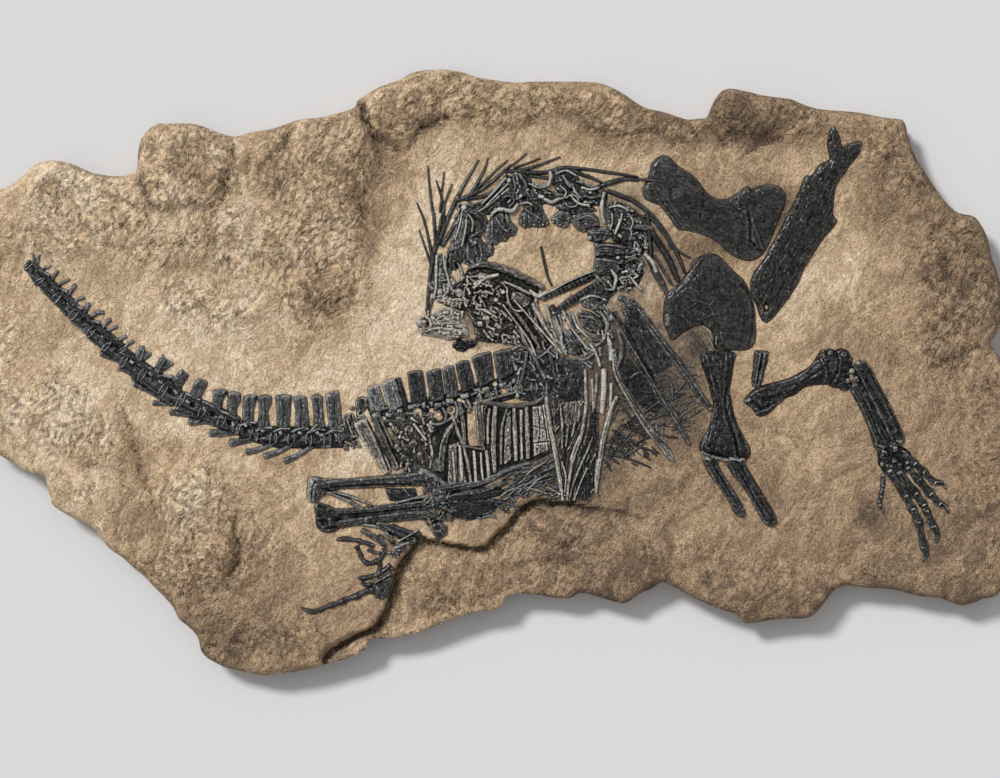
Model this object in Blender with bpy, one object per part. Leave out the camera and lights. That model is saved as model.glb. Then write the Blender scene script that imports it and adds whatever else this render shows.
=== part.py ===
"""Fossil protorosaurus skeleton slab: a limestone slab that lies flat with a black skeleton in it.

Every place is given in plan units, the pixels of the picture that the plan was drawn on, with y down.
plan() turns them into metres on the slab: +X along the slab, +Y up the picture, z = 0 at the flat back.
"""
import bpy
import bmesh
import math
import numpy as np
from mathutils import Vector
from mathutils.geometry import delaunay_2d_cdt

# Driving dimensions in metres
UNIT = 0.0012            # one plan unit: the slab is 1058 units, about 1.27 m, long
BED = 0.050              # height of the smooth bed that carries the bones
EDGE = 0.034             # height at which the worn shoulder meets the broken side
GAP = 0.0003             # clearance between a bone and what it touches
MM = 0.001
PLAN_MIDDLE = (493.0, 372.5)

# Broken outline of the slab, clockwise from the left end
OUTLINE = [
    (-36, 330), (-33, 285), (-26, 215), (-12, 196), (12, 184), (34, 164), (62, 161), (100, 174),
    (136, 170), (138, 150), (147, 130), (160, 123), (203, 126), (234, 137), (268, 129), (300, 119),
    (340, 112), (357, 104), (368, 93), (400, 79), (430, 69), (460, 71), (490, 79), (535, 81),
    (598, 82), (625, 94), (648, 108), (700, 118), (711, 106), (723, 90), (765, 95), (802, 103),
    (835, 110), (885, 117), (905, 122), (918, 160), (942, 196), (975, 216), (989, 240), (999, 275),
    (1004, 310), (992, 343), (1008, 375), (1020, 430), (1022, 480), (1016, 530), (1000, 592),
    (962, 606), (925, 597), (865, 588), (837, 590), (815, 615), (762, 622), (742, 621), (700, 601),
    (662, 583), (640, 594), (624, 604), (588, 594), (560, 599), (520, 594), (500, 607), (458, 618),
    (418, 633), (370, 640), (345, 660), (312, 669), (265, 676), (225, 668), (202, 655), (193, 632),
    (172, 607), (143, 576), (102, 541), (68, 516), (50, 503), (42, 477), (12, 463), (-22, 440),
]

# Smooth bed that the skeleton lies on, and the ledge where it breaks down to the lower layer
BED_REACH = [
    (12, 268), (22, 243), (60, 238), (120, 300), (190, 352), (300, 378), (385, 335), (402, 200),
    (410, 156), (470, 147), (560, 148), (640, 146), (700, 148), (790, 165), (818, 128), (840, 116),
    (866, 130), (878, 170), (850, 240), (838, 330), (900, 350), (950, 430), (985, 470), (975, 540),
    (930, 578), (880, 565), (800, 545), (700, 540), (620, 511),
]
LEDGE = [
    (605, 509), (572, 503), (540, 501), (524, 505), (508, 522), (492, 539), (470, 548), (440, 544),
    (418, 539), (404, 555), (395, 575), (388, 598), (377, 618),
]
BED_REACH_LOW = [
    (340, 622), (296, 620), (286, 596), (330, 560), (296, 512), (240, 462), (170, 425), (110, 382),
    (60, 335), (24, 295),
]
LEDGE_DROP = 11.0        # mm
LEDGE_RUN = 2.6          # plan units

# Knobs and swells of the worn border: x, y, radius along, radius across, turn in degrees, height in mm
SWELLS = [
    (100, 212, 58, 40, 10, 15), (48, 190, 36, 26, -20, 11), (12, 232, 26, 44, 20, 10),
    (186, 168, 46, 44, 0, 25), (214, 226, 46, 30, 40, 14), (158, 246, 44, 30, 0, 12),
    (204, 306, 52, 34, 20, 11), (262, 164, 20, 46, 10, 12), (322, 164, 48, 50, 0, 25),
    (312, 244, 52, 62, 10, 20), (430, 100, 62, 30, -8, 18), (520, 106, 70, 26, 4, 15),
    (612, 116, 66, 24, 12, 16), (672, 130, 36, 16, 12, 11), (748, 116, 44, 30, 10, 22),
    (800, 118, 30, 18, 20, 14), (884, 152, 26, 34, 0, 10), (922, 210, 46, 40, 40, 14),
    (958, 264, 38, 44, 0, 17), (968, 360, 44, 60, 0, 10), (1000, 470, 24, 70, 0, 7),
    (4, 350, 44, 70, 0, 7), (94, 430, 54, 40, 25, 12), (84, 492, 46, 24, 30, 7),
    (200, 520, 46, 52, 20, 17), (186, 590, 36, 40, 40, 9), (258, 620, 58, 46, 0, 5),
]

# Lower layer below the ledge: the same six values, heights counted down from the bed
HOLLOWS = [
    (560, 560, 105, 48, -4, 12), (470, 596, 80, 44, -14, 14), (410, 606, 44, 34, -30, 14),
    (348, 648, 34, 18, -28, 15),
]

# Colours in linear light with roughness
ROCK = ((0.42, 0.31, 0.20), 0.9)
GREY_BONE = ((0.10, 0.10, 0.105), 0.55)
BLACK_BONE = ((0.030, 0.030, 0.032), 0.4)
RIB_BONE = ((0.17, 0.155, 0.13), 0.6)


def plan(x, y):
    """Place of a plan point on the slab in metres."""
    return (x - PLAN_MIDDLE[0]) * UNIT, (PLAN_MIDDLE[1] - y) * UNIT


def material(name, look):
    """Principled material with one colour, (r, g, b), and one roughness."""
    made = bpy.data.materials.get(name)
    if made is None:
        made = bpy.data.materials.new(name)
        made.use_nodes = True
        shader = made.node_tree.nodes["Principled BSDF"]
        shader.inputs["Base Color"].default_value = (*look[0], 1.0)
        shader.inputs["Roughness"].default_value = look[1]
        shader.inputs["Metallic"].default_value = 0.0
    return made


def solid(name, vertices, faces):
    """Object from corners and faces, with its faces turned outward."""
    mesh = bpy.data.meshes.new(name)
    body = bmesh.new()
    corners = [body.verts.new(place) for place in vertices]
    for face in faces:
        body.faces.new([corners[index] for index in face])
    bmesh.ops.recalc_face_normals(body, faces=body.faces)
    body.to_mesh(mesh)
    body.free()
    made = bpy.data.objects.new(name, mesh)
    bpy.context.scene.collection.objects.link(made)
    return made


def bar(path, rise):
    """Description of a rod or long bone: its path of (x, y, half width) and its height in mm."""
    return {"form": "bar", "path": path, "rise": rise}


def plate(path, rise, bevel=1.6):
    """Description of a flat bone: its outline of (x, y), its height in mm and the width of its rim."""
    return {"form": "plate", "path": path, "rise": rise, "bevel": bevel}


def make_bar(part, grow=0.0):
    """Loft of arched sections that stand across the path, larger all round by grow in metres."""
    path = np.array(part["path"], float)
    middle = np.array([plan(x, y) for x, y, _ in part["path"]])
    along = np.gradient(middle, axis=0)
    along /= np.linalg.norm(along, axis=1)[:, None]
    middle[0] -= along[0] * grow
    middle[-1] += along[-1] * grow
    across = np.column_stack([-along[:, 1], along[:, 0]])
    half = path[:, 2] * UNIT + grow
    rise = part["rise"] * MM * np.clip(0.45 + 0.55 * path[:, 2] / path[:, 2].max(), 0.6, 1.0)
    base = BED + GAP
    if path[:, 2].max() < 2.6:
        section = [(-1.0, 0.0), (-0.55, 1.0), (0.55, 1.0), (1.0, 0.0)]
    else:
        section = [(-1.0, 0.0), (-0.74, 0.72), (0.0, 1.0), (0.74, 0.72), (1.0, 0.0)]
    if grow > 0.0:
        section = [(-1.0, -1.0)] + section + [(1.0, -1.0)]
    vertices = []
    for point, side, width, height in zip(middle, across, half, rise):
        for out, up in section:
            level = base - 4 * GAP if up < 0.0 else base + height * up + (grow if up > 0.0 else 0.0)
            vertices.append((point[0] + side[0] * width * out, point[1] + side[1] * width * out, level))
    size = len(section)
    faces = [tuple(range(size)), tuple(range(len(vertices) - size, len(vertices)))]
    for row in range(len(middle) - 1):
        for column in range(size):
            here = row * size + column
            beside = row * size + (column + 1) % size
            faces += [(here, beside, beside + size), (here, beside + size, here + size)]
    return solid("bar", vertices, faces)


def offset_outline(points, distance):
    """Outline moved outward by a distance, each corner along the mean of its two edge normals."""
    points = np.array(points, float)
    edge = np.roll(points, -1, axis=0) - points
    edge /= np.linalg.norm(edge, axis=1)[:, None]
    turn = np.cross(np.roll(edge, 1, axis=0), edge)
    area = 0.5 * np.sum(points[:, 0] * np.roll(points[:, 1], -1) - points[:, 1] * np.roll(points[:, 0], -1))
    normal = np.column_stack([edge[:, 1], -edge[:, 0]]) * math.copysign(1.0, area)
    mean = normal + np.roll(normal, 1, axis=0)
    mean /= np.maximum(np.linalg.norm(mean, axis=1), 0.6)[:, None]
    reach = distance * (1.0 + 0.15 * np.abs(turn))
    return points + mean * reach[:, None]


def make_plate(part, grow=0.0):
    """Slab of bone between its outline at the foot and a smaller outline on top."""
    outer = [plan(x, y) for x, y in part["path"]]
    top = offset_outline(outer, grow - part["bevel"] * UNIT)
    outer = offset_outline(outer, grow)
    base = BED + GAP
    foot = base if grow == 0.0 else base - 4 * GAP
    crest = base + part["rise"] * MM + grow
    shoulder = base + part["rise"] * MM * 0.35 + grow
    count = len(outer)
    vertices = [(x, y, foot) for x, y in outer] + [(x, y, shoulder) for x, y in outer]
    vertices += [(x, y, crest) for x, y in top]
    faces = [tuple(range(count)), tuple(range(2 * count, 3 * count))]
    for ring in range(2):
        for column in range(count):
            here = ring * count + column
            beside = ring * count + (column + 1) % count
            faces += [(here, beside, beside + count), (here, beside + count, here + count)]
    return solid("plate", vertices, faces)


def make(part, grow=0.0):
    """Object of one described part."""
    return make_bar(part, grow) if part["form"] == "bar" else make_plate(part, grow)


def reach(parts):
    """Box (x0, y0, x1, y1) in plan units around every part of a bone."""
    spots = []
    for part in parts:
        for place in part["path"]:
            wide = place[2] if part["form"] == "bar" else 0.0
            spots.append((place[0] - wide, place[1] - wide))
            spots.append((place[0] + wide, place[1] + wide))
    spots = np.array(spots)
    return (*spots.min(axis=0), *spots.max(axis=0))


def boolean(target, others, operation):
    """Mesh of a target after one exact Boolean with all the others at once."""
    group = bpy.data.collections.new("cutters")
    bpy.context.scene.collection.children.link(group)
    for other in others:
        bpy.context.scene.collection.objects.unlink(other)
        group.objects.link(other)
    cut = target.modifiers.new("boolean", "BOOLEAN")
    cut.operand_type = "COLLECTION"
    cut.collection = group
    cut.operation = operation
    cut.solver = "EXACT"
    graph = bpy.context.evaluated_depsgraph_get()
    mesh = bpy.data.meshes.new_from_object(target.evaluated_get(graph))
    target.modifiers.clear()
    target.data = mesh
    for other in others:
        bpy.data.objects.remove(other)
    bpy.data.collections.remove(group)


def keep_main_body(target):
    """Keep the largest body of a mesh and drop crumbs that a cut left beside it."""
    body = bmesh.new()
    body.from_mesh(target.data)
    bmesh.ops.remove_doubles(body, verts=body.verts, dist=2e-6)
    bmesh.ops.dissolve_degenerate(body, edges=body.edges, dist=2e-6)
    left = set(body.faces)
    bodies = []
    while left:
        start = left.pop()
        found = {start}
        front = [start]
        while front:
            face = front.pop()
            for edge in face.edges:
                for beside in edge.link_faces:
                    if beside in left:
                        left.discard(beside)
                        found.add(beside)
                        front.append(beside)
        bodies.append(found)
    bodies.sort(key=lambda faces: sum(face.calc_area() for face in faces))
    crumbs = [face for faces in bodies[:-1] for face in faces]
    bmesh.ops.delete(body, geom=crumbs, context="FACES")
    bmesh.ops.triangulate(body, faces=body.faces)
    bmesh.ops.recalc_face_normals(body, faces=body.faces)
    body.to_mesh(target.data)
    body.free()


placed = []


def bone(name, look_name, look, parts):
    """One bone: its parts joined, then cut clear of the bones that were placed before it."""
    pieces = [make(part) for part in parts]
    body = pieces[0]
    if len(pieces) > 1:
        boolean(body, pieces[1:], "UNION")
    box = reach(parts)
    near = []
    for other_box, other_parts in placed:
        apart = (other_box[0] > box[2] + 1 or other_box[2] < box[0] - 1
                 or other_box[1] > box[3] + 1 or other_box[3] < box[1] - 1)
        if not apart:
            for part in other_parts:
                spot = reach([part])
                if not (spot[0] > box[2] + 1 or spot[2] < box[0] - 1
                        or spot[1] > box[3] + 1 or spot[3] < box[1] - 1):
                    near.append(part)
    if near:
        boolean(body, [make(part, GAP) for part in near], "DIFFERENCE")
    keep_main_body(body)
    body.name = name
    body.data.name = name
    body.data.materials.clear()
    body.data.materials.append(material(look_name, look))
    placed.append((box, parts))
    return body


def inside(points, outline):
    """True for each point that lies inside a closed outline, by counting the edges to its right."""
    points = np.asarray(points, float)
    outline = np.asarray(outline, float)
    x, y = points[:, 0][:, None], points[:, 1][:, None]
    ax, ay = outline[:, 0], outline[:, 1]
    bx, by = np.roll(ax, -1), np.roll(ay, -1)
    crossing = (ay > y) != (by > y)
    span = np.where(by == ay, 1.0, by - ay)
    return (np.where(crossing, (x < (bx - ax) * (y - ay) / span + ax), False).sum(axis=1) % 2) == 1


def distance_to(points, line, closed=True):
    """Distance from each point to the nearest edge of an outline."""
    points = np.asarray(points, float)
    start = np.asarray(line, float)
    end = np.roll(start, -1, axis=0)
    if not closed:
        start, end = start[:-1], end[:-1]
    edge = end - start
    offset = points[:, None, :] - start[None]
    share = np.clip((offset * edge).sum(2) / (edge ** 2).sum(1), 0.0, 1.0)
    return np.linalg.norm(offset - share[..., None] * edge, axis=2).min(axis=1)


def rock_height(points):
    """Height of the worn border over the bed in mm: the tallest swell, less the deepest hollow."""
    points = np.asarray(points, float)
    up = np.zeros(len(points))
    down = np.zeros(len(points))
    for rows, keep in ((SWELLS, up), (HOLLOWS, down)):
        for x, y, along, across, turn, height in rows:
            c, s = math.cos(math.radians(turn)), math.sin(math.radians(turn))
            u = ((points[:, 0] - x) * c + (points[:, 1] - y) * s) / along
            v = (-(points[:, 0] - x) * s + (points[:, 1] - y) * c) / across
            np.maximum(keep, height * np.exp(-1.1 * (u * u + v * v) ** 1.6), out=keep)
    return up - down


def rock_slab():
    """Slab: a triangulated worn top, broken sides and a flat back, closed all round."""
    outline = np.array(OUTLINE, float)
    area_sign = -1.0
    inner = offset_outline(outline, -9.0)
    bed = np.array(BED_REACH + LEDGE + BED_REACH_LOW, float)
    ledge = np.array(LEDGE, float)
    along = np.gradient(ledge, axis=0)
    along /= np.linalg.norm(along, axis=1)[:, None]
    foot = ledge + np.column_stack([-along[:, 1], along[:, 0]]) * LEDGE_RUN * area_sign
    step = 27.0
    grid_x, grid_y = np.meshgrid(np.arange(-30, 1020, step), np.arange(80, 680, step * 0.86))
    grid_x[1::2] += step / 2
    scatter = np.column_stack([grid_x.ravel(), grid_y.ravel()])
    clear = inside(scatter, outline) & ~inside(scatter, bed)
    clear &= (distance_to(scatter, inner) > 10.0) & (distance_to(scatter, outline) > 14.0)
    clear &= (distance_to(scatter, bed) > 9.0) & (distance_to(scatter, foot, closed=False) > 8.0)
    scatter = scatter[clear]
    inner = inner[inside(inner, outline) & ~inside(inner, bed) & (distance_to(inner, bed) > 3.0)]
    groups = [outline, inner, bed, foot, scatter]
    heights = [
        np.full(len(outline), EDGE),
        BED + MM * (rock_height(inner) - 4.0),
        np.full(len(bed), BED),
        BED - MM * np.maximum(LEDGE_DROP, -rock_height(foot)),
        BED + MM * rock_height(scatter),
    ]
    places = np.vstack(groups)
    height = np.concatenate(heights)
    count = len(outline)
    rim = [(index, (index + 1) % count) for index in range(count)]
    first = count + len(inner)
    bed_edges = [(first + index, first + (index + 1) % len(bed)) for index in range(len(bed))]
    first += len(bed)
    foot_edges = [(first + index, first + index + 1) for index in range(len(foot) - 1)]
    flat = [Vector(place) for place in places]
    spots, _, faces, origin, _, _ = delaunay_2d_cdt(flat, rim + bed_edges + foot_edges, [], 1, 1e-4)
    tops = []
    for spot, source in zip(spots, origin):
        tops.append((*plan(spot.x, spot.y), float(height[source[0]]) if source else BED))
    kept = []
    for face in faces:
        middle = np.mean([spots[index] for index in face], axis=0)
        if inside([middle], outline)[0]:
            kept.append(tuple(face))
    where = {source: index for index, sources in enumerate(origin) for source in sources}
    under = offset_outline(outline, -5.0)
    start = len(tops)
    vertices = tops + [(*plan(x, y), 0.012) for x, y in offset_outline(outline, -1.5)]
    vertices += [(*plan(x, y), 0.0) for x, y in under]
    faces = kept + [tuple(range(start + count, start + 2 * count))]
    for index in range(count):
        beside = (index + 1) % count
        faces.append((where[index], where[beside], start + beside, start + index))
        faces.append((start + index, start + beside, start + count + beside, start + count + index))
    body = solid("rock_slab", vertices, faces)
    keep_main_body(body)
    body.data.materials.append(material("limestone", ROCK))


def black(name, *parts):
    """Bone with the dark glossy finish."""
    bone(name, "black_bone", BLACK_BONE, parts)


def grey(name, *parts):
    """Bone with the mottled grey finish."""
    bone(name, "grey_bone", GREY_BONE, parts)


def pale(name, *parts):
    """Bone worn through to its pale inside."""
    bone(name, "rib_bone", RIB_BONE, parts)


for old in list(bpy.data.objects):
    bpy.data.objects.remove(old)

rock_slab()

# Near forelimb and the shoulder plates
black("humerus_1",
      plate([(701, 355), (706, 351), (728, 351), (735, 354), (731, 380), (730, 402), (737, 425),
             (748, 445), (750, 455), (744, 459), (728, 458), (706, 456), (700, 448), (706, 434),
             (713, 412), (713, 395), (705, 372)], 8, 4.0))
black("radius_1", bar([(710, 461, 6.5), (718, 478, 5.5), (731, 496, 5.5), (741, 512, 5.5)], 6.5))
black("ulna_1", bar([(736, 463, 9), (746, 478, 8), (757, 498, 7), (771, 523, 7.5)], 7))
black("coracoid_plate_2",
      plate([(694, 260), (706, 254), (718, 256), (730, 267), (742, 281), (750, 298), (755, 318),
             (754, 340), (747, 349), (716, 348), (711, 330), (700, 325), (686, 330), (672, 340),
             (662, 322), (666, 297), (676, 283), (688, 270)], 5.5, 2.6))
black("coracoid_plate_1",
      plate([(656, 160), (664, 155), (674, 163), (692, 175), (706, 190), (718, 200), (732, 199),
             (747, 188), (766, 184), (780, 188), (785, 198), (777, 224), (768, 244), (760, 256),
             (748, 260), (730, 253), (712, 240), (696, 231), (678, 229), (664, 218), (655, 206),
             (645, 199), (643, 188), (649, 170)], 5.5, 2.4))
black("scapula_blade",
      plate([(832, 126), (838, 131), (840, 147), (850, 143), (860, 141), (864, 145), (850, 166),
             (840, 180), (835, 200), (837, 219), (826, 236), (812, 256), (798, 282), (786, 302),
             (766, 321), (757, 313), (750, 288), (758, 266), (772, 244), (786, 220), (799, 195),
             (806, 176), (814, 174), (829, 160), (830, 140)], 4.5, 2.0))
black("splinter_bone",
      plate([(755, 351), (768, 352), (764, 370), (760, 384), (752, 385), (753, 366)], 5, 2.0))

# Far forelimb with its hand
black("humerus_2",
      plate([(744, 401), (756, 389), (785, 380), (808, 368), (817, 356), (824, 350), (840, 349),
             (851, 357), (850, 370), (846, 388), (836, 388), (820, 384), (800, 389), (782, 399),
             (772, 411), (762, 416), (752, 409)], 8, 4.2))
black("radius_2", bar([(860, 368, 8.5), (870, 385, 8), (882, 406, 7), (896, 440, 7.5)], 7))
black("ulna_2", bar([(855, 388, 5), (866, 408, 5.5), (874, 426, 6), (881, 446, 7.5)], 6))
black("wrist_bones",
      bar([(884, 455, 5.5), (895, 459, 8), (905, 457, 6)], 4),
      bar([(888, 466, 5), (899, 467, 6)], 4))
black("finger_1", bar([(883, 477, 2.4), (882, 494, 2), (879, 505, 2.6), (884, 513, 1.4)], 3))
black("finger_2",
      bar([(890, 472, 3.2), (899, 486, 3.2), (905, 496, 3.6), (913, 511, 4), (919, 526, 3.6),
           (923, 543, 3.6), (926, 552, 3.4), (922, 562, 1.2)], 4))
black("finger_3",
      bar([(900, 474, 3.4), (909, 487, 3.6), (915, 494, 3.8), (924, 508, 3.4), (931, 522, 3.6),
           (936, 534, 3.8), (935, 543, 1.4)], 4))
black("finger_4",
      bar([(909, 469, 2.8), (917, 480, 3.4), (930, 493, 3.6), (940, 504, 3.4), (948, 514, 1.2)], 4))
black("finger_5",
      bar([(909, 457, 3.2), (918, 466, 3.4), (929, 477, 3.4), (946, 488, 1.4)], 4))

# Hind limb
black("femur",
      bar([(315, 488, 10), (325, 486, 8), (340, 484, 5.5), (370, 482, 6), (400, 480, 7), (424, 478, 8)],
          9))
black("tibia", bar([(318, 509, 7), (338, 513, 4.5), (380, 509, 5), (424, 503, 6)], 8))
black("fibula", bar([(318, 527, 7), (335, 526, 4.5), (385, 520, 4.5), (424, 515, 4.6)], 7))
black("ankle_bones",
      bar([(431, 512, 5), (441, 514, 7), (446, 526, 7), (437, 534, 5)], 6),
      bar([(436, 527, 5), (414, 541, 5), (380, 527, 4)], 4),
      bar([(414, 541, 4), (386, 546, 4), (364, 532, 3)], 4),
      bar([(386, 546, 4), (388, 555, 4)], 4))
black("toe_1",
      bar([(337, 540, 1.4), (345, 540, 2.6), (358, 543, 3), (363, 552, 3), (366, 561, 2.8),
           (376, 562, 3), (377, 571, 2)], 3.4))
black("toe_2", bar([(360, 580, 1.4), (371, 578, 2.6), (388, 568, 2.6)], 3))
black("toe_3",
      bar([(301, 608, 1.4), (311, 611, 2.8), (323, 608, 3), (342, 601, 3), (358, 596, 2.8),
           (374, 591, 3.6), (388, 587, 4.6)], 3.6))

# Chest: long rods and ribs that cross the belly net
black("long_rod_1",
      bar([(622, 299, 3), (636, 306, 4), (650, 322, 4), (668, 345, 4.4), (684, 366, 4.4),
           (700, 386, 4.4), (712, 407, 3.4)], 5))
black("long_rod_2",
      bar([(610, 313, 3), (622, 330, 4), (636, 354, 4), (656, 386, 4), (672, 411, 4), (688, 442, 2)], 5))
pale("chest_rib_3",
     bar([(614, 350, 3.2), (615, 368, 3.2), (622, 386, 3.4), (632, 403, 4), (650, 429, 4.6),
          (664, 447, 4.6), (673, 461, 2)], 5))
pale("chest_rib_2",
     bar([(617, 397, 2.4), (611, 411, 3.2), (606, 427, 3), (602, 446, 3), (599, 468, 3), (596, 492, 2)],
         5))
pale("chest_rib_1", bar([(604, 370, 3), (604, 392, 3.4), (602, 413, 2.4)], 5))

# Hips and the back, in runs
pale("ilium",
     bar([(362, 424, 9), (373, 443, 8), (383, 461, 7), (388, 471, 5)], 7),
     bar([(375, 412, 5), (383, 428, 6.5), (390, 446, 6.5), (398, 467, 5)], 7),
     bar([(394, 429, 6), (410, 436, 9), (420, 450, 9), (417, 463, 6)], 6))
pale("sacral_vertebrae",
     plate([(354, 400), (361, 397), (369, 399), (367, 408), (356, 417), (352, 425), (352, 438),
            (342, 441), (341, 424), (346, 414)], 6))
grey("trunk_vertebrae_1",
     plate([(368, 391), (377, 383), (383, 384), (393, 378), (400, 396), (407, 408), (399, 413),
            (386, 416), (374, 410)], 7),
     plate([(408, 374), (415, 371), (422, 372), (424, 388), (424, 401), (414, 403), (410, 390)], 7),
     bar([(386, 408, 6), (402, 414, 7), (419, 410, 8)], 6))
grey("trunk_vertebrae_2",
     plate([(428, 371), (434, 369), (440, 371), (441, 388), (441, 401), (430, 401), (429, 386)], 7),
     plate([(443, 370), (450, 366), (454, 378), (456, 392), (449, 402), (445, 390)], 7),
     plate([(457, 361), (467, 358), (471, 372), (473, 387), (464, 396), (460, 378)], 7),
     bar([(431, 407, 7), (448, 403, 8), (466, 397, 8)], 6))
grey("trunk_vertebrae_3",
     plate([(474, 358), (480, 354), (489, 353), (491, 370), (491, 387), (481, 388), (478, 372)], 7),
     plate([(496, 353), (510, 349), (512, 366), (508, 382), (501, 384), (499, 368)], 7),
     bar([(481, 393, 7), (498, 390, 8), (514, 387, 6)], 6))
grey("trunk_vertebrae_4",
     bar([(520, 386, 6), (535, 386, 7), (549, 386, 5), (562, 383, 7), (572, 391, 6)], 6),
     bar([(520, 382, 4), (524, 358, 5), (528, 344, 4)], 5),
     bar([(550, 354, 5), (556, 380, 6)], 5))
pale("curved_bone", bar([(478, 403, 2), (492, 406, 2.4), (515, 407, 2.4), (541, 402, 2)], 4))

# Ribs and the bars below them
black("belly_bars",
      bar([(434, 492, 5), (455, 488, 4.5), (480, 487, 4), (502, 477, 3.4), (530, 464, 2.4)], 6),
      bar([(441, 501, 5), (462, 498, 4), (484, 492, 4), (506, 482, 3)], 5))
pale("rib_1",
     bar([(452, 414, 3), (461, 436, 3), (469, 458, 3), (473, 479, 2.6)], 4.5),
     bar([(454, 421, 3), (443, 446, 2.8), (440, 468, 2.4)], 4.5))
pale("rib_2",
     bar([(466, 408, 2.4), (466, 430, 2.4), (469, 448, 2.4)], 4.5),
     bar([(476, 410, 2.6), (477, 430, 2.6), (483, 462, 2.6), (485, 478, 2.2)], 4.5),
     bar([(466, 428, 2.4), (477, 434, 2.4)], 3))
pale("rib_3",
     bar([(492, 412, 4), (489, 430, 4.6), (489, 450, 4), (493, 472, 3)], 4.5),
     bar([(504, 412, 2.6), (501, 428, 2.6), (500, 464, 2.4)], 4.5),
     bar([(514, 412, 3.2), (514, 440, 3.2), (516, 460, 2.6)], 4.5),
     bar([(526, 412, 3.6), (526, 435, 3.6), (527, 456, 3)], 4.5),
     bar([(491, 438, 2.6), (526, 438, 2.6)], 3))
pale("rib_4",
     bar([(547, 398, 2.6), (551, 430, 2.6), (557, 460, 2.6), (563, 500, 2.2)], 4.5),
     bar([(587, 372, 2.4), (586, 404, 2.4), (580, 438, 2.4), (572, 466, 2.4), (568, 499, 2.4)], 4.5),
     bar([(561, 491, 2.2), (570, 490, 2.2)], 3))
black("gastralia",
      bar([(604, 454, 1.6), (622, 457, 1.6), (640, 463, 1.4), (652, 469, 1.2)], 2.4),
      bar([(621, 457, 1.4), (640, 446, 1.4)], 2.4),
      bar([(613, 437, 1.4), (620, 446, 1.4), (627, 458, 1.4)], 2.4),
      bar([(629, 440, 1.4), (641, 447, 1.4), (656, 453, 1.2)], 2.4),
      bar([(622, 447, 1.4), (632, 432, 1.4), (648, 439, 1.2)], 2.4),
      bar([(605, 441, 1.4), (619, 445, 1.4)], 2.4),
      bar([(618, 424, 1.4), (632, 427, 1.4), (646, 428, 1.4)], 2.4),
      bar([(632, 434, 1.4), (630, 420, 1.4), (638, 409, 1.2)], 2.4),
      bar([(609, 456, 1.4), (619, 464, 1.2)], 2.4))

# Skull, jaws and the neck that arches back over the trunk
black("lower_jaw",
      bar([(545, 300, 3), (560, 292, 4.2), (580, 282, 4.6), (598, 275, 4)], 6),
      bar([(556, 314, 4), (568, 303, 4.6), (584, 292, 4.6), (601, 280, 4)], 6))
pale("skull",
     plate([(416, 321), (422, 316), (436, 311), (450, 309), (464, 314), (468, 296), (470, 276),
            (482, 270), (498, 271), (520, 281), (538, 291), (534, 306), (546, 326), (552, 344),
            (538, 348), (514, 341), (490, 340), (478, 337), (462, 338), (440, 338), (424, 334)], 6, 3.0),
     bar([(476, 267, 3), (500, 270, 4), (520, 278, 4), (540, 288, 3.4)], 10),
     bar([(472, 304, 5), (488, 292, 6.5), (504, 284, 4.5)], 10),
     bar([(496, 300, 3), (512, 320, 4.5), (532, 340, 4), (549, 346, 3)], 9),
     bar([(424, 325, 5), (446, 322, 8), (464, 328, 5)], 9))
black("loose_rod", bar([(541, 247, 1.8), (545, 263, 2), (551, 285, 1.6)], 3.5))
black("neck_vertebrae_1",
      bar([(441, 258, 6), (442, 275, 6.5), (442, 296, 7)], 6),
      bar([(455, 246, 6), (455, 257, 7), (453, 268, 5)], 6),
      bar([(442, 268, 5), (454, 262, 5)], 5))
black("neck_vertebrae_2",
      plate([(464, 249), (470, 239), (480, 236), (485, 244), (493, 246), (494, 252), (487, 257),
             (484, 265), (475, 268), (466, 262)], 6),
      bar([(466, 214, 6), (469, 226, 8), (464, 241, 9)], 7))
black("neck_vertebrae_3",
      plate([(485, 219), (496, 213), (506, 212), (511, 222), (517, 230), (511, 236), (501, 243),
             (488, 242), (485, 233)], 6),
      bar([(482, 211, 6), (494, 206, 8), (507, 193, 8), (509, 184, 5)], 7))
black("neck_vertebrae_4",
      plate([(519, 210), (526, 203), (540, 203), (545, 211), (548, 223), (543, 226), (522, 227)], 6),
      bar([(516, 180, 5), (522, 190, 8), (534, 199, 8), (554, 200, 6)], 7))
black("neck_vertebrae_5",
      plate([(551, 219), (559, 208), (570, 207), (592, 207), (588, 212), (574, 216), (567, 228),
             (556, 226)], 6),
      bar([(553, 180, 6), (568, 186, 9), (588, 194, 9), (603, 200, 8)], 7),
      bar([(566, 190, 7), (566, 212, 6)], 6))
black("neck_vertebrae_6",
      bar([(578, 226, 6), (594, 221, 8), (612, 222, 9), (628, 216, 8)], 7),
      bar([(594, 237, 6), (609, 235, 8), (630, 236, 8)], 6),
      bar([(620, 214, 7), (618, 240, 7), (612, 262, 7), (612, 284, 7), (600, 302, 7), (590, 326, 8)], 7),
      bar([(598, 250, 6), (618, 250, 8), (640, 250, 7)], 6),
      bar([(597, 268, 6), (620, 268, 8), (640, 274, 6)], 6),
      bar([(588, 322, 7), (578, 342, 8)], 6))

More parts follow.
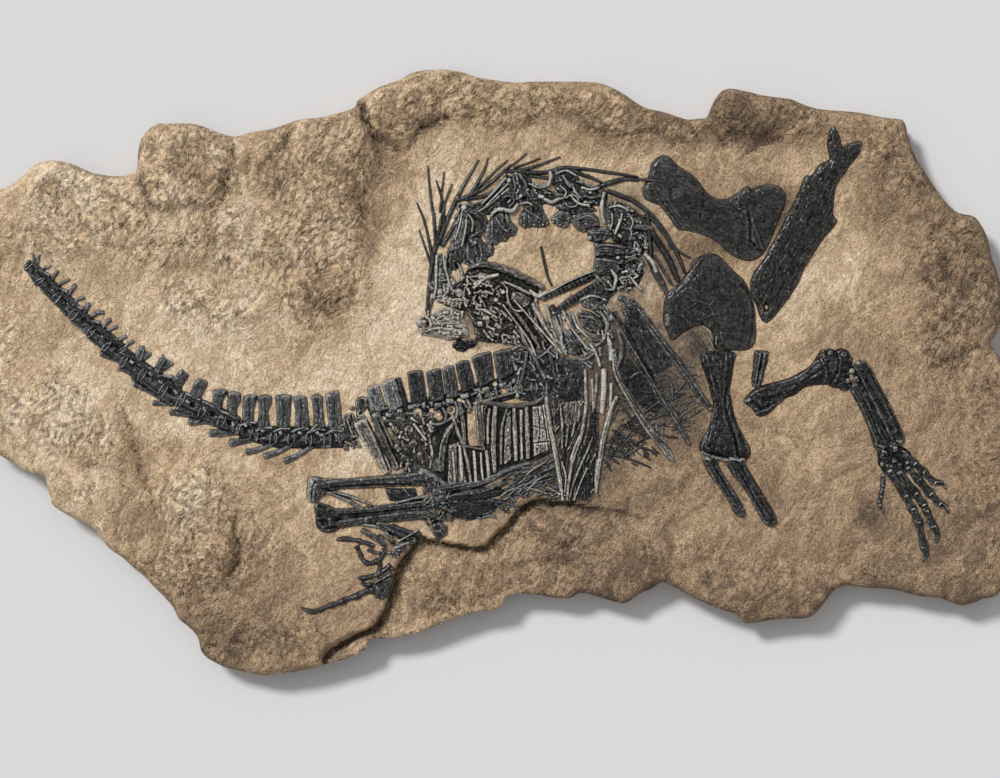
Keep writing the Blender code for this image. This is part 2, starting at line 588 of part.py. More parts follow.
# Neck ribs in three fans
black("cervical_ribs_1",
      bar([(478, 160, 1.6), (469, 176, 2), (458, 196, 2.4), (449, 216, 2.6), (441, 236, 3),
           (434, 252, 3), (430, 280, 2.4), (426, 318, 1.8)], 4),
      bar([(417, 203, 1.4), (422, 216, 1.6), (428, 236, 1.8), (432, 256, 2)], 3),
      bar([(428, 168, 1.4), (430, 190, 1.6), (434, 220, 2), (436, 246, 2.4)], 3.4),
      bar([(436, 180, 1.4), (442, 200, 1.8), (444, 222, 2), (441, 238, 2.2)], 3.4),
      bar([(461, 207, 1.8), (454, 226, 2.2), (443, 242, 2.4)], 3.4))
black("cervical_ribs_2",
      bar([(487, 160, 1.4), (482, 174, 2), (471, 194, 2.2)], 3.4),
      bar([(526, 154, 1.4), (506, 169, 1.8), (488, 185, 2.2), (469, 196, 2.6), (458, 200, 2.4)], 3.4),
      bar([(500, 188, 1.8), (484, 196, 2.2), (466, 199, 2.6)], 3.4),
      bar([(560, 158, 1.4), (542, 164, 1.6), (520, 171, 2.4), (504, 171, 2.2)], 3.4),
      bar([(518, 171, 2.4), (532, 173, 2.6), (548, 172, 2.4), (562, 168, 2.4), (584, 169, 2),
           (612, 173, 2), (640, 177, 1.4)], 3.4),
      bar([(562, 168, 2.6), (580, 174, 2.2), (600, 182, 1.6)], 3.4))
black("cervical_ribs_3",
      bar([(604, 188, 2.4), (614, 183, 3), (626, 180, 2.4), (643, 180, 1.8)], 4),
      bar([(608, 190, 2.6), (624, 198, 2.6), (642, 208, 2.6), (656, 221, 2.6), (668, 240, 2.6),
           (678, 258, 2.4), (684, 271, 2)], 4),
      bar([(634, 229, 3), (650, 231, 3.4), (661, 246, 3.4), (675, 278, 2.6)], 4),
      bar([(650, 258, 4), (658, 276, 4), (667, 295, 2)], 4),
      bar([(648, 211, 2.4), (648, 231, 2.6)], 3.4),
      bar([(649, 231, 3), (651, 260, 3)], 3.4))

# Tail, in runs from its tip to the hips
grey("tail_vertebrae_1",
     bar([(28, 262, 3.4), (34, 273, 4.6), (41, 281, 4), (49, 289, 5), (57, 298, 4.4), (65, 306, 5),
          (72, 313, 4.2)], 5.5),
     bar([(36, 270, 1.8), (39, 254, 1.6)], 4),
     bar([(51, 286, 2), (57, 271, 1.6)], 4),
     bar([(54, 289, 1.8), (69, 279, 1.4)], 3.6),
     bar([(67, 303, 2), (75, 286, 1.4)], 4),
     bar([(70, 306, 1.8), (84, 297, 1.4)], 3.6),
     bar([(44, 286, 2), (53, 300, 1.8)], 3.6),
     bar([(58, 300, 2), (67, 313, 1.8)], 3.6))
grey("tail_vertebrae_2",
     bar([(76, 317, 4.4), (83, 324, 5.2), (91, 332, 4.4), (98, 339, 5.2), (107, 346, 4.8),
          (115, 352, 5.6), (122, 358, 4.8)], 5.5),
     bar([(83, 320, 2.2), (88, 304, 1.6)], 4),
     bar([(88, 325, 2.2), (103, 313, 1.6)], 3.6),
     bar([(99, 336, 2.4), (110, 320, 1.6)], 4),
     bar([(104, 338, 2.2), (117, 327, 1.6)], 3.6),
     bar([(114, 350, 2.6), (126, 337, 1.8)], 4),
     bar([(120, 354, 2.2), (133, 342, 1.6)], 3.6),
     bar([(78, 324, 2.4), (86, 334, 2)], 3.6),
     bar([(92, 338, 2.2), (102, 350, 2)], 3.6),
     bar([(102, 350, 2.2), (119, 361, 2)], 3.6))
grey("tail_vertebrae_3",
     bar([(127, 363, 4.6), (133, 367, 6), (143, 373, 5.4), (153, 381, 6.2), (163, 389, 5.6),
          (172, 395, 6)], 6),
     plate([(133, 364), (140, 347), (144, 345), (146, 352), (151, 353), (141, 366)], 5, 1.0),
     plate([(152, 377), (159, 360), (163, 355), (167, 361), (173, 364), (160, 379)], 5, 1.0),
     plate([(168, 390), (179, 373), (183, 370), (188, 376), (184, 384), (176, 396)], 5, 1.0),
     bar([(128, 368, 2.4), (142, 381, 2.2)], 4),
     bar([(135, 384, 2.8), (160, 396, 2.4)], 4))
grey("tail_vertebrae_4",
     bar([(181, 400, 6), (192, 405, 7), (203, 410, 6.4), (214, 416, 7), (225, 421, 6.4),
          (237, 427, 6.2), (244, 430, 6)], 6.5),
     plate([(190, 400), (195, 383), (199, 379), (207, 383), (203, 403)], 6, 1.2),
     plate([(210, 408), (213, 391), (220, 389), (228, 391), (222, 412)], 6, 1.2),
     plate([(229, 418), (228, 393), (240, 394), (237, 420)], 6, 1.2),
     bar([(156, 404, 2.4), (172, 407, 2.4), (188, 408, 2.6)], 4),
     bar([(172, 412, 2.2), (192, 416, 2.4), (208, 417, 2.4)], 4),
     bar([(190, 422, 2.4), (206, 421, 2.4), (222, 420, 2.4)], 4),
     bar([(211, 433, 2.2), (236, 430, 2.4)], 4))
grey("tail_vertebrae_5",
     bar([(252, 433, 6), (264, 436, 6), (282, 438, 6), (300, 438, 6), (318, 440, 6.4), (333, 439, 7)],
         6.5),
     plate([(244, 428), (244, 398), (250, 395), (256, 397), (253, 430)], 6, 1.2),
     plate([(258, 432), (258, 398), (270, 396), (269, 432)], 6, 1.2),
     plate([(277, 433), (276, 396), (291, 396), (288, 433)], 6, 1.2),
     plate([(295, 433), (294, 397), (306, 396), (309, 433)], 6, 1.2),
     plate([(314, 434), (312, 396), (321, 395), (325, 434)], 6, 1.2),
     plate([(328, 434), (326, 395), (338, 391), (340, 434)], 6, 1.2),
     bar([(232, 443, 2.2), (256, 438, 2.4)], 4),
     bar([(247, 453, 2.2), (273, 443, 2.4)], 4),
     bar([(266, 456, 2.2), (292, 444, 2.4)], 4),
     bar([(286, 461, 2), (312, 446, 2.4)], 4))
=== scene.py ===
"""Looks of the fossil protorosaurus skeleton slab: a limestone slab with its dark skeleton.

Places on the slab are plan units, the pixels of the plan picture with y down, and heights are
millimetres above the smooth bed that carries the bones. plan() turns a place into metres.
"""
import math

import bmesh
import bpy
import numpy as np
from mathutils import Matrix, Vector


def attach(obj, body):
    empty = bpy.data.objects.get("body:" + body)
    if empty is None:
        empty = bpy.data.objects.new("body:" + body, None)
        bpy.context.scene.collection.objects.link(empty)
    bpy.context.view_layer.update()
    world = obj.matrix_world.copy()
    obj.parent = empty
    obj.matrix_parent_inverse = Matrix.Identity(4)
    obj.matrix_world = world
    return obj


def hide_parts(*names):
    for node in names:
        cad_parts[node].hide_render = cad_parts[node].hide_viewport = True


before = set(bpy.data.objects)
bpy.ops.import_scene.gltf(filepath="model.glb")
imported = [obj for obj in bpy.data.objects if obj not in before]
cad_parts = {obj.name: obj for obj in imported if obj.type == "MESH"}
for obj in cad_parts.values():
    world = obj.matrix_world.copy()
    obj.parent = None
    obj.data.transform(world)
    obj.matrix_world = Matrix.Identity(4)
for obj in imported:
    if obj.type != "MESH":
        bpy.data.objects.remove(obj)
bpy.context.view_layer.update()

# Rock slab
# One worn slab of sandy limestone: a smooth prepared bed inside a knobbly weathered border, with a
# ledge under the hips where a lower layer shows. Its broken sides are layered and its back is flat.
UNIT = 0.0012                  # metres to a plan unit
BED = 0.050                    # metres from the back to the bed
PLAN_MIDDLE = (493.0, 372.5)
OUTLINE = [
    (-34, 310), (-30, 260), (-26, 215), (-12, 196), (0, 189), (12, 184), (22, 175), (34, 164),
    (48, 160), (62, 161), (75, 165), (88, 171), (100, 174), (115, 176), (127, 174), (136, 170),
    (137, 155), (140, 140), (147, 130), (158, 123), (175, 123), (190, 123), (203, 126), (215, 131),
    (228, 135), (236, 136), (250, 132), (268, 129), (282, 125), (300, 119), (320, 117), (340, 112),
    (354, 107), (357, 100), (368, 93), (380, 86), (400, 79), (412, 72), (430, 69), (445, 69),
    (460, 71), (475, 76), (490, 79), (515, 82), (535, 81), (560, 81), (580, 81), (598, 82),
    (612, 87), (625, 94), (636, 102), (648, 108), (662, 111), (675, 115), (688, 119), (700, 118),
    (707, 117), (711, 108), (716, 98), (723, 90), (732, 88), (748, 91), (765, 95), (780, 97),
    (793, 99), (802, 103), (817, 108), (835, 110), (860, 112), (885, 117), (902, 119), (906, 123),
    (910, 140), (918, 160), (930, 178), (942, 196), (955, 210), (965, 214), (975, 216), (983, 226),
    (989, 240), (993, 258), (999, 275), (1004, 300), (1003, 322), (996, 336), (991, 343),
    (996, 351), (1004, 362), (1012, 385), (1020, 430), (1022, 480), (1016, 530), (1008, 570),
    (1000, 594), (985, 599), (975, 603), (962, 606), (948, 601), (940, 598), (925, 597), (910, 594),
    (895, 590), (880, 589), (865, 588), (850, 586), (842, 587), (835, 591), (828, 599), (822, 607),
    (815, 615), (805, 619), (790, 619), (775, 620), (762, 622), (750, 624), (742, 622), (738, 615),
    (725, 611), (712, 606), (700, 601), (688, 595), (678, 589), (668, 584), (662, 582), (652, 589),
    (640, 594), (632, 600), (624, 604), (615, 602), (600, 598), (588, 594), (578, 594), (572, 598),
    (560, 599), (548, 597), (535, 595), (520, 594), (510, 596), (503, 603), (500, 608), (490, 611),
    (475, 613), (458, 618), (445, 622), (432, 628), (418, 633), (400, 637), (385, 639), (370, 640),
    (366, 648), (362, 652), (353, 656), (345, 660), (330, 663), (312, 669), (297, 672), (280, 674),
    (265, 676), (250, 674), (238, 671), (225, 668), (213, 662), (205, 657), (200, 650), (198, 640),
    (193, 632), (185, 625), (178, 619), (172, 607), (163, 597), (152, 586), (143, 576), (132, 567),
    (122, 558), (110, 550), (102, 541), (96, 533), (88, 525), (80, 522), (68, 516), (58, 510),
    (51, 504), (48, 492), (44, 478), (38, 475), (25, 472), (12, 463), (0, 456), (-14, 448),
    (-22, 430), (-30, 400), (-36, 360),
]


def plan(x, y):
    """Metres on the slab: the offset from the outline's middle times the plan unit, with y turned up."""
    return (np.asarray(x) - PLAN_MIDDLE[0]) * UNIT, (PLAN_MIDDLE[1] - np.asarray(y)) * UNIT


def step(low, high, value):
    """Smooth step: 0 below low, 1 above high, with the cubic 3t^2 - 2t^3 between."""
    t = np.clip((value - low) / (high - low), 0.0, 1.0)
    return t * t * (3.0 - 2.0 * t)


def grain(x, y, size, seed):
    """Random field in -1..1: values on a square lattice of that size, blended with 6t^5-15t^4+10t^3."""
    table = np.random.default_rng(seed).uniform(-1.0, 1.0, (128, 128))
    u, v = x / size + 1000.0, y / size + 1000.0
    i, j = np.floor(u).astype(int), np.floor(v).astype(int)
    s, t = u - i, v - j
    s, t = s * s * s * (s * (s * 6 - 15) + 10), t * t * t * (t * (t * 6 - 15) + 10)
    a, b = table[i % 128, j % 128], table[(i + 1) % 128, j % 128]
    c, d = table[i % 128, (j + 1) % 128], table[(i + 1) % 128, (j + 1) % 128]
    return (a * (1 - s) + b * s) * (1 - t) + (c * (1 - s) + d * s) * t


def rough(x, y, size, seed, octaves=4, fade=0.52):
    """Sum of grain fields, each half the size of the one before and fade times as high."""
    total = np.zeros_like(x)
    for octave in range(octaves):
        turn = 0.7 * octave
        u = x * math.cos(turn) - y * math.sin(turn)
        v = x * math.sin(turn) + y * math.cos(turn)
        total += fade ** octave * grain(u, v, size / 2 ** octave, seed + octave)
    return total


def chips(x, y, size, seed):
    """Broken facets in -1..1: every point takes the tilted plane of its nearest random centre."""
    random = np.random.default_rng(seed)
    table = random.uniform(0.0, 1.0, (64, 64, 2))
    plane = random.uniform(-1.0, 1.0, (64, 64, 3))
    u, v = x / size + 500.0, y / size + 500.0
    i, j = np.floor(u).astype(int), np.floor(v).astype(int)
    best = np.full(x.shape, 9.0)
    height = np.zeros_like(x)
    for di in (-1, 0, 1):
        for dj in (-1, 0, 1):
            a, b = (i + di) % 64, (j + dj) % 64
            du = u - (i + di + table[a, b, 0])
            dv = v - (j + dj + table[a, b, 1])
            reach = du * du + dv * dv
            here = plane[a, b, 0] * 0.4 + plane[a, b, 1] * du + plane[a, b, 2] * dv
            height = np.where(reach < best, here, height)
            best = np.minimum(best, reach)
    return height


def curve(points, pieces, closed=False):
    """Smooth curve through the points, with so many pieces to each span. Each span is a cubic in t that
    leaves a point along half the step between that point's two neighbours."""
    p = np.asarray(points, float)
    if closed:
        p = np.vstack([p[-1:], p, p[:2]])
    else:
        p = np.vstack([2 * p[:1] - p[1:2], p, 2 * p[-1:] - p[-2:-1]])
    t = (np.arange(pieces) / pieces)[None, :, None]
    a, b, c, d = (p[k:len(p) - 3 + k][:, None] for k in range(4))
    spans = 0.5 * (2 * b + (c - a) * t + (2 * a - 5 * b + 4 * c - d) * t ** 2
                   + (3 * b - a - 3 * c + d) * t ** 3)
    made = spans.reshape(-1, p.shape[1])
    return made if closed else np.vstack([made, p[-2:-1]])


def nearest(x, y, line):
    """For each point: its distance to a line, the place along it, the span, and the offsets along and
    across that span. Each span's nearest point is its clamped projection, and the closest span wins."""
    start, end = line[:-1, :2], line[1:, :2]
    edge = end - start
    length = np.maximum(np.hypot(edge[:, 0], edge[:, 1]), 1e-9)
    edge = edge / length[:, None]
    best = np.full(x.shape, 1e9)
    share, span = np.zeros_like(x), np.zeros(x.shape, int)
    along, across = np.zeros_like(x), np.zeros_like(x)
    for k in range(len(start)):
        dx, dy = x - start[k, 0], y - start[k, 1]
        t = dx * edge[k, 0] + dy * edge[k, 1]
        s = dx * edge[k, 1] - dy * edge[k, 0]
        clamped = np.clip(t, 0.0, length[k])
        reach = (t - clamped) ** 2 + s * s
        closer = reach < best
        best = np.where(closer, reach, best)
        share = np.where(closer, clamped / length[k], share)
        span = np.where(closer, k, span)
        along = np.where(closer, t - clamped, along)
        across = np.where(closer, s, across)
    return np.sqrt(best), share, span, along, across


def inside(x, y, outline):
    """True inside a closed outline: an odd number of its edges lies to the right of the point."""
    odd = np.zeros(x.shape, bool)
    for (ax, ay), (bx, by) in zip(outline, np.roll(outline, -1, axis=0)):
        if ay != by:
            odd ^= ((ay > y) != (by > y)) & (x < (bx - ax) * (y - ay) / (by - ay) + ax)
    return odd


def box_mean(field, reach):
    """Mean over a square window of that many cells each way, from running sums along each axis."""
    for axis in (0, 1):
        padded = np.concatenate([np.repeat(field.take([0], axis), reach + 1, axis), field,
                                 np.repeat(field.take([-1], axis), reach, axis)], axis)
        total = np.cumsum(padded, axis)
        high = np.arange(2 * reach + 1, total.shape[axis])
        field = (total.take(high, axis) - total.take(high - 2 * reach - 1, axis)) / (2 * reach + 1)
    return field


# Swells of the border: x, y, half length, half width, turn in degrees, height, sharpness of the edge
SWELLS = [
    (92, 206, 64, 40, 8, 10, 1.3), (46, 184, 34, 20, -25, 9, 1.4), (8, 240, 22, 50, 18, 6, 1.4),
    (60, 236, 44, 22, 15, 6, 1.2), (184, 160, 46, 42, 0, 21, 2.2), (214, 226, 44, 26, 48, 12, 1.5),
    (152, 244, 44, 26, 4, 8, 1.3), (200, 302, 58, 30, 18, 7, 1.3), (264, 160, 17, 46, 10, 10, 1.6),
    (322, 156, 44, 52, 4, 21, 1.9), (310, 222, 48, 46, -14, 19, 1.7), (318, 282, 38, 42, -36, 13, 1.5),
    (262, 262, 40, 36, 30, 8, 1.3), (346, 128, 18, 26, 0, 19, 2.0), (262, 306, 50, 26, -6, 5, 1.2),
    (410, 100, 48, 26, -24, 15, 1.7), (470, 96, 52, 26, 6, 13, 1.6), (540, 100, 58, 24, 2, 13, 1.6),
    (606, 110, 46, 24, 16, 14, 1.8), (668, 124, 38, 13, 10, 9, 1.5),
    (742, 110, 36, 30, 12, 21, 2.4), (782, 112, 34, 20, 12, 14, 1.8), (840, 116, 34, 11, 4, 5, 1.3),
    (884, 148, 26, 34, -10, 7, 1.4), (914, 196, 28, 40, -30, 9, 1.4), (946, 238, 34, 30, -25, 13, 1.7),
    (968, 290, 34, 34, 0, 14, 1.6), (940, 340, 46, 30, 24, 8, 1.3), (986, 396, 32, 46, 0, 8, 1.4),
    (996, 476, 26, 56, 0, 6, 1.3), (930, 398, 34, 26, 20, 4, 1.2), (986, 560, 34, 34, 0, 5, 1.4),
    (0, 334, 40, 44, 0, 5, 1.3), (2, 404, 44, 44, 20, 6, 1.4), (82, 424, 50, 34, 22, 9, 1.5),
    (50, 376, 34, 22, 30, 5, 1.3), (84, 486, 44, 24, 34, 7, 1.5), (186, 500, 42, 36, -10, 12, 1.6),
    (214, 552, 24, 40, 10, 14, 1.9), (168, 566, 34, 34, 40, 9, 1.5), (220, 612, 38, 24, 30, 7, 1.4),
    (292, 622, 50, 32, -8, 6, 1.4), (268, 656, 40, 16, -4, 5, 1.5),
    (560, 540, 66, 24, 4, 4, 1.4), (512, 568, 44, 22, -6, 4, 1.4), (640, 560, 48, 24, 14, 5, 1.5),
    (590, 576, 44, 16, 4, 4, 1.6), (764, 592, 64, 22, 4, 5, 1.5), (900, 572, 64, 16, 2, 3, 1.4),
    (704, 560, 36, 24, 30, 5, 1.4), (860, 540, 50, 24, 0, 2, 1.2), (640, 520, 30, 14, 10, 2, 1.4),
]
# Shade of the rock: x, y, half length, half width, turn in degrees, and how much darker or paler
SHADES = [
    (1030, 350, 190, 330, 0, 0.46), (760, 560, 330, 90, 0, 0.26), (560, 590, 200, 70, 4, 0.22),
    (230, 610, 150, 80, 10, 0.30),
    # The row at (366, 210) partly paints the shadow on the steep east slope of the big swell
    (530, 88, 200, 44, 2, 0.15), (742, 116, 46, 32, 10, 0.22), (366, 210, 18, 110, 0, 0.22),
    (322, 160, 44, 56, 0, 0.08), (185, 170, 50, 42, 0, 0.10), (150, 236, 70, 40, 10, 0.08),
    (312, 250, 40, 50, 0, 0.06), (395, 130, 22, 40, 20, 0.10), (400, 330, 80, 50, 0, -0.12),
    (246, 190, 14, 62, 2, -0.15),
    (835, 285, 40, 56, 20, -0.22), (60, 172, 74, 12, 0, -0.08), (190, 336, 130, 36, 0, -0.10),
    (430, 270, 60, 110, 0, -0.14), (90, 430, 110, 70, 0, -0.14), (260, 380, 120, 50, 0, -0.06),
    (730, 470, 70, 60, 0, 0.24), (398, 170, 26, 50, 10, 0.28),
    (770, 104, 130, 50, 4, 0.24), (736, 216, 60, 60, 0, 0.36), (650, 130, 90, 40, 8, 0.16),
    (690, 280, 40, 60, -20, 0.24), (700, 400, 60, 60, 0, 0.14),
    (258, 160, 36, 50, 0, 0.16), (322, 316, 34, 40, 0, 0.24), (276, 362, 34, 30, 0, 0.16),
    (150, 470, 66, 60, 0, 0.16), (56, 444, 60, 40, 0, 0.08),
    (590, 525, 90, 30, 0, 0.10), (800, 600, 90, 34, 0, 0.14), (846, 340, 50, 50, 0, 0.12),
    (990, 400, 30, 110, 0, -0.12), (545, 246, 50, 34, 0, 0.12), (480, 130, 90, 40, 0, 0.10),
    (100, 330, 70, 50, 20, 0.10), (240, 620, 60, 40, 0, 0.13), (900, 340, 70, 60, 0, -0.08),
    (890, 186, 34, 60, -20, 0.20), (960, 266, 50, 34, 20, 0.12), (884, 246, 30, 20, 0, -0.20),
    (958, 244, 40, 8, -22, -0.14),
    (870, 512, 16, 12, 20, 0.26), (620, 486, 70, 26, 0, 0.20), (600, 400, 90, 90, 0, 0.18),
    (870, 430, 40, 50, 60, 0.12),
    (770, 456, 30, 12, 0, -0.10), (720, 520, 50, 22, 0, -0.08), (144, 470, 16, 80, -14, 0.12),
    (150, 440, 10, 60, -14, -0.06),
    (356, 456, 26, 18, 0, -0.20), (640, 286, 26, 16, 0, -0.14), (540, 240, 40, 30, 0, 0.02),
    (260, 520, 40, 60, 0, 0.10), (900, 330, 60, 60, 40, 0.06),
    (775, 205, 28, 28, 0, 0.50), (725, 248, 26, 16, 0, 0.18), (300, 450, 46, 26, 0, 0.20),
    (125, 525, 26, 42, 0, 0.18),
    (720, 425, 50, 30, 0, 0.10), (825, 325, 24, 34, 0, 0.14), (575, 150, 30, 14, 0, 0.12),
    (276, 176, 24, 36, 0, 0.12),
    (330, 180, 24, 30, 0, 0.10), (325, 300, 26, 26, 0, 0.13), (375, 226, 24, 36, 0, 0.12),
    (470, 352, 24, 10, 0, 0.10),
    (552, 506, 40, 12, 0, 0.14), (300, 640, 160, 24, -10, 0.12), (600, 596, 80, 14, 0, 0.10),
    (760, 612, 60, 14, 0, 0.12),
    (925, 450, 26, 30, 0, -0.10), (175, 500, 26, 26, 0, -0.10), (175, 204, 26, 24, 0, -0.08),
    # Painted shadow: the row at (432, 430) darkens the deep gap beside the ilium
    (432, 430, 14, 12, 0, 0.20),
    (525, 296, 20, 16, 0, 0.22), (500, 502, 60, 14, 0, 0.12), (600, 506, 60, 14, 0, 0.12),
    (375, 500, 24, 16, 0, 0.14), (745, 372, 44, 40, 0, 0.12), (850, 112, 44, 16, 0, 0.14),
    (606, 152, 50, 14, 0, 0.12),
    (925, 160, 26, 26, 0, 0.12), (950, 596, 60, 14, 0, 0.12), (125, 400, 20, 30, 0, 0.08),
    (130, 450, 24, 30, 0, 0.08),
    (175, 452, 26, 20, 0, 0.10), (225, 600, 26, 26, 0, -0.09),
    (228, 160, 16, 40, 0, -0.12), (100, 205, 40, 28, 0, -0.10), (200, 500, 50, 26, 0, -0.08),
    (825, 150, 24, 24, 0, 0.12),
    (375, 110, 16, 20, 0, -0.08), (430, 398, 30, 16, 0, -0.10), (180, 550, 30, 24, 0, -0.06),
    (630, 575, 70, 30, 10, 0.10), (440, 620, 60, 12, -14, -0.06), (210, 640, 30, 30, 0, 0.12),
    (0, 250, 20, 50, 0, 0.12),
]
# Broken knobbly areas outside the swells: the same values, 1 for fully broken
RUGGED = [
    (204, 540, 50, 60, 0, 0.90), (262, 556, 24, 44, 20, 0.50), (246, 648, 62, 24, 0, 0.80),
    (84, 440, 66, 42, 30, 0.50),
    (470, 584, 60, 22, -8, 0.45), (570, 572, 60, 22, 0, 0.55), (760, 592, 84, 22, 2, 0.50),
    (900, 576, 60, 18, 0, 0.35),
]
# Patches of dark matrix stained by the bones, and one of painted shadow: the same values
STAINS_AND_SHADOW = [
    (604, 350, 36, 50, -12, 0.6), (652, 352, 44, 56, -30, 0.55), (566, 440, 34, 60, 0, 0.55),
    (480, 306, 34, 34, 0, 0.7),
    (466, 346, 14, 8, 0, 0.40), (628, 240, 24, 60, 0, 0.7), (640, 410, 50, 52, 0, 0.60),
    (590, 470, 40, 34, 0, 0.5),
    (470, 440, 70, 46, 0, 0.35), (500, 190, 44, 20, -28, 0.5), (575, 186, 40, 16, 10, 0.5),
    (440, 506, 26, 20, 0, 0.6),
    (480, 508, 36, 12, -8, 0.9), (664, 250, 14, 40, -24, 0.5), (395, 540, 24, 16, 20, 0.5),
    (520, 330, 44, 26, 20, 0.8),
    (545, 376, 40, 16, 0, 0.6), (535, 476, 36, 16, 0, 0.6), (404, 448, 30, 30, 0, 0.6),
    (384, 590, 12, 12, 0, 0.5),
    (700, 340, 14, 24, 0, 0.5), (350, 430, 12, 16, 0, 0.4), (676, 300, 30, 90, -26, 0.24),
    # The row at (432, 430) is painted shadow in the deep gap beside the ilium, not a stain
    (690, 410, 30, 44, 0, 0.30), (432, 430, 12, 12, 0, 0.6),
]
LEDGE = [(640, 514), (620, 510), (605, 508), (590, 505), (575, 502), (555, 500), (535, 500),
         (525, 503), (515, 512), (505, 525), (495, 533), (485, 543), (475, 546), (460, 544),
         (445, 541), (430, 539), (418, 535), (410, 548), (400, 560), (395, 570), (391, 583),
         (387, 597), (382, 612), (374, 624), (355, 635), (340, 643), (325, 655), (316, 668)]
LOWER_LAYER = LEDGE + [(300, 710), (720, 700), (700, 590), (672, 545)]
# Cracks and steps: path, width, depth in mm, and how far the lower side of a step reaches, 0 for a crack
CLEFTS = [
    ([(360, 98), (361, 110), (366, 124), (374, 136), (384, 140)], 4.4, 9, 0),
    ([(376, 132), (386, 140), (397, 148), (400, 160)], 3.0, 4, 10),
    ([(397, 150), (412, 144), (420, 132), (440, 120), (462, 116), (490, 118)], 2.6, 4, 18),
    ([(585, 124), (602, 131), (622, 136), (650, 133), (680, 131), (700, 136)], 2.8, 4, 16),
    ([(792, 130), (780, 138), (766, 143), (748, 152), (738, 160)], 2.8, 5, 18),
    ([(706, 118), (714, 130), (722, 142), (730, 150)], 3.4, 4, 12),
    ([(317, 228), (315, 246), (316, 262), (322, 286)], 2.4, 4.5, 0),
    ([(326, 232), (330, 250), (329, 270)], 2.4, 2.5, 0),
    ([(203, 292), (222, 297), (242, 296), (262, 288)], 2.4, 2.6, 8),
    ([(268, 286), (254, 298), (240, 312), (226, 316)], 2.2, 2.6, 0),
    ([(100, 242), (120, 250), (135, 259), (152, 262)], 2.4, 2.4, 6),
    ([(228, 250), (229, 262), (231, 276)], 2.2, 2.6, 5),
    ([(137, 168), (142, 186), (152, 204), (172, 216)], 5.0, 4, 0),
    ([(229, 134), (232, 156), (224, 184), (214, 204)], 6.0, 4, 0),
    ([(237, 498), (234, 530), (238, 546), (231, 574), (204, 590)], 3.0, 5, 10),
    ([(250, 508), (256, 528), (252, 548)], 2.4, 3, 6),
    ([(120, 398), (131, 430), (141, 470), (152, 500), (160, 542)], 6.0, 4, 0),
    ([(30, 188), (28, 212), (20, 242), (8, 280), (-2, 300)], 1.6, -2.6, 0),
    ([(247, 148), (243, 175), (249, 206)], 3.0, -2.5, 0),
    ([(864, 226), (866, 250), (858, 282), (880, 322), (902, 342), (930, 372)], 3.0, -2.2, 0),
    ([(318, 664), (330, 652), (346, 640), (366, 630)], 4.0, 10, 0),
    ([(700, 588), (750, 570), (800, 576), (842, 584)], 4.0, 2.0, 10),
    ([(430, 552), (470, 570), (540, 562), (610, 556), (660, 574)], 4.0, 1.6, 12),
    ([(905, 122), (896, 150), (908, 176), (934, 196)], 5.0, 2.4, 0),
    ([(992, 344), (962, 352), (938, 366)], 4.0, 4, 0), ([(104, 462), (112, 448), (108, 436)], 2.2, 2.4, 0),
    ([(90, 476), (94, 488), (90, 500)], 2.2, 2.6, 0),
    ([(880, 236), (905, 262), (936, 290), (972, 302)], 5.0, 1.6, 0),
    ([(60, 196), (84, 204), (96, 222)], 3.0, 1.6, 6),
    ([(820, 540), (850, 548), (884, 540), (930, 546)], 4.0, 1.4, 8),
    ([(560, 588), (600, 582), (650, 580)], 3.0, 2.4, 8),
]
ROCK_STEP = 2.52               # plan units between the points of the worn top
GRID_X, GRID_Y = (-40.0, 1028.0), (64.0, 682.0)  # plan units: the grid, a little past the outline
EDGE_LEVEL = -8.0              # mm from the bed to the top of the broken side
SIDE_RINGS = (-21.0, -25.0, -29.0, -33.0, -37.0, -41.0, -45.0, -48.5, -50.0)  # mm: layers of the side
LEDGE_JAG = 0.35               # share of the cracks' jaggedness that the ledge takes
LEDGE_FULL, LEDGE_ENDS = 560.0, 690.0  # x in plan units: the ledge fades out between them


def blobs(x, y, rows):
    """Sum of soft elliptical blobs: each row's last value times exp(-(u^2+v^2)^1.3)."""
    total = np.zeros_like(x)
    for cx, cy, long, wide, turn, value in rows:
        c, s = math.cos(math.radians(turn)), math.sin(math.radians(turn))
        u, v = ((x - cx) * c + (y - cy) * s) / long, (-(x - cx) * s + (y - cy) * c) / wide
        total += value * np.exp(-(u * u + v * v) ** 1.3)
    return total


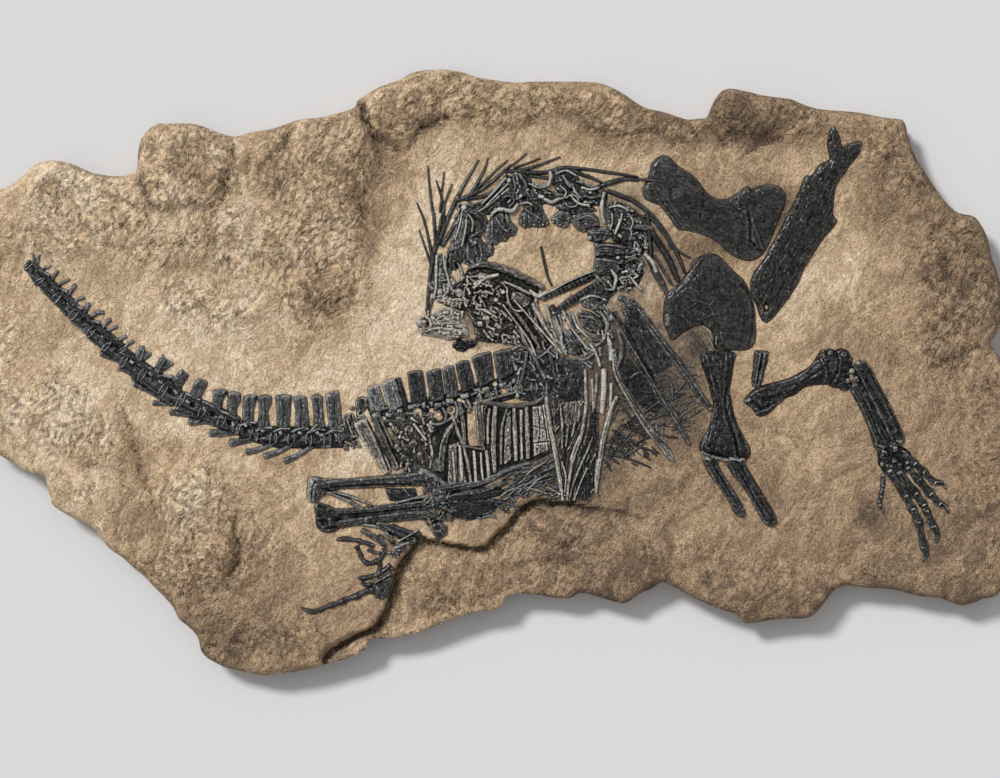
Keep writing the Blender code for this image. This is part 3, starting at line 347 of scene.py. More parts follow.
def worn_height(x, y):
    """Height of the top in mm over the bed. Swells are domes joined by a soft maximum, the cube root
    of the sum of cubes; clefts are bell-shaped grooves along paths; the lower layer drops behind
    the ledge; grain and chips roughen what isn't bed; near the outline the top rounds down like a
    quarter circle. Returns the height, the roughness mask and the distance to the outline."""
    wander = 9.0 * rough(x, y, 64.0, 11, 4)
    drift = 9.0 * rough(x, y, 64.0, 17, 4)
    total = np.zeros_like(x)
    for cx, cy, long, wide, turn, high, sharp in SWELLS:
        c, s = math.cos(math.radians(turn)), math.sin(math.radians(turn))
        u = ((x + wander - cx) * c + (y + drift - cy) * s) / long
        v = (-(x + wander - cx) * s + (y + drift - cy) * c) / wide
        total += (high * np.exp(-0.9 * (u * u + v * v) ** sharp)) ** 3
    swell = np.cbrt(total)
    border = step(2.0, 9.0, swell + 2.6 * rough(x, y, 36.0, 5, 4))
    border = np.maximum(border, np.minimum(blobs(x + wander, y + drift, RUGGED), 1.0))
    height = swell * 1.0
    jag = 2.2 * rough(x, y, 16.0, 23, 3)
    ledge = curve(LEDGE, 3)
    distance, _, _, _, _ = nearest(x + LEDGE_JAG * jag, y + LEDGE_JAG * jag, ledge)
    low = inside(x + LEDGE_JAG * jag, y + LEDGE_JAG * jag, np.array(LOWER_LAYER, float))
    fade = step(LEDGE_ENDS, LEDGE_FULL, x)
    drop = np.where(low, step(0.0, 2.2, distance), 0.0) * (5.0 + 8.0 * step(600.0, 500.0, x)) * fade
    drop += np.where(low, 6.0 * np.exp(-distance / 9.0), 0.0) * fade
    border = np.maximum(border, np.where(low, (0.45 + 0.4 * rough(x, y, 40.0, 29, 3)) * fade, 0.0))
    height -= drop
    for path, width, depth, reach in CLEFTS:
        line = curve(path, 6)
        box = (line[:, 0].min() - 40, line[:, 0].max() + 40, line[:, 1].min() - 40, line[:, 1].max() + 40)
        spot = (x > box[0]) & (x < box[1]) & (y > box[2]) & (y < box[3])
        near, _, span, _, across = nearest(x[spot] + jag[spot] * 0.7, y[spot] + jag[spot] * 0.7, line)
        run = np.abs((span + 0.5) / (len(line) - 1) * 2.0 - 1.0)
        cut = depth * np.exp(-(near / width) ** 2)
        if reach:
            cut = np.maximum(cut, np.where(across < 0, 0.8 * depth * np.exp(-near / reach), 0.0))
        height[spot] -= cut * (1.0 - run ** 3)
    height += border * (1.6 * rough(x, y, 34.0, 31, 3) + 1.5 * chips(x + wander, y + drift, 24.0, 41)
                        + 0.85 * chips(x + 0.4 * drift, y + 0.4 * wander, 9.0, 43) + 0.5 * rough(x, y, 8.0,
                            47, 2))
    height += (1.0 - border) * (0.5 * rough(x, y, 70.0, 53, 4) + 0.22 * chips(x + wander, y + drift, 26.0, 57)
                                + 0.10 * rough(x, y, 8.0, 59, 2))
    outline = np.array(OUTLINE, float)
    edge, _, _, _, _ = nearest(x, y, np.vstack([outline, outline[:1]]))
    round_off = 5.0 + 1.5 * rough(x, y, 60.0, 61, 2)
    share = np.clip(edge / round_off, 0.0, 1.0)
    arch = np.sqrt(np.clip(1.0 - (1.0 - share) ** 2, 0.0, 1.0))
    height = EDGE_LEVEL + (height - EDGE_LEVEL) * arch + (1.0 - arch) * 0.6 * rough(x, y, 12.0, 67, 2)
    return height, border, edge


def set_attribute(mesh, name, values):
    """Store one number for each vertex under a name that the material reads."""
    mesh.attributes.new(name, "FLOAT", "POINT").data.foreach_set("value", values.astype(np.float32))


def mesh_of_quads(name, places, quads):
    """Smooth mesh of four-sided faces from an array of places and an array of corner numbers."""
    mesh = bpy.data.meshes.new(name)
    mesh.vertices.add(len(places))
    mesh.vertices.foreach_set("co", np.asarray(places, np.float32).ravel())
    mesh.loops.add(quads.size)
    mesh.loops.foreach_set("vertex_index", quads.astype(np.int32).ravel())
    mesh.polygons.add(len(quads))
    mesh.polygons.foreach_set("loop_start", np.arange(0, quads.size, 4, dtype=np.int32))
    mesh.polygons.foreach_set("use_smooth", np.ones(len(quads), bool))
    mesh.update(calc_edges=True)
    return mesh


def cells_and_rim(keep):
    """Corner numbers of every kept cell of a grid, and the directed edges around the kept area.
    An edge belongs to the rim where the cell on its other side isn't kept."""
    rows, columns = keep.shape
    number = np.arange((rows + 1) * (columns + 1)).reshape(rows + 1, columns + 1)
    a, b = number[:-1, :-1], number[:-1, 1:]
    c, d = number[1:, 1:], number[1:, :-1]
    quads = np.stack([a, b, c, d], -1)[keep]
    around = np.pad(keep, 1)
    rim = []
    for first, second, di, dj in ((a, b, -1, 0), (b, c, 0, 1), (c, d, 1, 0), (d, a, 0, -1)):
        open_side = keep & ~around[1 + di:rows + 1 + di, 1 + dj:columns + 1 + dj]
        rim.append(np.stack([first[open_side], second[open_side]], -1))
    return quads, np.vstack(rim)


def rock_slab():
    """Slab mesh: a square grid of worn heights trimmed to the outline, whose rim is drawn onto the
    outline, walls of layered rings down from the rim, and one flat face that closes the back."""
    x, y = np.meshgrid(np.arange(*GRID_X, ROCK_STEP), np.arange(*GRID_Y, ROCK_STEP))
    outline = np.array(OUTLINE, float)
    ring = np.clip(curve(OUTLINE, 3, closed=True), outline.min(0), outline.max(0))
    closed_ring = np.vstack([ring, ring[:1]])
    height, border, edge = worn_height(x, y)
    within = inside(x, y, ring) & (edge > 0.5 * ROCK_STEP)
    keep = within[:-1, :-1] & within[:-1, 1:] & within[1:, :-1] & within[1:, 1:]
    quads, rim = cells_and_rim(keep)
    on_rim = np.unique(rim)
    px, py = x.ravel().copy(), y.ravel().copy()
    _, share, span, _, _ = nearest(px[on_rim], py[on_rim], closed_ring)
    spot = closed_ring[span] + (closed_ring[span + 1] - closed_ring[span]) * share[:, None]
    px[on_rim], py[on_rim] = spot[:, 0], spot[:, 1]
    level = height.ravel().copy()
    level[on_rim] = EDGE_LEVEL + 0.8 * rough(px[on_rim], py[on_rim], 18.0, 71, 3)
    edges = closed_ring[span + 1] - closed_ring[span]
    normal = np.column_stack([edges[:, 1], -edges[:, 0]]) / np.hypot(edges[:, 0], edges[:, 1])[:, None]
    tops = np.column_stack([*plan(px, py), BED + level * 0.001])
    soft = box_mean(height, 6)
    fine = box_mean(height, 2)
    # crest: height over the blurred height; the limestone paints crests lighter and creases darker with it
    crest = (height - fine) * 0.9 + (height - soft) * 0.25
    used = np.unique(quads)
    renumber = np.full(len(tops), -1)
    renumber[used] = np.arange(len(used))
    places = [tops[used]]
    shift = 7.0 * rough(x, y, 40.0, 101, 3)
    crest *= step(1.0, 7.0, edge)
    shade = 0.30 + blobs(x + shift, y - shift, SHADES)
    stain_and_shadow = blobs(x + 0.5 * shift, y - 0.5 * shift, STAINS_AND_SHADOW)
    masks = {"border": border.ravel()[used], "crest": crest.ravel()[used],
             "shade": shade.ravel()[used], "stain_and_shadow": stain_and_shadow.ravel()[used]}
    rows = len(used)
    faces = [renumber[quads][:, ::-1]]
    wall_edges = renumber[rim]
    position = np.full(rows, -1)
    position[renumber[on_rim]] = np.arange(len(on_rim))
    above = renumber[on_rim]
    start = rows
    for ring_number, low in enumerate(SIDE_RINGS):
        layer = 1.2 * rough(px[on_rim], py[on_rim] + 40.0 * ring_number, 20.0, 83, 3)
        bed_line = 1.5 * math.sin(ring_number * 2.3) + 0.9 * (ring_number % 2)
        inset = np.maximum(0.2, 1.4 + bed_line + layer + 0.10 * (-16.0 - low))
        wall_x = px[on_rim] - normal[:, 0] * inset
        wall_y = py[on_rim] - normal[:, 1] * inset
        wobble = 0.0 if low == SIDE_RINGS[-1] else 0.5 * grain(px[on_rim], py[on_rim], 25.0, 91)
        places.append(np.column_stack([*plan(wall_x, wall_y),
                                       np.full(len(on_rim), BED) + (low + wobble) * 0.001]))
        here = start + np.arange(len(on_rim))
        upper = above[position[wall_edges]]
        lower = here[position[wall_edges]]
        faces.append(np.column_stack([upper[:, 0], upper[:, 1], lower[:, 1], lower[:, 0]]))
        above = here
        start += len(on_rim)
        for name, value in (("border", 1.0), ("crest", 0.0), ("shade", 0.5), ("stain_and_shadow", 0.0)):
            masks[name] = np.concatenate([masks[name], np.full(len(on_rim), value)])
    mesh = mesh_of_quads("rock_slab", np.vstack(places), np.vstack(faces))
    for name, values in masks.items():
        set_attribute(mesh, name, values)
    body = bmesh.new()
    body.from_mesh(mesh)
    body.edges.ensure_lookup_table()
    bmesh.ops.edgeloop_fill(body, edges=[edge for edge in body.edges if edge.is_boundary])
    bmesh.ops.recalc_face_normals(body, faces=body.faces)
    body.to_mesh(mesh)
    body.free()
    slab = bpy.data.objects.new("limestone_slab", mesh)
    bpy.context.scene.collection.objects.link(slab)
    return slab


def place_node(tree, kind, settings=None, **inputs):
    """Add a shader node, set its own settings, and link or set each named input."""
    made = tree.nodes.new(kind)
    for name, value in (settings or {}).items():
        setattr(made, name, value)
    for name, value in inputs.items():
        socket = made.inputs[int(name[1:])] if name[1:].isdigit() else made.inputs[name.replace("_", " ")]
        if isinstance(value, bpy.types.NodeSocket):
            tree.links.new(value, socket)
        else:
            socket.default_value = value
    return made


def ramp(tree, factor, stops):
    """Colour ramp through (position, colour) stops."""
    made = place_node(tree, "ShaderNodeValToRGB", None, Fac=factor)
    elements = made.color_ramp.elements
    while len(elements) < len(stops):
        elements.new(0.5)
    for element, (position, colour) in zip(elements, stops):
        element.position = position
        element.color = (*colour, 1.0)
    return made.outputs["Color"]


def sum_of(tree, first, second, scale=1.0):
    """first times scale plus second."""
    return place_node(tree, "ShaderNodeMath", {"operation": "MULTIPLY_ADD"},
                      i0=first, i1=scale, i2=second).outputs[0]


def noise_at(tree, where, scale, detail=4.0, roughness=0.6, distortion=0.0):
    """Noise value at a place, in 0..1."""
    return place_node(tree, "ShaderNodeTexNoise", None, Vector=where, Scale=scale, Detail=detail,
                      Roughness=roughness, Distortion=distortion).outputs["Fac"]


def blend(tree, kind, factor, first, second):
    """Mix of two colours by a factor."""
    made = place_node(tree, "ShaderNodeMix", {"data_type": "RGBA", "blend_type": kind})
    for socket, value in zip((made.inputs[0], made.inputs[6], made.inputs[7]), (factor, first, second)):
        if isinstance(value, bpy.types.NodeSocket):
            tree.links.new(value, socket)
        else:
            socket.default_value = value
    return made.outputs[2]


def between(tree, value, low, high):
    """Value mapped so that low gives 0 and high gives 1, clamped."""
    return place_node(tree, "ShaderNodeMapRange", None, Value=value, i1=low, i2=high).outputs[0]


def new_material(name):
    """Empty node material with its Principled shader, as (material, tree, shader)."""
    made = bpy.data.materials.new(name)
    made.use_nodes = True
    return made, made.node_tree, made.node_tree.nodes["Principled BSDF"]


def facets(tree, place, scale):
    """Height of broken facets: each cell's random slope times the offset from the cell's centre."""
    cell = place_node(tree, "ShaderNodeTexVoronoi", None, Vector=place, Scale=scale)
    offset = place_node(tree, "ShaderNodeVectorMath", {"operation": "SUBTRACT"},
                        i0=place, i1=cell.outputs["Position"]).outputs[0]
    slope = place_node(tree, "ShaderNodeVectorMath", {"operation": "SUBTRACT"},
                       i0=cell.outputs["Color"], i1=(0.5, 0.5, 0.5)).outputs[0]
    return place_node(tree, "ShaderNodeVectorMath", {"operation": "DOT_PRODUCT"},
                      i0=offset, i1=slope).outputs["Value"]


def swayed_by(tree, place, scale, reach):
    """Coordinates pushed by noise: its colour, 0..1 on each axis, times reach is added to the place."""
    push = place_node(tree, "ShaderNodeTexNoise", None, Vector=place, Scale=scale, Detail=4.0, Roughness=0.6)
    return place_node(tree, "ShaderNodeVectorMath", {"operation": "MULTIPLY_ADD"},
                      i0=push.outputs["Color"], i1=(reach,) * 3, i2=place).outputs[0]


def gained(tree, colour, gain):
    """Colour made lighter or darker: each channel times the gain."""
    return place_node(tree, "ShaderNodeVectorMath", {"operation": "SCALE"}, i0=colour, Scale=gain).outputs[0]


limestone, tree, shader = new_material("limestone")
place = place_node(tree, "ShaderNodeTexCoord").outputs["Object"]
read = {name: place_node(tree, "ShaderNodeAttribute", {"attribute_name": name}).outputs["Fac"]
        for name in ("border", "crest", "shade", "stain_and_shadow")}
turned = place_node(tree, "ShaderNodeMapping", {"vector_type": "TEXTURE"},
                    Vector=swayed_by(tree, place, 12.0, 0.035),
                    Rotation=(0.0, 0.0, 1.0), Scale=(1.25, 0.75, 1.0)).outputs[0]
swayed = swayed_by(tree, turned, 120.0, 0.0035)
coarse, fine = facets(tree, swayed, 105.0), facets(tree, swayed, 310.0)
cloud = noise_at(tree, place, 15.0, 6.0, 0.62, 1.4)
streak = noise_at(tree, turned, 60.0, 8.0, 0.70, 1.2)
mottle = noise_at(tree, turned, 150.0, 5.0, 0.70, 1.0)
speck = noise_at(tree, turned, 330.0, 3.0, 0.72)
grit = between(tree, noise_at(tree, place, 640.0, 2.0, 0.8), 0.36, 0.64)
patches = between(tree, noise_at(tree, turned, 24.0, 6.0, 0.62, 1.6), 0.46, 0.55)
wisp = place_node(tree, "ShaderNodeMath", {"operation": "ABSOLUTE"}, i0=sum_of(
    tree, noise_at(tree, turned, 16.0, 5.0, 0.58, 1.8), -0.5, 1.0)).outputs[0]
wisp = place_node(tree, "ShaderNodeMath", {"operation": "MULTIPLY"}, i0=between(tree, wisp, 0.010, 0.001),
                  i1=between(tree, cloud, 0.46, 0.60)).outputs[0]
value = sum_of(tree, cloud, sum_of(tree, streak, sum_of(tree, mottle, sum_of(tree, patches, sum_of(
    tree, read["shade"], -0.49, 1.0), 0.19), 0.12), 0.26), 0.34)
rock_colour = ramp(tree, value,
                   [(0.10, (0.725, 0.578, 0.410)), (0.30, (0.570, 0.414, 0.262)),
                    (0.50, (0.403, 0.281, 0.174)),
                                 (0.72, (0.262, 0.180, 0.112)), (0.95, (0.116, 0.080, 0.052))])
ochre = between(tree, noise_at(tree, turned, 13.0, 6.0, 0.66, 1.6), 0.55, 0.75)
rock_colour = blend(tree, "MIX", sum_of(tree, ochre, 0.0, 0.30), rock_colour, (0.50, 0.345, 0.170, 1.0))
stain_and_shadow_mix = sum_of(tree, noise_at(tree, place, 110.0, 5.0, 0.75, 0.8), -0.42, 1.0)
stain_and_shadow_mix = place_node(tree, "ShaderNodeMath", {"operation": "MULTIPLY_ADD", "use_clamp": True},
                     i0=read["stain_and_shadow"], i1=1.15, i2=sum_of(tree, stain_and_shadow_mix, -0.12, 1.2)).outputs[0]
stain_and_shadow_mix = place_node(tree, "ShaderNodeMath", {"operation": "MULTIPLY", "use_clamp": True},
                     i0=stain_and_shadow_mix, i1=between(tree, read["stain_and_shadow"], 0.05, 0.5)).outputs[0]
rock_colour = blend(tree, "MIX", stain_and_shadow_mix, rock_colour, (0.075, 0.060, 0.048, 1.0))
rugged = place_node(tree, "ShaderNodeMix", None, i0=read["border"], i2=0.14, i3=0.52).outputs[0]
# Painted shade: the rock is made darker where the chip facets of its bump are low, so the chips look shaded
chip_hollow_shade = place_node(tree, "ShaderNodeMath", {"operation": "MULTIPLY"}, i0=rugged, i1=sum_of(
    tree, between(tree, sum_of(tree, fine, coarse, 0.6), -0.0012, 0.0002), -0.80, 1.0)).outputs[0]
# Painted light and shade: crests of the top are made lighter and creases darker, the deep creases darkest
painted_crease_shade = between(tree, read["crest"], -0.5, -3.2)
gain = sum_of(tree, chip_hollow_shade, sum_of(tree, between(tree, read["crest"], -1.4, 1.4), sum_of(
    tree, speck, sum_of(tree, painted_crease_shade, -0.22, -0.55), 2.35), 0.24), 1.0)
coarse_grit = place_node(tree, "ShaderNodeMath", {"operation": "MULTIPLY"}, i0=sum_of(
    tree, grit, -0.5, 1.0), i1=sum_of(tree, read["shade"], 0.32, 0.95)).outputs[0]
gain = sum_of(tree, coarse_grit, sum_of(tree, wisp, gain, 0.28), 1.0)
gain = place_node(tree, "ShaderNodeMath", {"operation": "MAXIMUM"}, i0=gain, i1=0.10).outputs[0]
tree.links.new(gained(tree, rock_colour, gain), shader.inputs["Base Color"])
shader.inputs["Roughness"].default_value = 0.85
shader.inputs["Specular IOR Level"].default_value = 0.3
lumpy = noise_at(tree, swayed, 60.0, 6.0, 0.66, 0.6)
grained = sum_of(tree, grit, 0.0, 0.00030)
smooth_relief = sum_of(tree, coarse, sum_of(tree, fine, sum_of(tree, streak, grained, 0.0036), 0.30), 0.07)
rough_relief = sum_of(tree, coarse, sum_of(tree, fine, sum_of(tree, lumpy, grained, 0.0070), 1.10), 0.55)
relief = place_node(tree, "ShaderNodeMix", None, i0=read["border"], i2=smooth_relief,
                    i3=rough_relief).outputs[0]
bump = place_node(tree, "ShaderNodeBump", None, Strength=1.0, Distance=1.0, Height=relief)
tree.links.new(bump.outputs["Normal"], shader.inputs["Normal"])

slab = rock_slab()
slab.data.materials.append(limestone)
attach(slab, "root")
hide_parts("rock_slab")

# Tail
# Vertebrae of mottled grey bone in five runs from the tip, each a waisted spool with a spine above
# and a slim chevron below it. They stay half sunk in the rock that was cleared from around them.
FOOT = -2.5                    # mm: the flat underside of every bone, sunk in the bed
SINK = -1.4                    # mm: bone lower than this lies inside the rock and isn't made
SMOOTH_FROM = 14               # points: an outline with more of them is drawn as a smooth curve


def bar(path, rise, tone=0.0):
    """Rod along (x, y, half width) places, its height in mm, and its tone from dark -1 to pale 1."""
    return "bar", np.array(path, float), rise, tone


def plate(outline, rise, edge=1.6, tone=0.0):
    """Flat bone inside an outline, its height in mm, the width of its rounded rim, and its tone."""
    return "plate", np.array(outline, float), rise, tone, edge


def lump(x, y, long, wide, turn, rise, tone=0.0):
    """Rounded knob: an ellipse with its half sizes and its turn in degrees."""
    c, s = math.cos(math.radians(turn)), math.sin(math.radians(turn))
    reach = max(long - wide, 0.01)
    return bar([(x - c * reach, y - s * reach, wide), (x, y, wide), (x + c * reach, y + s * reach, wide)],
               rise, tone)


def ridge(path, high):
    """Crest added on top of the bone along (x, y, half width) places; a groove where high is negative."""
    return "ridge", np.array(path, float), high, 0.0


def pit(x, y, size, deep):
    """Round hollow of a half width and a depth in mm."""
    return ridge([(x - 0.3, y, size), (x + 0.3, y, size)], -deep)


def spool(x0, y0, x1, y1, half, rise, tone=0.0):
    """Body of a vertebra: a waisted rod with a raised rim across each end and a hollow in its flank."""
    length = math.hypot(x1 - x0, y1 - y0)
    ux, uy = (x1 - x0) / length, (y1 - y0) / length
    nx, ny = -uy, ux
    mx, my = (x0 + x1) / 2, (y0 + y1) / 2
    parts = [bar([(x0, y0, half), (mx, my, half * 0.82), (x1, y1, half)], rise * 0.86, tone)]
    for x, y, way in ((x0 + ux, y0 + uy, 1), (x1 - ux, y1 - uy, -1)):
        parts.append(bar([(x - nx * half * 0.9, y - ny * half * 0.9, 1.1), (x + ux * way, y + uy * way, 1.5),
                          (x + nx * half * 0.9, y + ny * half * 0.9, 1.1)], rise, tone + 0.25))
    parts.append(pit(mx - nx * half * 0.25, my - ny * half * 0.25, half * 0.36, rise * 0.4))
    return parts


def jumble(outline, count, length, half, rise, seed, turns=(0.0, 180.0), tone=0.0):
    """Crowd of short broken rods at seeded random places inside an outline, turned within a range."""
    random = np.random.default_rng(seed)
    outline = np.array(outline, float)
    parts = []
    while len(parts) < count:
        x, y = random.uniform(outline.min(0), outline.max(0))
        if inside(np.array([x]), np.array([y]), outline)[0]:
            turn = math.radians(random.uniform(*turns))
            reach = length * random.uniform(0.5, 1.0) / 2
            bend = random.uniform(-0.2, 0.2) * length
            dx, dy = math.cos(turn) * reach, math.sin(turn) * reach
            wide = half * random.uniform(0.7, 1.2)
            parts.append(bar([(x - dx, y - dy, wide), (x - dy * bend / length, y + dx * bend / length,
                                                       wide * 0.8), (x + dx, y + dy, wide)],
                             rise * random.uniform(0.6, 1.0), tone + random.uniform(-0.5, 0.6)))
    return parts


def flat_list(parts):
    """One flat list from parts and lists of parts, however deep."""
    return [part for item in parts for part in (flat_list(item) if isinstance(item, list) else [item])]


def relief_of(parts, x, y):
    """Height field of a bone in mm. A rod is h(1-q^2.2)^0.62 across, with q the distance over the
    half width; a plate rises as 1-exp(-d/edge) from its outline; outside, both fall away steeply.
    A long outline is drawn as a smooth curve. The highest part wins; crests and grooves are added as
    bell shapes. Returns the height, the tone, and the places along and across the winning part."""
    height = np.full(x.shape, -9.0)
    tone, along_part, across_part = np.zeros_like(x), x * 1.0, y * 1.0
    for number, part in enumerate(parts):
        kind, path, rise, shade = part[:4]
        wide = path[:, 2].max() if kind != "plate" else 0.0
        margin = wide * (2.2 if kind == "ridge" else 1.0) + 2.5
        rows = np.where((y[:, 0] > path[:, 1].min() - margin) & (y[:, 0] < path[:, 1].max() + margin))[0]
        columns = np.where((x[0] > path[:, 0].min() - margin) & (x[0] < path[:, 0].max() + margin))[0]
        spot = np.s_[rows[0]:rows[-1] + 1, columns[0]:columns[-1] + 1]
        px, py = x[spot], y[spot]
        if kind == "plate":
            drawn = curve(path, 3, closed=True) if len(path) > SMOOTH_FROM else path
            line = np.vstack([drawn, drawn[:1]])
            distance, _, _, _, _ = nearest(px, py, line)
            depth = np.where(inside(px, py, drawn), distance, -distance) + 1.0
            level = np.where(depth > 0.0, rise * (1.0 - np.exp(-depth / part[4])), 2.4 * depth)
            axis = np.linalg.eigh(np.cov(path.T))[1][:, 1]
            u, v = px * axis[0] + py * axis[1], py * axis[0] - px * axis[1]
        else:
            line = curve(path, 5)
            distance, share, span, along, across = nearest(px, py, line)
            half = line[span, 2] + (line[span + 1, 2] - line[span, 2]) * share
            if kind == "ridge":
                cut = height[spot] + rise * np.exp(-(distance / half) ** 2)
                height[spot] = np.where(height[spot] > -0.9, np.maximum(cut, -0.8), height[spot])
                continue
            distance = np.hypot(across, 1.7 * along)
            q = distance / half
            top = rise * (0.55 + 0.45 * half / wide)
            level = np.where(q < 1.0, top * (1.0 - np.minimum(q, 1.0) ** 2.2) ** 0.62,
                             -2.4 * (distance - half))
            run = np.concatenate([[0.0], np.cumsum(np.hypot(*np.diff(line[:, :2], axis=0).T))])
            u, v = run[span] + share * (run[span + 1] - run[span]) + 31.0 * number, across
        wins = level > height[spot]
        height[spot] = np.where(wins, level, height[spot])
        tone[spot] = np.where(wins, shade, tone[spot])
        along_part[spot] = np.where(wins, u, along_part[spot])
        across_part[spot] = np.where(wins, v, across_part[spot])
    return height, tone, along_part, across_part


def bone(node, finish, parts, cell=0.62, grit=1.0):
    """Bone piece: the relief of its parts on a fine grid, roughened by fibres along each part and by
    chips, cut off where it sinks into the rock, with short walls and a flat underside."""
    parts = flat_list(parts)
    reach = [(path[:, :2].min(0) - path[:, 2:].max(initial=0.0),
              path[:, :2].max(0) + path[:, 2:].max(initial=0.0))
             for kind, path, *_ in parts if kind != "ridge"]
    low = np.min([box[0] for box in reach], axis=0) - 3.0
    high = np.max([box[1] for box in reach], axis=0) + 3.0
    x, y = np.meshgrid(np.arange(low[0], high[0], cell), np.arange(low[1], high[1], cell))
    height, tone, u, v = relief_of(parts, x, y)
    fibre = rough(u * 0.16, v * 1.1, 1.0, 7, 3)
    skin = (0.30 * fibre + 0.34 * chips(x, y, 3.4, 13) + 0.20 * rough(x, y, 2.4, 19, 2)) * grit
    height = np.where(height > -1.0, height + skin * step(-1.0, 1.0, height), height)
    keep_point = height > SINK
    keep = keep_point[:-1, :-1] | keep_point[:-1, 1:] | keep_point[1:, :-1] | keep_point[1:, 1:]
    height = np.maximum(height, SINK - 0.2)
    # crest: height over the blurred height; the skin paints crests pale as wear and glint, and hollows dark
    # as painted shade
    crest = (height - box_mean(height, 3)) * 0.8 + (height - box_mean(height, 1)) * 1.6
    quads, rim = cells_and_rim(keep)
    used = np.unique(quads)
    renumber = np.full(x.size, -1)
    renumber[used] = np.arange(len(used))
    spots = np.column_stack([*plan(x.ravel()[used], y.ravel()[used])])
    top = np.column_stack([spots, BED + height.ravel()[used] * 0.001])
    under = np.column_stack([spots, np.full(len(used), BED + FOOT * 0.001)])
    quads, rim = renumber[quads], renumber[rim]
    walls = np.column_stack([rim[:, 0], rim[:, 1], rim[:, 1] + len(used), rim[:, 0] + len(used)])
    mesh = mesh_of_quads(node + "_bone", np.vstack([top, under]),
                         np.vstack([quads[:, ::-1], quads + len(used), walls]))
    for name, field in (("tone", tone), ("crest", crest), ("along", u), ("across", v), ("level", height)):
        values = field.ravel()[used]
        set_attribute(mesh, name, np.concatenate([values, values]))
    made = bpy.data.objects.new(node + "_bone", mesh)
    bpy.context.scene.collection.objects.link(made)
    mesh.materials.append(finish)
    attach(made, "root")
    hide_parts(node)


def fossil_skin():
    """Node group of fossil bone. Its tone, plus crests made pale partly by wear and partly as a painted
    glint, plus noise, picks a colour between a dark and a pale one; hollows are darkened as painted shade;
    dust from the rock gathers low down; fibres and pits give its bump height."""
    group = bpy.data.node_groups.new("fossil_skin", "ShaderNodeTree")
    for name, kind, way in (("Dark", "NodeSocketColor", "INPUT"), ("Middle", "NodeSocketColor", "INPUT"),
                            ("Pale", "NodeSocketColor", "INPUT"), ("Wear", "NodeSocketFloat", "INPUT"),
                            ("Dust", "NodeSocketFloat", "INPUT"), ("Colour", "NodeSocketColor", "OUTPUT"),
                            ("Relief", "NodeSocketFloat", "OUTPUT"), ("Gloss", "NodeSocketFloat", "OUTPUT"),
                            ("Shine", "NodeSocketFloat", "OUTPUT")):
        group.interface.new_socket(name, in_out=way, socket_type=kind)
    given = group.nodes.new("NodeGroupInput").outputs
    result = group.nodes.new("NodeGroupOutput")
    place = place_node(group, "ShaderNodeTexCoord").outputs["Object"]
    read = {name: place_node(group, "ShaderNodeAttribute", {"attribute_name": name}).outputs["Fac"]
            for name in ("tone", "crest", "along", "across", "level")}
    thread = place_node(group, "ShaderNodeCombineXYZ", None, X=sum_of(group, read["along"], 0.0, 0.12),
                        Y=sum_of(group, read["across"], 0.0, 0.9)).outputs[0]
    fibre = noise_at(group, thread, 1.6, 4.0, 0.65)
    pits = noise_at(group, place, 900.0, 3.0, 0.7)
    chipped = facets(group, swayed_by(group, place, 260.0, 0.004), 230.0)
    cloud = noise_at(group, place, 90.0, 5.0, 0.7, 0.5)
    value = sum_of(group, read["tone"], sum_of(group, cloud, sum_of(group, fibre, sum_of(
        group, pits, -2.75, 2.40), 1.30), 1.5), 0.46)
    value = sum_of(group, chipped, value, 90.0)
    # Crests are made paler, partly as wear of the bone and partly as a painted glint
    wear_and_glint = between(group, read["crest"], 0.02, 0.80)
    value = sum_of(group, wear_and_glint, value, given["Wear"])
    bone_colour = blend(group, "MIX", between(group, value, -0.25, 0.42), given["Dark"], given["Middle"])
    bone_colour = blend(group, "MIX", between(group, value, 0.42, 1.15), bone_colour, given["Pale"])
    # Painted shade: hollows below the blurred height are darkened
    painted_hollow_shade = between(group, read["crest"], -0.05, -1.0)
    bone_colour = blend(group, "MULTIPLY", sum_of(group, painted_hollow_shade, 0.0, 0.95), bone_colour,
                        (0.10, 0.09, 0.08, 1.0))
    low = between(group, read["level"], 0.9, -0.5)
    dusty = sum_of(group, low, sum_of(group, noise_at(group, place, 160.0, 4.0, 0.7), -0.8, 1.4), 1.0)
    dusty = place_node(group, "ShaderNodeMath", {"operation": "MULTIPLY", "use_clamp": True},
                       i0=dusty, i1=given["Dust"]).outputs[0]
    bone_colour = blend(group, "MIX", dusty, bone_colour, (0.42, 0.31, 0.20, 1.0))
    group.links.new(bone_colour, result.inputs["Colour"])
    group.links.new(sum_of(group, wear_and_glint, 0.04, 0.80), result.inputs["Shine"])
    group.links.new(sum_of(group, fibre, sum_of(group, pits, sum_of(group, chipped, 0.0, 1100.0), 0.4), 0.8),
                    result.inputs["Relief"])
    group.links.new(sum_of(group, cloud, sum_of(group, wear_and_glint, 0.16, 0.10), 0.24), result.inputs["Gloss"])
    return group


skin_group = fossil_skin()


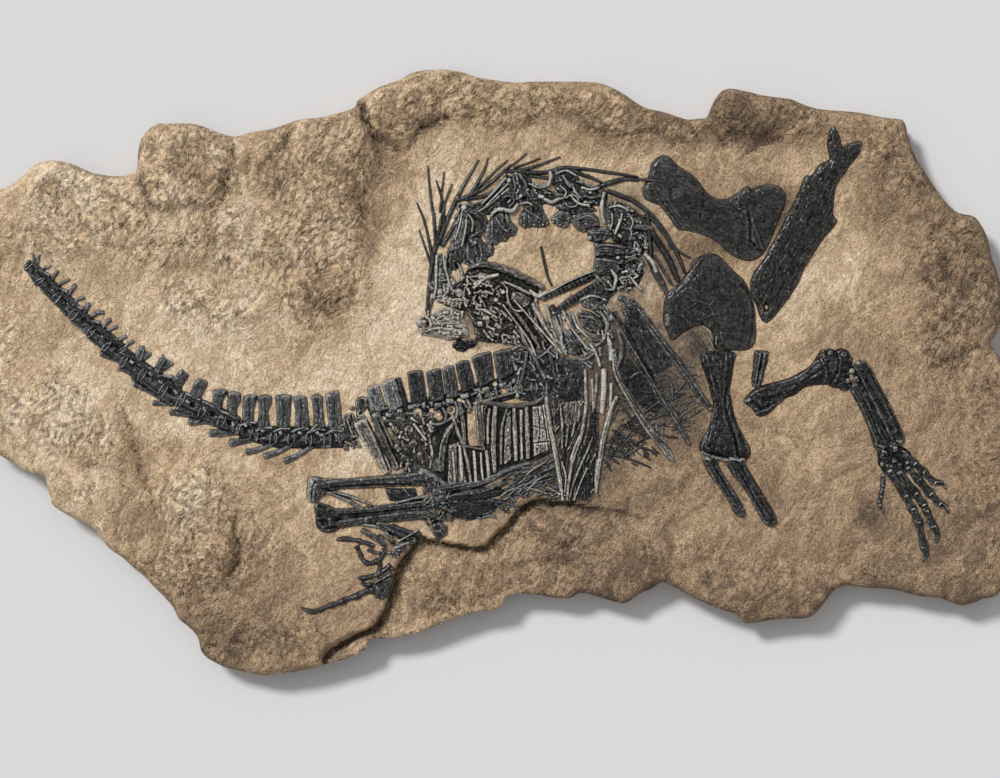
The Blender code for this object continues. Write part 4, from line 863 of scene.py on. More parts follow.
def bone_finish(name, dark, middle, pale, wear_glint, dust, relief):
    """Material of fossil bone with its own three colours, the strength of wear and painted glint on its
    crests, dust and bump distance.
    """
    made, tree, shader = new_material(name)
    skin = place_node(tree, "ShaderNodeGroup", {"node_tree": skin_group}, Dark=(*dark, 1.0),
                      Middle=(*middle, 1.0), Pale=(*pale, 1.0), Wear=wear_glint, Dust=dust)
    tree.links.new(skin.outputs["Colour"], shader.inputs["Base Color"])
    tree.links.new(skin.outputs["Gloss"], shader.inputs["Roughness"])
    tree.links.new(skin.outputs["Shine"], shader.inputs["Coat Weight"])
    shader.inputs["Coat Roughness"].default_value = 0.24
    bump = place_node(tree, "ShaderNodeBump", None, Strength=1.0, Distance=relief,
                      Height=skin.outputs["Relief"])
    tree.links.new(bump.outputs["Normal"], shader.inputs["Normal"])
    shader.inputs["Specular IOR Level"].default_value = 0.22
    return made


grey_bone = bone_finish("grey_bone", (0.006, 0.0065, 0.007), (0.098, 0.101, 0.104), (0.520, 0.515, 0.490),
                        0.62, 0.30, 0.0008)

bone("tail_vertebrae_1", grey_bone, [
    bar([(33, 263, 3), (46, 277, 3.6), (60, 291, 3.8), (72, 302, 3.8)], 4.2, -0.7),
    bar([(33, 276, 2.6), (48, 293, 2.8), (64, 309, 3)], 3.6, -0.2),
    lump(29, 262, 3.6, 3, 60, 3.6, -0.6), spool(28, 266, 39, 282, 5.6, 4.6),
    bar([(37, 266, 2.2), (35, 260, 1.8), (33.5, 254, 1.6)], 3.4),
    bar([(37.5, 263, 2.1), (39, 258, 2.1), (41, 253, 1.8)], 3.2),
    bar([(42, 269, 1.7), (47, 268, 1.6), (51, 266, 1.3)], 3), bar([(40, 270, 2.2), (49, 276, 2.2)], 4.2, 0.3),
    pit(35.5, 270, 1.6, 2.2),
    spool(41, 280, 56, 297, 5.6, 4.8), pit(51.5, 287, 1.5, 2),
    bar([(50, 283, 2.5), (54, 276, 2.2), (57.5, 271, 2.4)], 3.6),
    bar([(55, 287, 2.2), (62, 283, 1.8), (69, 279.5, 1.7)], 3.2),
    bar([(57, 288, 2.1), (67, 292, 2.4)], 4.2, 0.3), bar([(41, 289, 2.1), (47, 294, 2), (53, 300, 2.4)], 3),
    spool(57, 299, 73, 314, 5.9, 5), pit(67, 303.5, 1.5, 2.2),
    bar([(66, 299, 2.5), (71, 291, 2.2), (75, 285, 2.5)], 3.6),
    bar([(71, 304, 2.2), (79, 299, 1.8), (84, 297.5, 1.7)], 3.2),
    bar([(73, 306, 2.1), (83, 309, 2.4)], 4.2, 0.3), bar([(56, 303, 2.2), (61, 308, 2), (66, 314, 2.5)], 3)])
bone("tail_vertebrae_2", grey_bone, [
    bar([(74, 305, 3.8), (90, 321, 4.2), (106, 334, 4.4), (121, 346, 4.6)], 4.6, -0.7),
    bar([(70, 316, 3), (86, 331, 3.2), (104, 348, 3.4), (116, 359, 3.4)], 3.8, -0.2),
    spool(74, 316, 91, 331, 6, 5), pit(84.5, 319, 1.6, 2.2),
    bar([(83, 317, 2.6), (86, 310, 2.2), (88.5, 304, 2.6)], 3.8),
    bar([(88, 319, 2.4), (97, 313, 2.1), (103, 312.5, 2.4)], 3.4),
    bar([(90, 321, 2.2), (99, 323, 2.5)], 4.4, 0.3),
    bar([(72, 321, 2.5), (78, 325, 2.2), (84, 329, 2.8)], 3.2),
    spool(91, 333, 106, 347, 6.1, 5.2), pit(102.5, 335.5, 1.6, 2.2),
    bar([(100, 331, 2.6), (106, 324, 2.2), (110, 319.5, 2.5)], 3.8),
    bar([(106, 332, 2.4), (111, 329, 2.1), (117, 327, 2.1)], 3.6),
    bar([(107, 337, 2.2), (117, 340, 2.5)], 4.4, 0.3), bar([(91, 339, 2.5), (100, 345, 2.6)], 3.2),
    spool(107, 346, 124, 360, 6.3, 5.4), pit(112, 346, 1.8, 2.2),
    bar([(116, 344, 2.6), (121, 339, 2.4), (126, 336.5, 2.4)], 3.8),
    bar([(120, 350, 2.4), (127, 345, 2.2), (133, 341, 2.2)], 3.8),
    bar([(101, 354, 2.8), (110, 358, 2.2), (120, 361, 2.8)], 3.2),
    bar([(121, 353, 2.4), (131, 357, 2.6)], 4.6, 0.3)])
bone("tail_vertebrae_3", grey_bone, [
    bar([(124, 351, 4.8), (142, 365, 5), (160, 378, 5.4), (178, 391, 5.6)], 5, -0.7),
    bar([(122, 366, 3.4), (142, 381, 3.6), (160, 396, 3.8), (172, 404, 3.6)], 4, -0.2),
    [lump(x, y, 4.6, 3.2, turn, 6.4, 0.7)
     for x, y, turn in ((132, 362, 40), (151, 374, 50), (161, 382, 20), (176, 392, 60))],
    spool(124, 362, 142, 374, 6.6, 5.6), spool(143, 375, 163, 389, 7.1, 5.8),
    spool(164, 391, 180, 401, 7.3, 6),
    plate([(133, 360), (137, 352), (141, 346), (144, 346), (145, 352), (151, 353), (151, 355), (142, 362),
           (138, 366)], 4.6, 1.2, 0.1),
    plate([(152, 373), (156, 366), (160, 359), (163, 355), (166, 359), (168, 361), (173, 363), (172, 365),
           (163, 371), (157, 378)], 4.8, 1.2, 0.1),
    plate([(172, 389), (175, 379), (179, 372), (182, 370), (188, 375), (186, 379), (181, 386), (178, 393)],
          4.8, 1.2, 0.1),
    ridge([(140, 361, 1.1), (143, 354, 0.9), (144, 348, 0.8)], 0.9),
    ridge([(158, 372, 1.1), (163, 364, 0.9), (165, 359, 0.8)], 0.9),
    bar([(139, 364, 2.4), (151, 369, 2.5)], 5, 0.4), bar([(158, 376, 2.4), (172, 377, 2.5)], 5.2, 0.5),
    bar([(167, 383, 2.4), (171, 387, 2.1), (176, 392, 2.4)], 5, 0.3),
    bar([(119, 368, 2.6), (130, 373, 2.4), (141, 379, 2.8)], 3.4),
    bar([(134, 384, 3.4), (146, 390, 2.4), (160, 398, 2.1)], 3.8),
    bar([(154, 403, 3.2), (165, 404, 2.1), (177, 404, 2.1)], 3.6),
    lump(154, 393, 3, 1.6, 30, 3.4), lump(133, 380, 3, 1.5, 20, 3.2), pit(148, 376, 1.8, 2.2),
    pit(170, 393, 1.8, 2.2)])
bone("tail_vertebrae_4", grey_bone, [
    bar([(182, 396, 5.4), (200, 404, 5.6), (218, 412, 5.6), (237, 421, 5.6)], 5.2, -0.7),
    bar([(178, 408, 3.8), (198, 416, 4), (218, 424, 4), (236, 432, 4)], 4.2, -0.2),
    [lump(x, y, 4.8, 3.4, turn, 6.8, 0.7)
     for x, y, turn in ((188, 402, 40), (205, 409, 60), (222, 417, 20), (233, 424, 60))],
    spool(182, 400, 202, 411, 6.6, 6.2), spool(204, 411, 221, 420, 6.8, 6.4),
    spool(223, 421, 236, 427, 6.6, 6.4),
    plate([(190, 396), (192, 390), (195, 382), (199, 379), (207, 382), (206, 386), (202, 393), (199, 401)],
          5.4, 1.4, 0.1),
    plate([(212, 408), (214, 400), (213, 391), (220, 389), (227, 391), (223, 398), (221, 405), (222, 412),
           (214, 411)], 5.6, 1.4, 0.15),
    plate([(229, 416), (228, 405), (228, 393), (234, 392), (240, 394), (240, 399), (236, 408), (236, 419)],
          5.6, 1.4, 0.15),
    bar([(203, 402, 2), (211, 406, 2.5), (218, 409, 2)], 5.6, 0.4),
    bar([(220, 411, 2), (228, 414, 2.5), (235, 418, 2)], 5.8, 0.5),
    bar([(186, 394, 2), (193, 397, 2.2), (200, 400, 2)], 5.4, 0.4), lump(208, 412, 3, 2, 20, 6, -0.5),
    bar([(171, 412, 3.6), (190, 415, 2.6), (209, 417, 2.6)], 3.8),
    bar([(190, 422, 4), (206, 421, 3), (222, 421, 3)], 4),
    bar([(211, 433, 4.2), (224, 433, 3.4), (238, 431, 3.2)], 4),
    bar([(196, 404, 1.8), (204, 408, 2), (208, 414, 1.8)], 5.6),
    pit(213, 415, 2, 2.4), pit(230, 424, 2, 2.4), pit(193, 406, 1.8, 2.2)])
bone("tail_vertebrae_5", grey_bone, [
    plate([(240, 421), (256, 426), (280, 427), (310, 427), (343, 428), (344, 447), (310, 448), (276, 447),
           (240, 438)], 3, 1.4, -1.3),
    [lump(x, y, 3.8, 2.6, turn, 7.2, 0.8)
     for x, y, turn in ((246, 425, 60), (263, 431, 20), (281, 433, 70), (300, 433, 20), (318, 433, 50),
                        (336, 436, 80))],
    [spool(x0, y0, x1, y1, 5.6, 6.4) for x0, y0, x1, y1 in (
        (238, 429, 253, 434), (256, 436, 272, 438), (275, 438, 290, 439), (293, 438, 308, 439),
        (310, 440, 326, 441), (329, 439, 341, 438))],
    plate([(244, 426), (243, 412), (244, 397), (249, 395), (256, 396), (255, 402), (253, 409), (252, 427)],
          5.8, 1.4, 0.15),
    plate([(257, 431), (260, 411), (258, 397), (265, 395), (271, 397), (270, 404), (267, 411), (270, 431)],
          5.8, 1.4, 0.15),
    plate([(278, 432), (277, 410), (276, 396), (283, 395), (291, 396), (290, 405), (288, 432)], 5.8, 1.4,
          0.2),
    plate([(296, 432), (296, 410), (294, 397), (300, 396), (306, 397), (307, 408), (309, 432)], 5.8, 1.4,
          0.2),
    plate([(315, 432), (314, 410), (312, 396), (317, 394), (322, 397), (322, 409), (325, 432)], 5.8, 1.4,
          0.15),
    plate([(330, 434), (328, 412), (326, 395), (332, 392), (338, 391), (340, 405), (342, 434)], 5.8, 1.4,
          0.3),
    [bar([(x, y, 1.6), (x + 8, y - 3.5, 2), (x + 16, y - 3, 1.7)], 6.2, 0.55) for x, y in (
        (240, 426), (256, 431), (274, 432), (292, 432), (309, 433), (326, 434))],
    [ridge([(x, 426, 1.2), (x + 1, 412, 1), (x, 400, 1.2)], -0.9) for x in (249, 265, 283, 301, 318, 334)],
    bar([(231, 443, 4.2), (244, 441, 3.2), (256, 438, 3)], 4),
    bar([(247, 452, 3.4), (260, 449, 2.6), (274, 443, 2.8)], 4),
    bar([(265, 456, 3.4), (278, 452, 2.8), (292, 444, 2.8)], 4),
    bar([(285, 461, 3.4), (298, 455, 2.6), (312, 446, 2.8)], 4),
    bar([(322, 446, 2), (330, 446, 2)], 4, 0.4),
    bar([(308, 433, 1.8), (313, 429, 1.8), (318, 424, 1.8)], 6.2, 0.3),
    [pit(x, y, 2.2, 2.6) for x, y in ((246, 433), (260, 437), (281, 439), (298, 439), (333, 440))],
    lump(322, 435, 4.5, 2.6, 10, 6.8, 0.6)])

# Hips and back
# Sacral and trunk vertebrae with tall flat spines, worn to grey along their tops, over a crowded row of
# vertebral bodies and rib heads; the worn ilium leans over them. All are stuck fast in the slab.
rib_bone = bone_finish("rib_bone", (0.004, 0.004, 0.0038), (0.110, 0.102, 0.090), (0.680, 0.625, 0.540),
                       0.85, 0.22, 0.0009)

bone("sacral_vertebrae", rib_bone, [
    plate([(356, 402), (357, 399), (361, 397), (368, 398), (368, 406), (364, 410), (357, 416)], 5, 1.4, -0.3),
    plate([(345, 415), (351, 414), (353, 425), (358, 437), (350, 441), (340, 442), (342, 428)], 5.6, 1.6,
          -0.2),
    bar([(347, 418, 1.6), (350, 428, 2), (354, 437, 1.6)], 6.2, 0.4), lump(362, 418, 6, 4, 40, 5, 0),
    lump(352, 408, 3.5, 2.5, 70, 5, -0.2), bar([(340, 436, 2), (350, 444, 2.4), (360, 446, 2)], 4.4, -0.3),
    lump(346, 448, 4, 3, 0, 4, -0.5), lump(357, 427, 3, 2.4, 0, 5.4, 0.3),
    jumble([(344, 412), (366, 412), (366, 446), (342, 450)], 14, 9, 1.3, 5.6, 3, (20, 110))])
bone("ilium", rib_bone, [
    plate([(388, 412), (432, 414), (440, 470), (402, 474)], 3.4, 1.4, 0.1),
    bar([(362, 424, 8.5), (372, 443, 7.5), (382, 461, 6), (387, 471, 5)], 7, 0.75),
    bar([(376, 414, 4.6), (381, 430, 6), (389, 448, 6.2), (397, 467, 5)], 6.4, -0.25),
    ridge([(368, 420, 1.3), (378, 442, 1.3), (389, 470, 1.2)], -3.2),
    ridge([(356, 426, 1.2), (366, 446, 1.3), (378, 468, 1.2)], 0.8),
    ridge([(378, 418, 1.2), (390, 444, 1.4), (402, 470, 1.2)], -2.6),
    lump(396, 430, 7, 5, 60, 6.4, -0.1), lump(409, 430, 8, 6, 20, 6.6, 0.1), lump(413, 444, 8, 7, 50, 6.4, 0),
    lump(421, 458, 9, 5, 70, 6, 0.2), lump(405, 458, 8, 6, 30, 5.6, -0.3),
    lump(398, 448, 7, 5, 50, 5.6, -0.1),
    pit(391, 420, 3.6, 5.5), pit(410, 418, 3, 5), pit(422, 414, 4.6, 6), pit(430, 432, 5.4, 5),
    pit(434, 454, 4, 5), pit(402, 470, 4, 4), pit(393, 434, 3, 4),
    bar([(428, 436, 1.8), (432, 452, 2.2), (430, 468, 1.8)], 5, 0.2),
    bar([(414, 424, 1.8), (426, 440, 2)], 7, 0.6),
    jumble([(390, 418), (430, 420), (440, 468), (398, 470)], 20, 9, 2.4, 7.2, 5, (30, 120), 0.2)])
bone("trunk_vertebrae_1", grey_bone, [
    plate([(368, 408), (400, 406), (426, 398), (431, 424), (404, 426), (376, 427)], 2, 1.2, -1.6),
    plate([(368, 388), (372, 386), (378, 385), (382, 397), (386, 409), (379, 413), (371, 411), (369, 400)],
          6.2, 1.3, 0.8),
    plate([(382, 383), (388, 380), (395, 378), (399, 391), (403, 405), (396, 411), (389, 413), (386, 398)],
          6.6, 1.3, 0.95),
    plate([(397, 379), (400, 378), (404, 391), (408, 405), (404, 408), (400, 393)], 4.6, 1, -1.2),
    plate([(408, 373), (414, 371), (422, 371), (424, 386), (426, 401), (419, 404), (412, 403), (410, 388)],
          6.4, 1.3, -0.5),
    ridge([(371, 389, 1), (375, 400, 1), (378, 410, 1)], 0.6),
    ridge([(391, 384, 1), (396, 396, 1.1), (399, 406, 1)], 0.7),
    ridge([(409, 374, 0.9), (416, 372, 0.9), (421, 372, 0.9)], 0.9),
    ridge([(416, 378, 1.6), (418, 390, 1.5), (420, 399, 1.4)], -0.7),
    lump(376, 416, 5, 3.4, 10, 6.4, 0.5), lump(389, 415, 5, 3.2, 20, 6.2, 0.7),
    lump(400, 411, 5, 3.4, 0, 6.4, 0.6),
    lump(411, 407, 5, 3, -10, 6.4, 0.2), lump(424, 405, 4, 4.6, 0, 6.8, 0.8),
    bar([(372, 420, 2), (386, 421, 2.4), (402, 418, 2)], 5.2, -0.3),
    pit(383, 419, 2.6, 6), pit(394, 418, 2.4, 6), pit(406, 415, 2.6, 6), pit(417, 412, 3.6, 8),
    pit(418, 418, 3.6, 7),
    jumble([(372, 410), (426, 402), (428, 416), (374, 422)], 16, 8, 1.5, 6.6, 7, (-40, 60), 0.2)], 0.6, 1.2)
bone("trunk_vertebrae_2", grey_bone, [
    plate([(427, 398), (450, 394), (475, 386), (477, 402), (462, 414), (446, 428), (430, 428)], 2, 1.2, -1.6),
    plate([(427, 373), (433, 370), (440, 369), (442, 384), (444, 399), (437, 402), (431, 402), (429, 387)],
          6.4, 1.3, -0.4),
    plate([(443, 369), (448, 366), (453, 366), (456, 381), (458, 396), (452, 399), (447, 398), (445, 383)],
          6.4, 1.3, 0),
    plate([(456, 364), (462, 361), (468, 361), (472, 374), (474, 388), (469, 391), (463, 393), (459, 378)],
          6.4, 1.3, -0.4),
    ridge([(428, 373, 0.9), (434, 371, 0.9), (439, 370, 0.9)], 0.9),
    ridge([(457, 364, 0.9), (463, 362, 0.9), (468, 362, 0.9)], 0.9),
    ridge([(434, 376, 1.5), (436, 388, 1.4), (438, 398, 1.3)], -0.7),
    ridge([(448, 371, 1), (451, 384, 1.1), (453, 396, 1)], 0.7),
    ridge([(463, 367, 1.5), (466, 378, 1.4), (468, 388, 1.3)], -0.7),
    lump(438, 405, 5.5, 3.4, 0, 7, 0.5), lump(450, 401, 6, 3.8, -10, 7.2, 0.9),
    lump(465, 396, 6, 3.4, -14, 7, 0.7), lump(432, 404, 3, 3, 0, 6.8, 0.9),
    bar([(429, 424, 1.8), (440, 424, 2.2), (452, 418, 2), (464, 411, 1.8)], 5.4, 0.2),
    bar([(455, 402, 2), (458, 410, 2.4), (456, 418, 2)], 6.4, 0.5),
    bar([(443, 408, 1.8), (446, 415, 2.2), (445, 422, 1.6)], 6.2, 0.4),
    bar([(467, 400, 2), (470, 406, 2.2), (468, 412, 1.8)], 6.2, 0.3),
    pit(432, 413, 4, 9), pit(438, 417, 3.4, 9), pit(451, 410, 3.2, 8), pit(462, 404, 3, 8),
    pit(459, 400, 2, 5), pit(444, 403, 2, 5),
    jumble([(430, 400), (474, 390), (474, 406), (430, 418)], 12, 8, 1.5, 6.6, 11, (-50, 60), 0.3)], 0.6, 1.2)
bone("trunk_vertebrae_3", grey_bone, [
    plate([(475, 384), (500, 378), (520, 370), (523, 396), (500, 402), (477, 405)], 2, 1.2, -1.6),
    plate([(472, 358), (480, 354), (490, 352), (492, 366), (493, 380), (487, 384), (480, 387), (476, 372)],
          6.4, 1.3, -0.2),
    plate([(494, 353), (502, 350), (511, 349), (512, 361), (513, 373), (506, 378), (499, 381), (496, 367)],
          6.6, 1.3, -0.2),
    ridge([(473, 358, 0.9), (481, 355, 0.9), (489, 353, 0.9)], 0.9),
    ridge([(495, 353, 0.9), (503, 351, 0.9), (510, 350, 0.9)], 0.9),
    ridge([(481, 361, 1.8), (484, 372, 1.7), (485, 382, 1.5)], -0.7),
    ridge([(502, 356, 1.8), (504, 367, 1.7), (505, 376, 1.5)], -0.7),
    lump(516, 368, 4.4, 3.2, 80, 5.8, 0.9), lump(486, 390, 6, 3.6, -12, 7, 0.6),
    lump(503, 385, 6, 3.6, -12, 7, 0.7), lump(514, 381, 4, 3.2, 0, 6.8, 0.5),
    bar([(474, 404, 1.8), (490, 399, 2.2), (508, 394, 2), (520, 391, 1.8)], 5.4, 0.2),
    bar([(479, 393, 2), (481, 399, 2.2)], 6.4, 0.5),
    bar([(495, 388, 2), (497, 395, 2.2)], 6.4, 0.5), bar([(510, 384, 2), (512, 391, 2.2)], 6.4, 0.4),
    pit(474, 395, 3, 8), pit(489, 395, 3, 8), pit(504, 391, 3, 8), pit(478, 390, 2, 5), pit(495, 384, 2, 5),
    pit(517, 386, 2.4, 6),
    jumble([(474, 388), (518, 378), (520, 392), (476, 400)], 12, 8, 1.5, 6.6, 13, (-50, 60), 0.3)], 0.6, 1.2)
bone("trunk_vertebrae_4", grey_bone, [
    plate([(514, 352), (528, 350), (552, 356), (584, 362), (586, 396), (560, 402), (520, 400)], 3.4, 1.6,
          -0.2),
    spool(520, 389, 533, 388, 5, 6.2), spool(535, 388, 548, 388, 5, 6.2),
    plate([(552, 396), (555, 386), (560, 378), (565, 374), (570, 372), (576, 378), (580, 385), (579, 398),
           (573, 400), (568, 400), (560, 397)], 6.4, 2.4, -0.6),
    bar([(520, 330, 2.4), (527, 346, 2.8), (534, 358, 3), (545, 378, 3)], 5.6, 0.2),
    bar([(520, 384, 3), (524, 368, 3.2), (527, 352, 3)], 5.6, 0),
    bar([(550, 354, 3.2), (553, 368, 3.2), (556, 382, 3)], 5.6, -0.3),
    bar([(534, 360, 1.6), (544, 354, 1.6), (552, 346, 1.6)], 5, 0.3),
    bar([(512, 350, 1.6), (520, 346, 1.8), (530, 350, 1.6)], 4.8, 0.2),
    pit(566, 386, 3, 2),
    jumble([(514, 350), (560, 350), (582, 372), (582, 398), (516, 398)], 40, 9, 2.5, 6.4, 17, (10, 120),
           0.35)])
bone("curved_bone", rib_bone, [
    bar([(476, 400, 2), (485, 402, 2.7), (500, 405, 2.9), (515, 406, 2.9), (530, 404, 2.8), (540, 400, 2.4),
         (546, 394, 1.6)], 7.6, -0.75),
    ridge([(480, 399.4, 0.7), (500, 403, 0.8), (516, 404, 0.8), (538, 399, 0.7)], 0.9)])

# Rib cage
# Slender ribs worn to pale bone, side by side over dark base plates with strips of sandy rock between
# them, and two dark belly bars below. The dark plate under the first ribs paints the shadow in the deep
# gap beside the ilium. Each rib is a thin arched rod, broken here and there.
bone("belly_bars", grey_bone, [
    plate([(446, 494), (470, 492), (500, 488), (506, 493), (480, 500), (450, 502)], 4.4, 1.4, -1),
    plate([(449, 500), (482, 499), (502, 500), (492, 512), (472, 520), (452, 517)], 4.2, 1.4, -0.9),
    bar([(434, 492, 5), (450, 487, 4.6), (480, 484, 3.8), (500, 474, 3.2), (515, 468, 3), (530, 463, 2.4)],
        6.4, -0.1),
    bar([(438, 501, 5), (450, 496, 4.4), (480, 492, 4), (492, 488, 3.6), (506, 482, 2.8)], 5.6, -0.5),
    ridge([(440, 489, 0.9), (466, 484, 0.9), (494, 475, 0.8)], 0.9),
    ridge([(436, 496, 1), (470, 489, 1), (500, 480, 0.8)], -2.4),
    [bar([(x, 497 - k * 2, 1.3), (x + 10, 490 - k * 3.2, 1.4), (x + 22, 486 - k * 4.2, 1)], 4.6, 0.2)
     for k, x in enumerate((500, 509, 518, 527))],
    bar([(527, 474, 1.6), (535, 468, 1.6), (546, 462, 1.3)], 4.6, 0.4),
    bar([(512, 490, 1.6), (528, 488, 1.6), (548, 494, 1.2)], 4.4, 0.3),
    jumble([(500, 476), (552, 460), (560, 498), (512, 496)], 70, 14, 1.2, 4.4, 19, (-50, 20), -0.4),
    jumble([(440, 504), (510, 498), (526, 500), (508, 514), (478, 520), (446, 518)], 46, 9, 1.9, 4.8, 21,
           (-30, 40), -0.3)])


def beside(path, shift, deep=4.2):
    """Dark gap along one side of a rib: a groove on its path moved sideways."""
    return ridge([(x + shift, y, 1.2) for x, y in path], -deep)


bone("rib_1", rib_bone, [
    # Painted shadow: this first plate is a dark sheet under the ribs that stands for the shadow in the deep
    # gap beside the ilium
    plate([(426, 422), (434, 418), (446, 430), (462, 420), (468, 440), (474, 483), (446, 488), (430, 472)],
          1.4, 1, -1.7), plate([(449, 446), (459, 442), (466, 482), (448, 485)], 3.4, 1, 0.75),
    bar([(454, 424, 2.6), (447, 434, 3.8), (443, 448, 4.2), (441, 470, 3.6)], 5.8, -0.1),
    ridge([(450, 428, 0.8), (443, 440, 0.9), (440, 452, 0.9), (438, 468, 0.8)], 1.1),
    bar([(453, 452, 2), (454, 468, 2.4), (455, 482, 2)], 5, 0.5),
    bar([(460, 446, 2.2), (461, 462, 2.6), (462, 480, 2.2)], 5, 0.7),
    bar([(452, 414, 2), (458, 432, 2.3), (464, 448, 2.3), (468, 464, 2.3), (471, 482, 2)], 5.8, -0.1),
    ridge([(457.4, 448, 1), (458, 482, 1)], -2.4)])
bone("rib_2", rib_bone, [
    plate([(458, 402), (466, 404), (468, 446), (490, 446), (493, 478), (474, 484), (468, 450), (460, 428)],
          1.4, 1, -1.7),
    bar([(460, 404, 2.6), (463, 420, 2.6), (465, 446, 2.2)], 5, -0.4),
    ridge([(459, 408, 0.8), (462, 428, 0.8), (464, 444, 0.8)], 0.9),
    bar([(474, 451, 2), (475, 466, 2.3), (476, 482, 2)], 4.8, 0.6),
    bar([(486.5, 451, 2.2), (488, 466, 2.4), (489, 478, 2)], 4.8, 0.4),
    bar([(481, 453, 1.5), (481.5, 466, 1.8), (483, 480, 1.4)], 4, 0.7),
    bar([(477, 402, 3), (479, 420, 3.4), (480, 436, 3.4), (483, 449, 3)], 6, -0.25),
    ridge([(475.4, 404, 0.8), (477, 424, 0.9), (479, 446, 0.8)], 1.1),
    bar([(465, 446, 1.3), (474, 448, 1.5), (483, 449, 1.3)], 5.2, -0.5)])
bone("rib_3", rib_bone, [
    plate([(483, 406), (546, 402), (553, 452), (530, 462), (506, 469), (491, 478), (486, 448)], 1.4, 1,
          -1.7), bar([(495.5, 407, 2.8), (494, 430, 3.3), (493.5, 450, 3.2), (495, 472, 2.6)], 5.8, 0.25),
    plate([(506.4, 413), (510.4, 411), (511, 459), (504.6, 464), (504.2, 440)], 3.4, 0.9, 0.85),
    plate([(519.6, 410), (522.4, 410), (522.8, 458), (520.6, 460)], 3.4, 0.9, 0.85),
    plate([(532.4, 407), (544, 405), (550, 449), (534, 456)], 3.6, 0.9, 0.95),
    bar([(507, 409, 1.5), (502.4, 425, 1.9), (501, 442, 2), (501, 464, 1.7)], 5, -0.3),
    bar([(514, 408, 2.3), (515, 432, 2.8), (516, 460, 2.4)], 5.6, 0.15),
    bar([(526.5, 407, 2.5), (527.4, 432, 3), (528, 458, 2.5)], 5.8, 0.2),
    bar([(489.4, 409, 1.6), (488, 424, 1.9), (488, 444, 1.7)], 4.8, 0.1),
    ridge([(538, 409, 0.7), (540, 430, 0.7), (537, 452, 0.7)], -1.6),
    ridge([(534, 426, 0.7), (548, 430, 0.7)], -1.3), ridge([(533, 443, 0.9), (550, 441, 0.9)], -2),
    ridge([(542, 406, 0.8), (546, 430, 0.8), (549, 450, 0.8)], -1.8),
    [lump(x, y, 3, 2, turn, 4.4, 0.9)
     for x, y, turn in ((537, 418, 30), (541, 436, 60), (508, 430, 80), (508, 448, 80), (538, 447, 0))]])
bone("rib_4", rib_bone, [
    plate([(546, 398), (584, 396), (598, 412), (598, 470), (590, 500), (562, 500), (552, 440)], 2.2, 1,
          -0.7), plate([(562, 402), (582, 400), (584, 420), (566, 428)], 3.4, 1, 0.8),
    [beside(path, shift)
     for path in ([(547, 400), (555, 450), (562, 496)], [(585, 376), (584, 420), (573, 460), (567, 498)])
     for shift in (-3.4, 3.4)],
    bar([(545, 390, 2.4), (548, 410, 2.6), (551, 430, 2.7), (555, 450, 2.7), (560, 480, 2.5),
         (563, 500, 2.2)], 5, 0.35),
    bar([(585, 370, 2), (586, 400, 2.2), (584, 420, 2.2), (580, 440, 2.2), (573, 460, 2.2), (569, 480, 2.2),
         (567, 500, 2)], 5, 0.1),
    bar([(592, 380, 1.5), (593, 398, 1.6), (593, 412, 1.3)], 3.8, 0.4),
    bar([(583, 430, 1.7), (576, 445, 1.8), (571, 460, 1.6)], 4.4, 0.5),
    bar([(590, 445, 1.7), (582, 462, 1.9), (573, 485, 1.8), (569, 500, 1.4)], 4.8, -0.3),
    bar([(587, 468, 1.5), (580, 484, 1.6), (574, 500, 1.3)], 4, 0.2),
    bar([(597, 460, 1.4), (595, 480, 1.5), (597, 496, 1.2)], 4, -0.2),
    bar([(569, 404, 2), (568, 424, 2.2), (566, 446, 1.9)], 3.8, -0.1),
    bar([(560, 404, 1.9), (562, 424, 2), (562, 450, 1.7)], 3.6, 0.2),
    bar([(576, 402, 1.8), (575, 420, 1.9), (572, 436, 1.6)], 4, 0.4),
    bar([(549, 488, 1.4), (560, 494, 1.6), (570, 497, 1.4)], 4.2, 0.2),
    bar([(562, 462, 1.3), (566, 478, 1.4), (564, 496, 1.2)], 3.8, 0.5),
    jumble([(548, 400), (596, 400), (598, 496), (562, 500)], 60, 15, 1.1, 3.8, 37, (80, 130), -0.45)])

# Hind limb
# Thigh and shin bones of glossy black bone, laid side by side, with a scattered ankle and three
# duller, slender toes that end at the ledge. The ends flare and their rims show pale, partly worn and
# partly a painted glint.
black_bone = bone_finish("black_bone", (0.0020, 0.0021, 0.0023), (0.034, 0.036, 0.039),
                         (0.560, 0.545, 0.505), 0.66, 0.30, 0.0007)

bone("femur", black_bone, [
    plate([(308, 482), (310, 478), (316, 477), (324, 479), (330, 481), (330, 490), (322, 496), (314, 502),
           (309, 502), (307, 494)], 9.4, 2.6, 0.7),
    bar([(318, 487, 8), (326, 485, 7), (340, 484, 5.4), (370, 482, 5.8), (400, 480, 6.6), (425, 478, 7.6)],
        9.6, 0),
    ridge([(328, 482, 1.2), (360, 479, 1.2), (400, 476, 1.2), (424, 473, 1.2)], 1.2),
    ridge([(332, 487, 1.4), (370, 485, 1.4), (410, 484, 1.4)], -1.6),
    bar([(325, 491, 2.2), (345, 499, 2.5), (362, 509, 2)], 5.4, 0.2),
    bar([(334, 492, 1.6), (352, 497, 1.8), (372, 505, 1.5)], 4.6, 0.3),
    plate([(386, 489), (400, 489), (415, 489), (418, 500), (404, 502), (390, 500)], 4.6, 1.6, -0.4),
    bar([(404, 489, 1.6), (410, 496, 1.6)], 5.2, 0.5), lump(421, 474, 5, 3.5, 60, 9.2, 0.3),
    lump(424, 484, 4.5, 3, 20, 8.8, -0.3),
    ridge([(316, 481, 1.2), (312, 490, 1.2), (312, 500, 1.2)], -1)], 0.66)
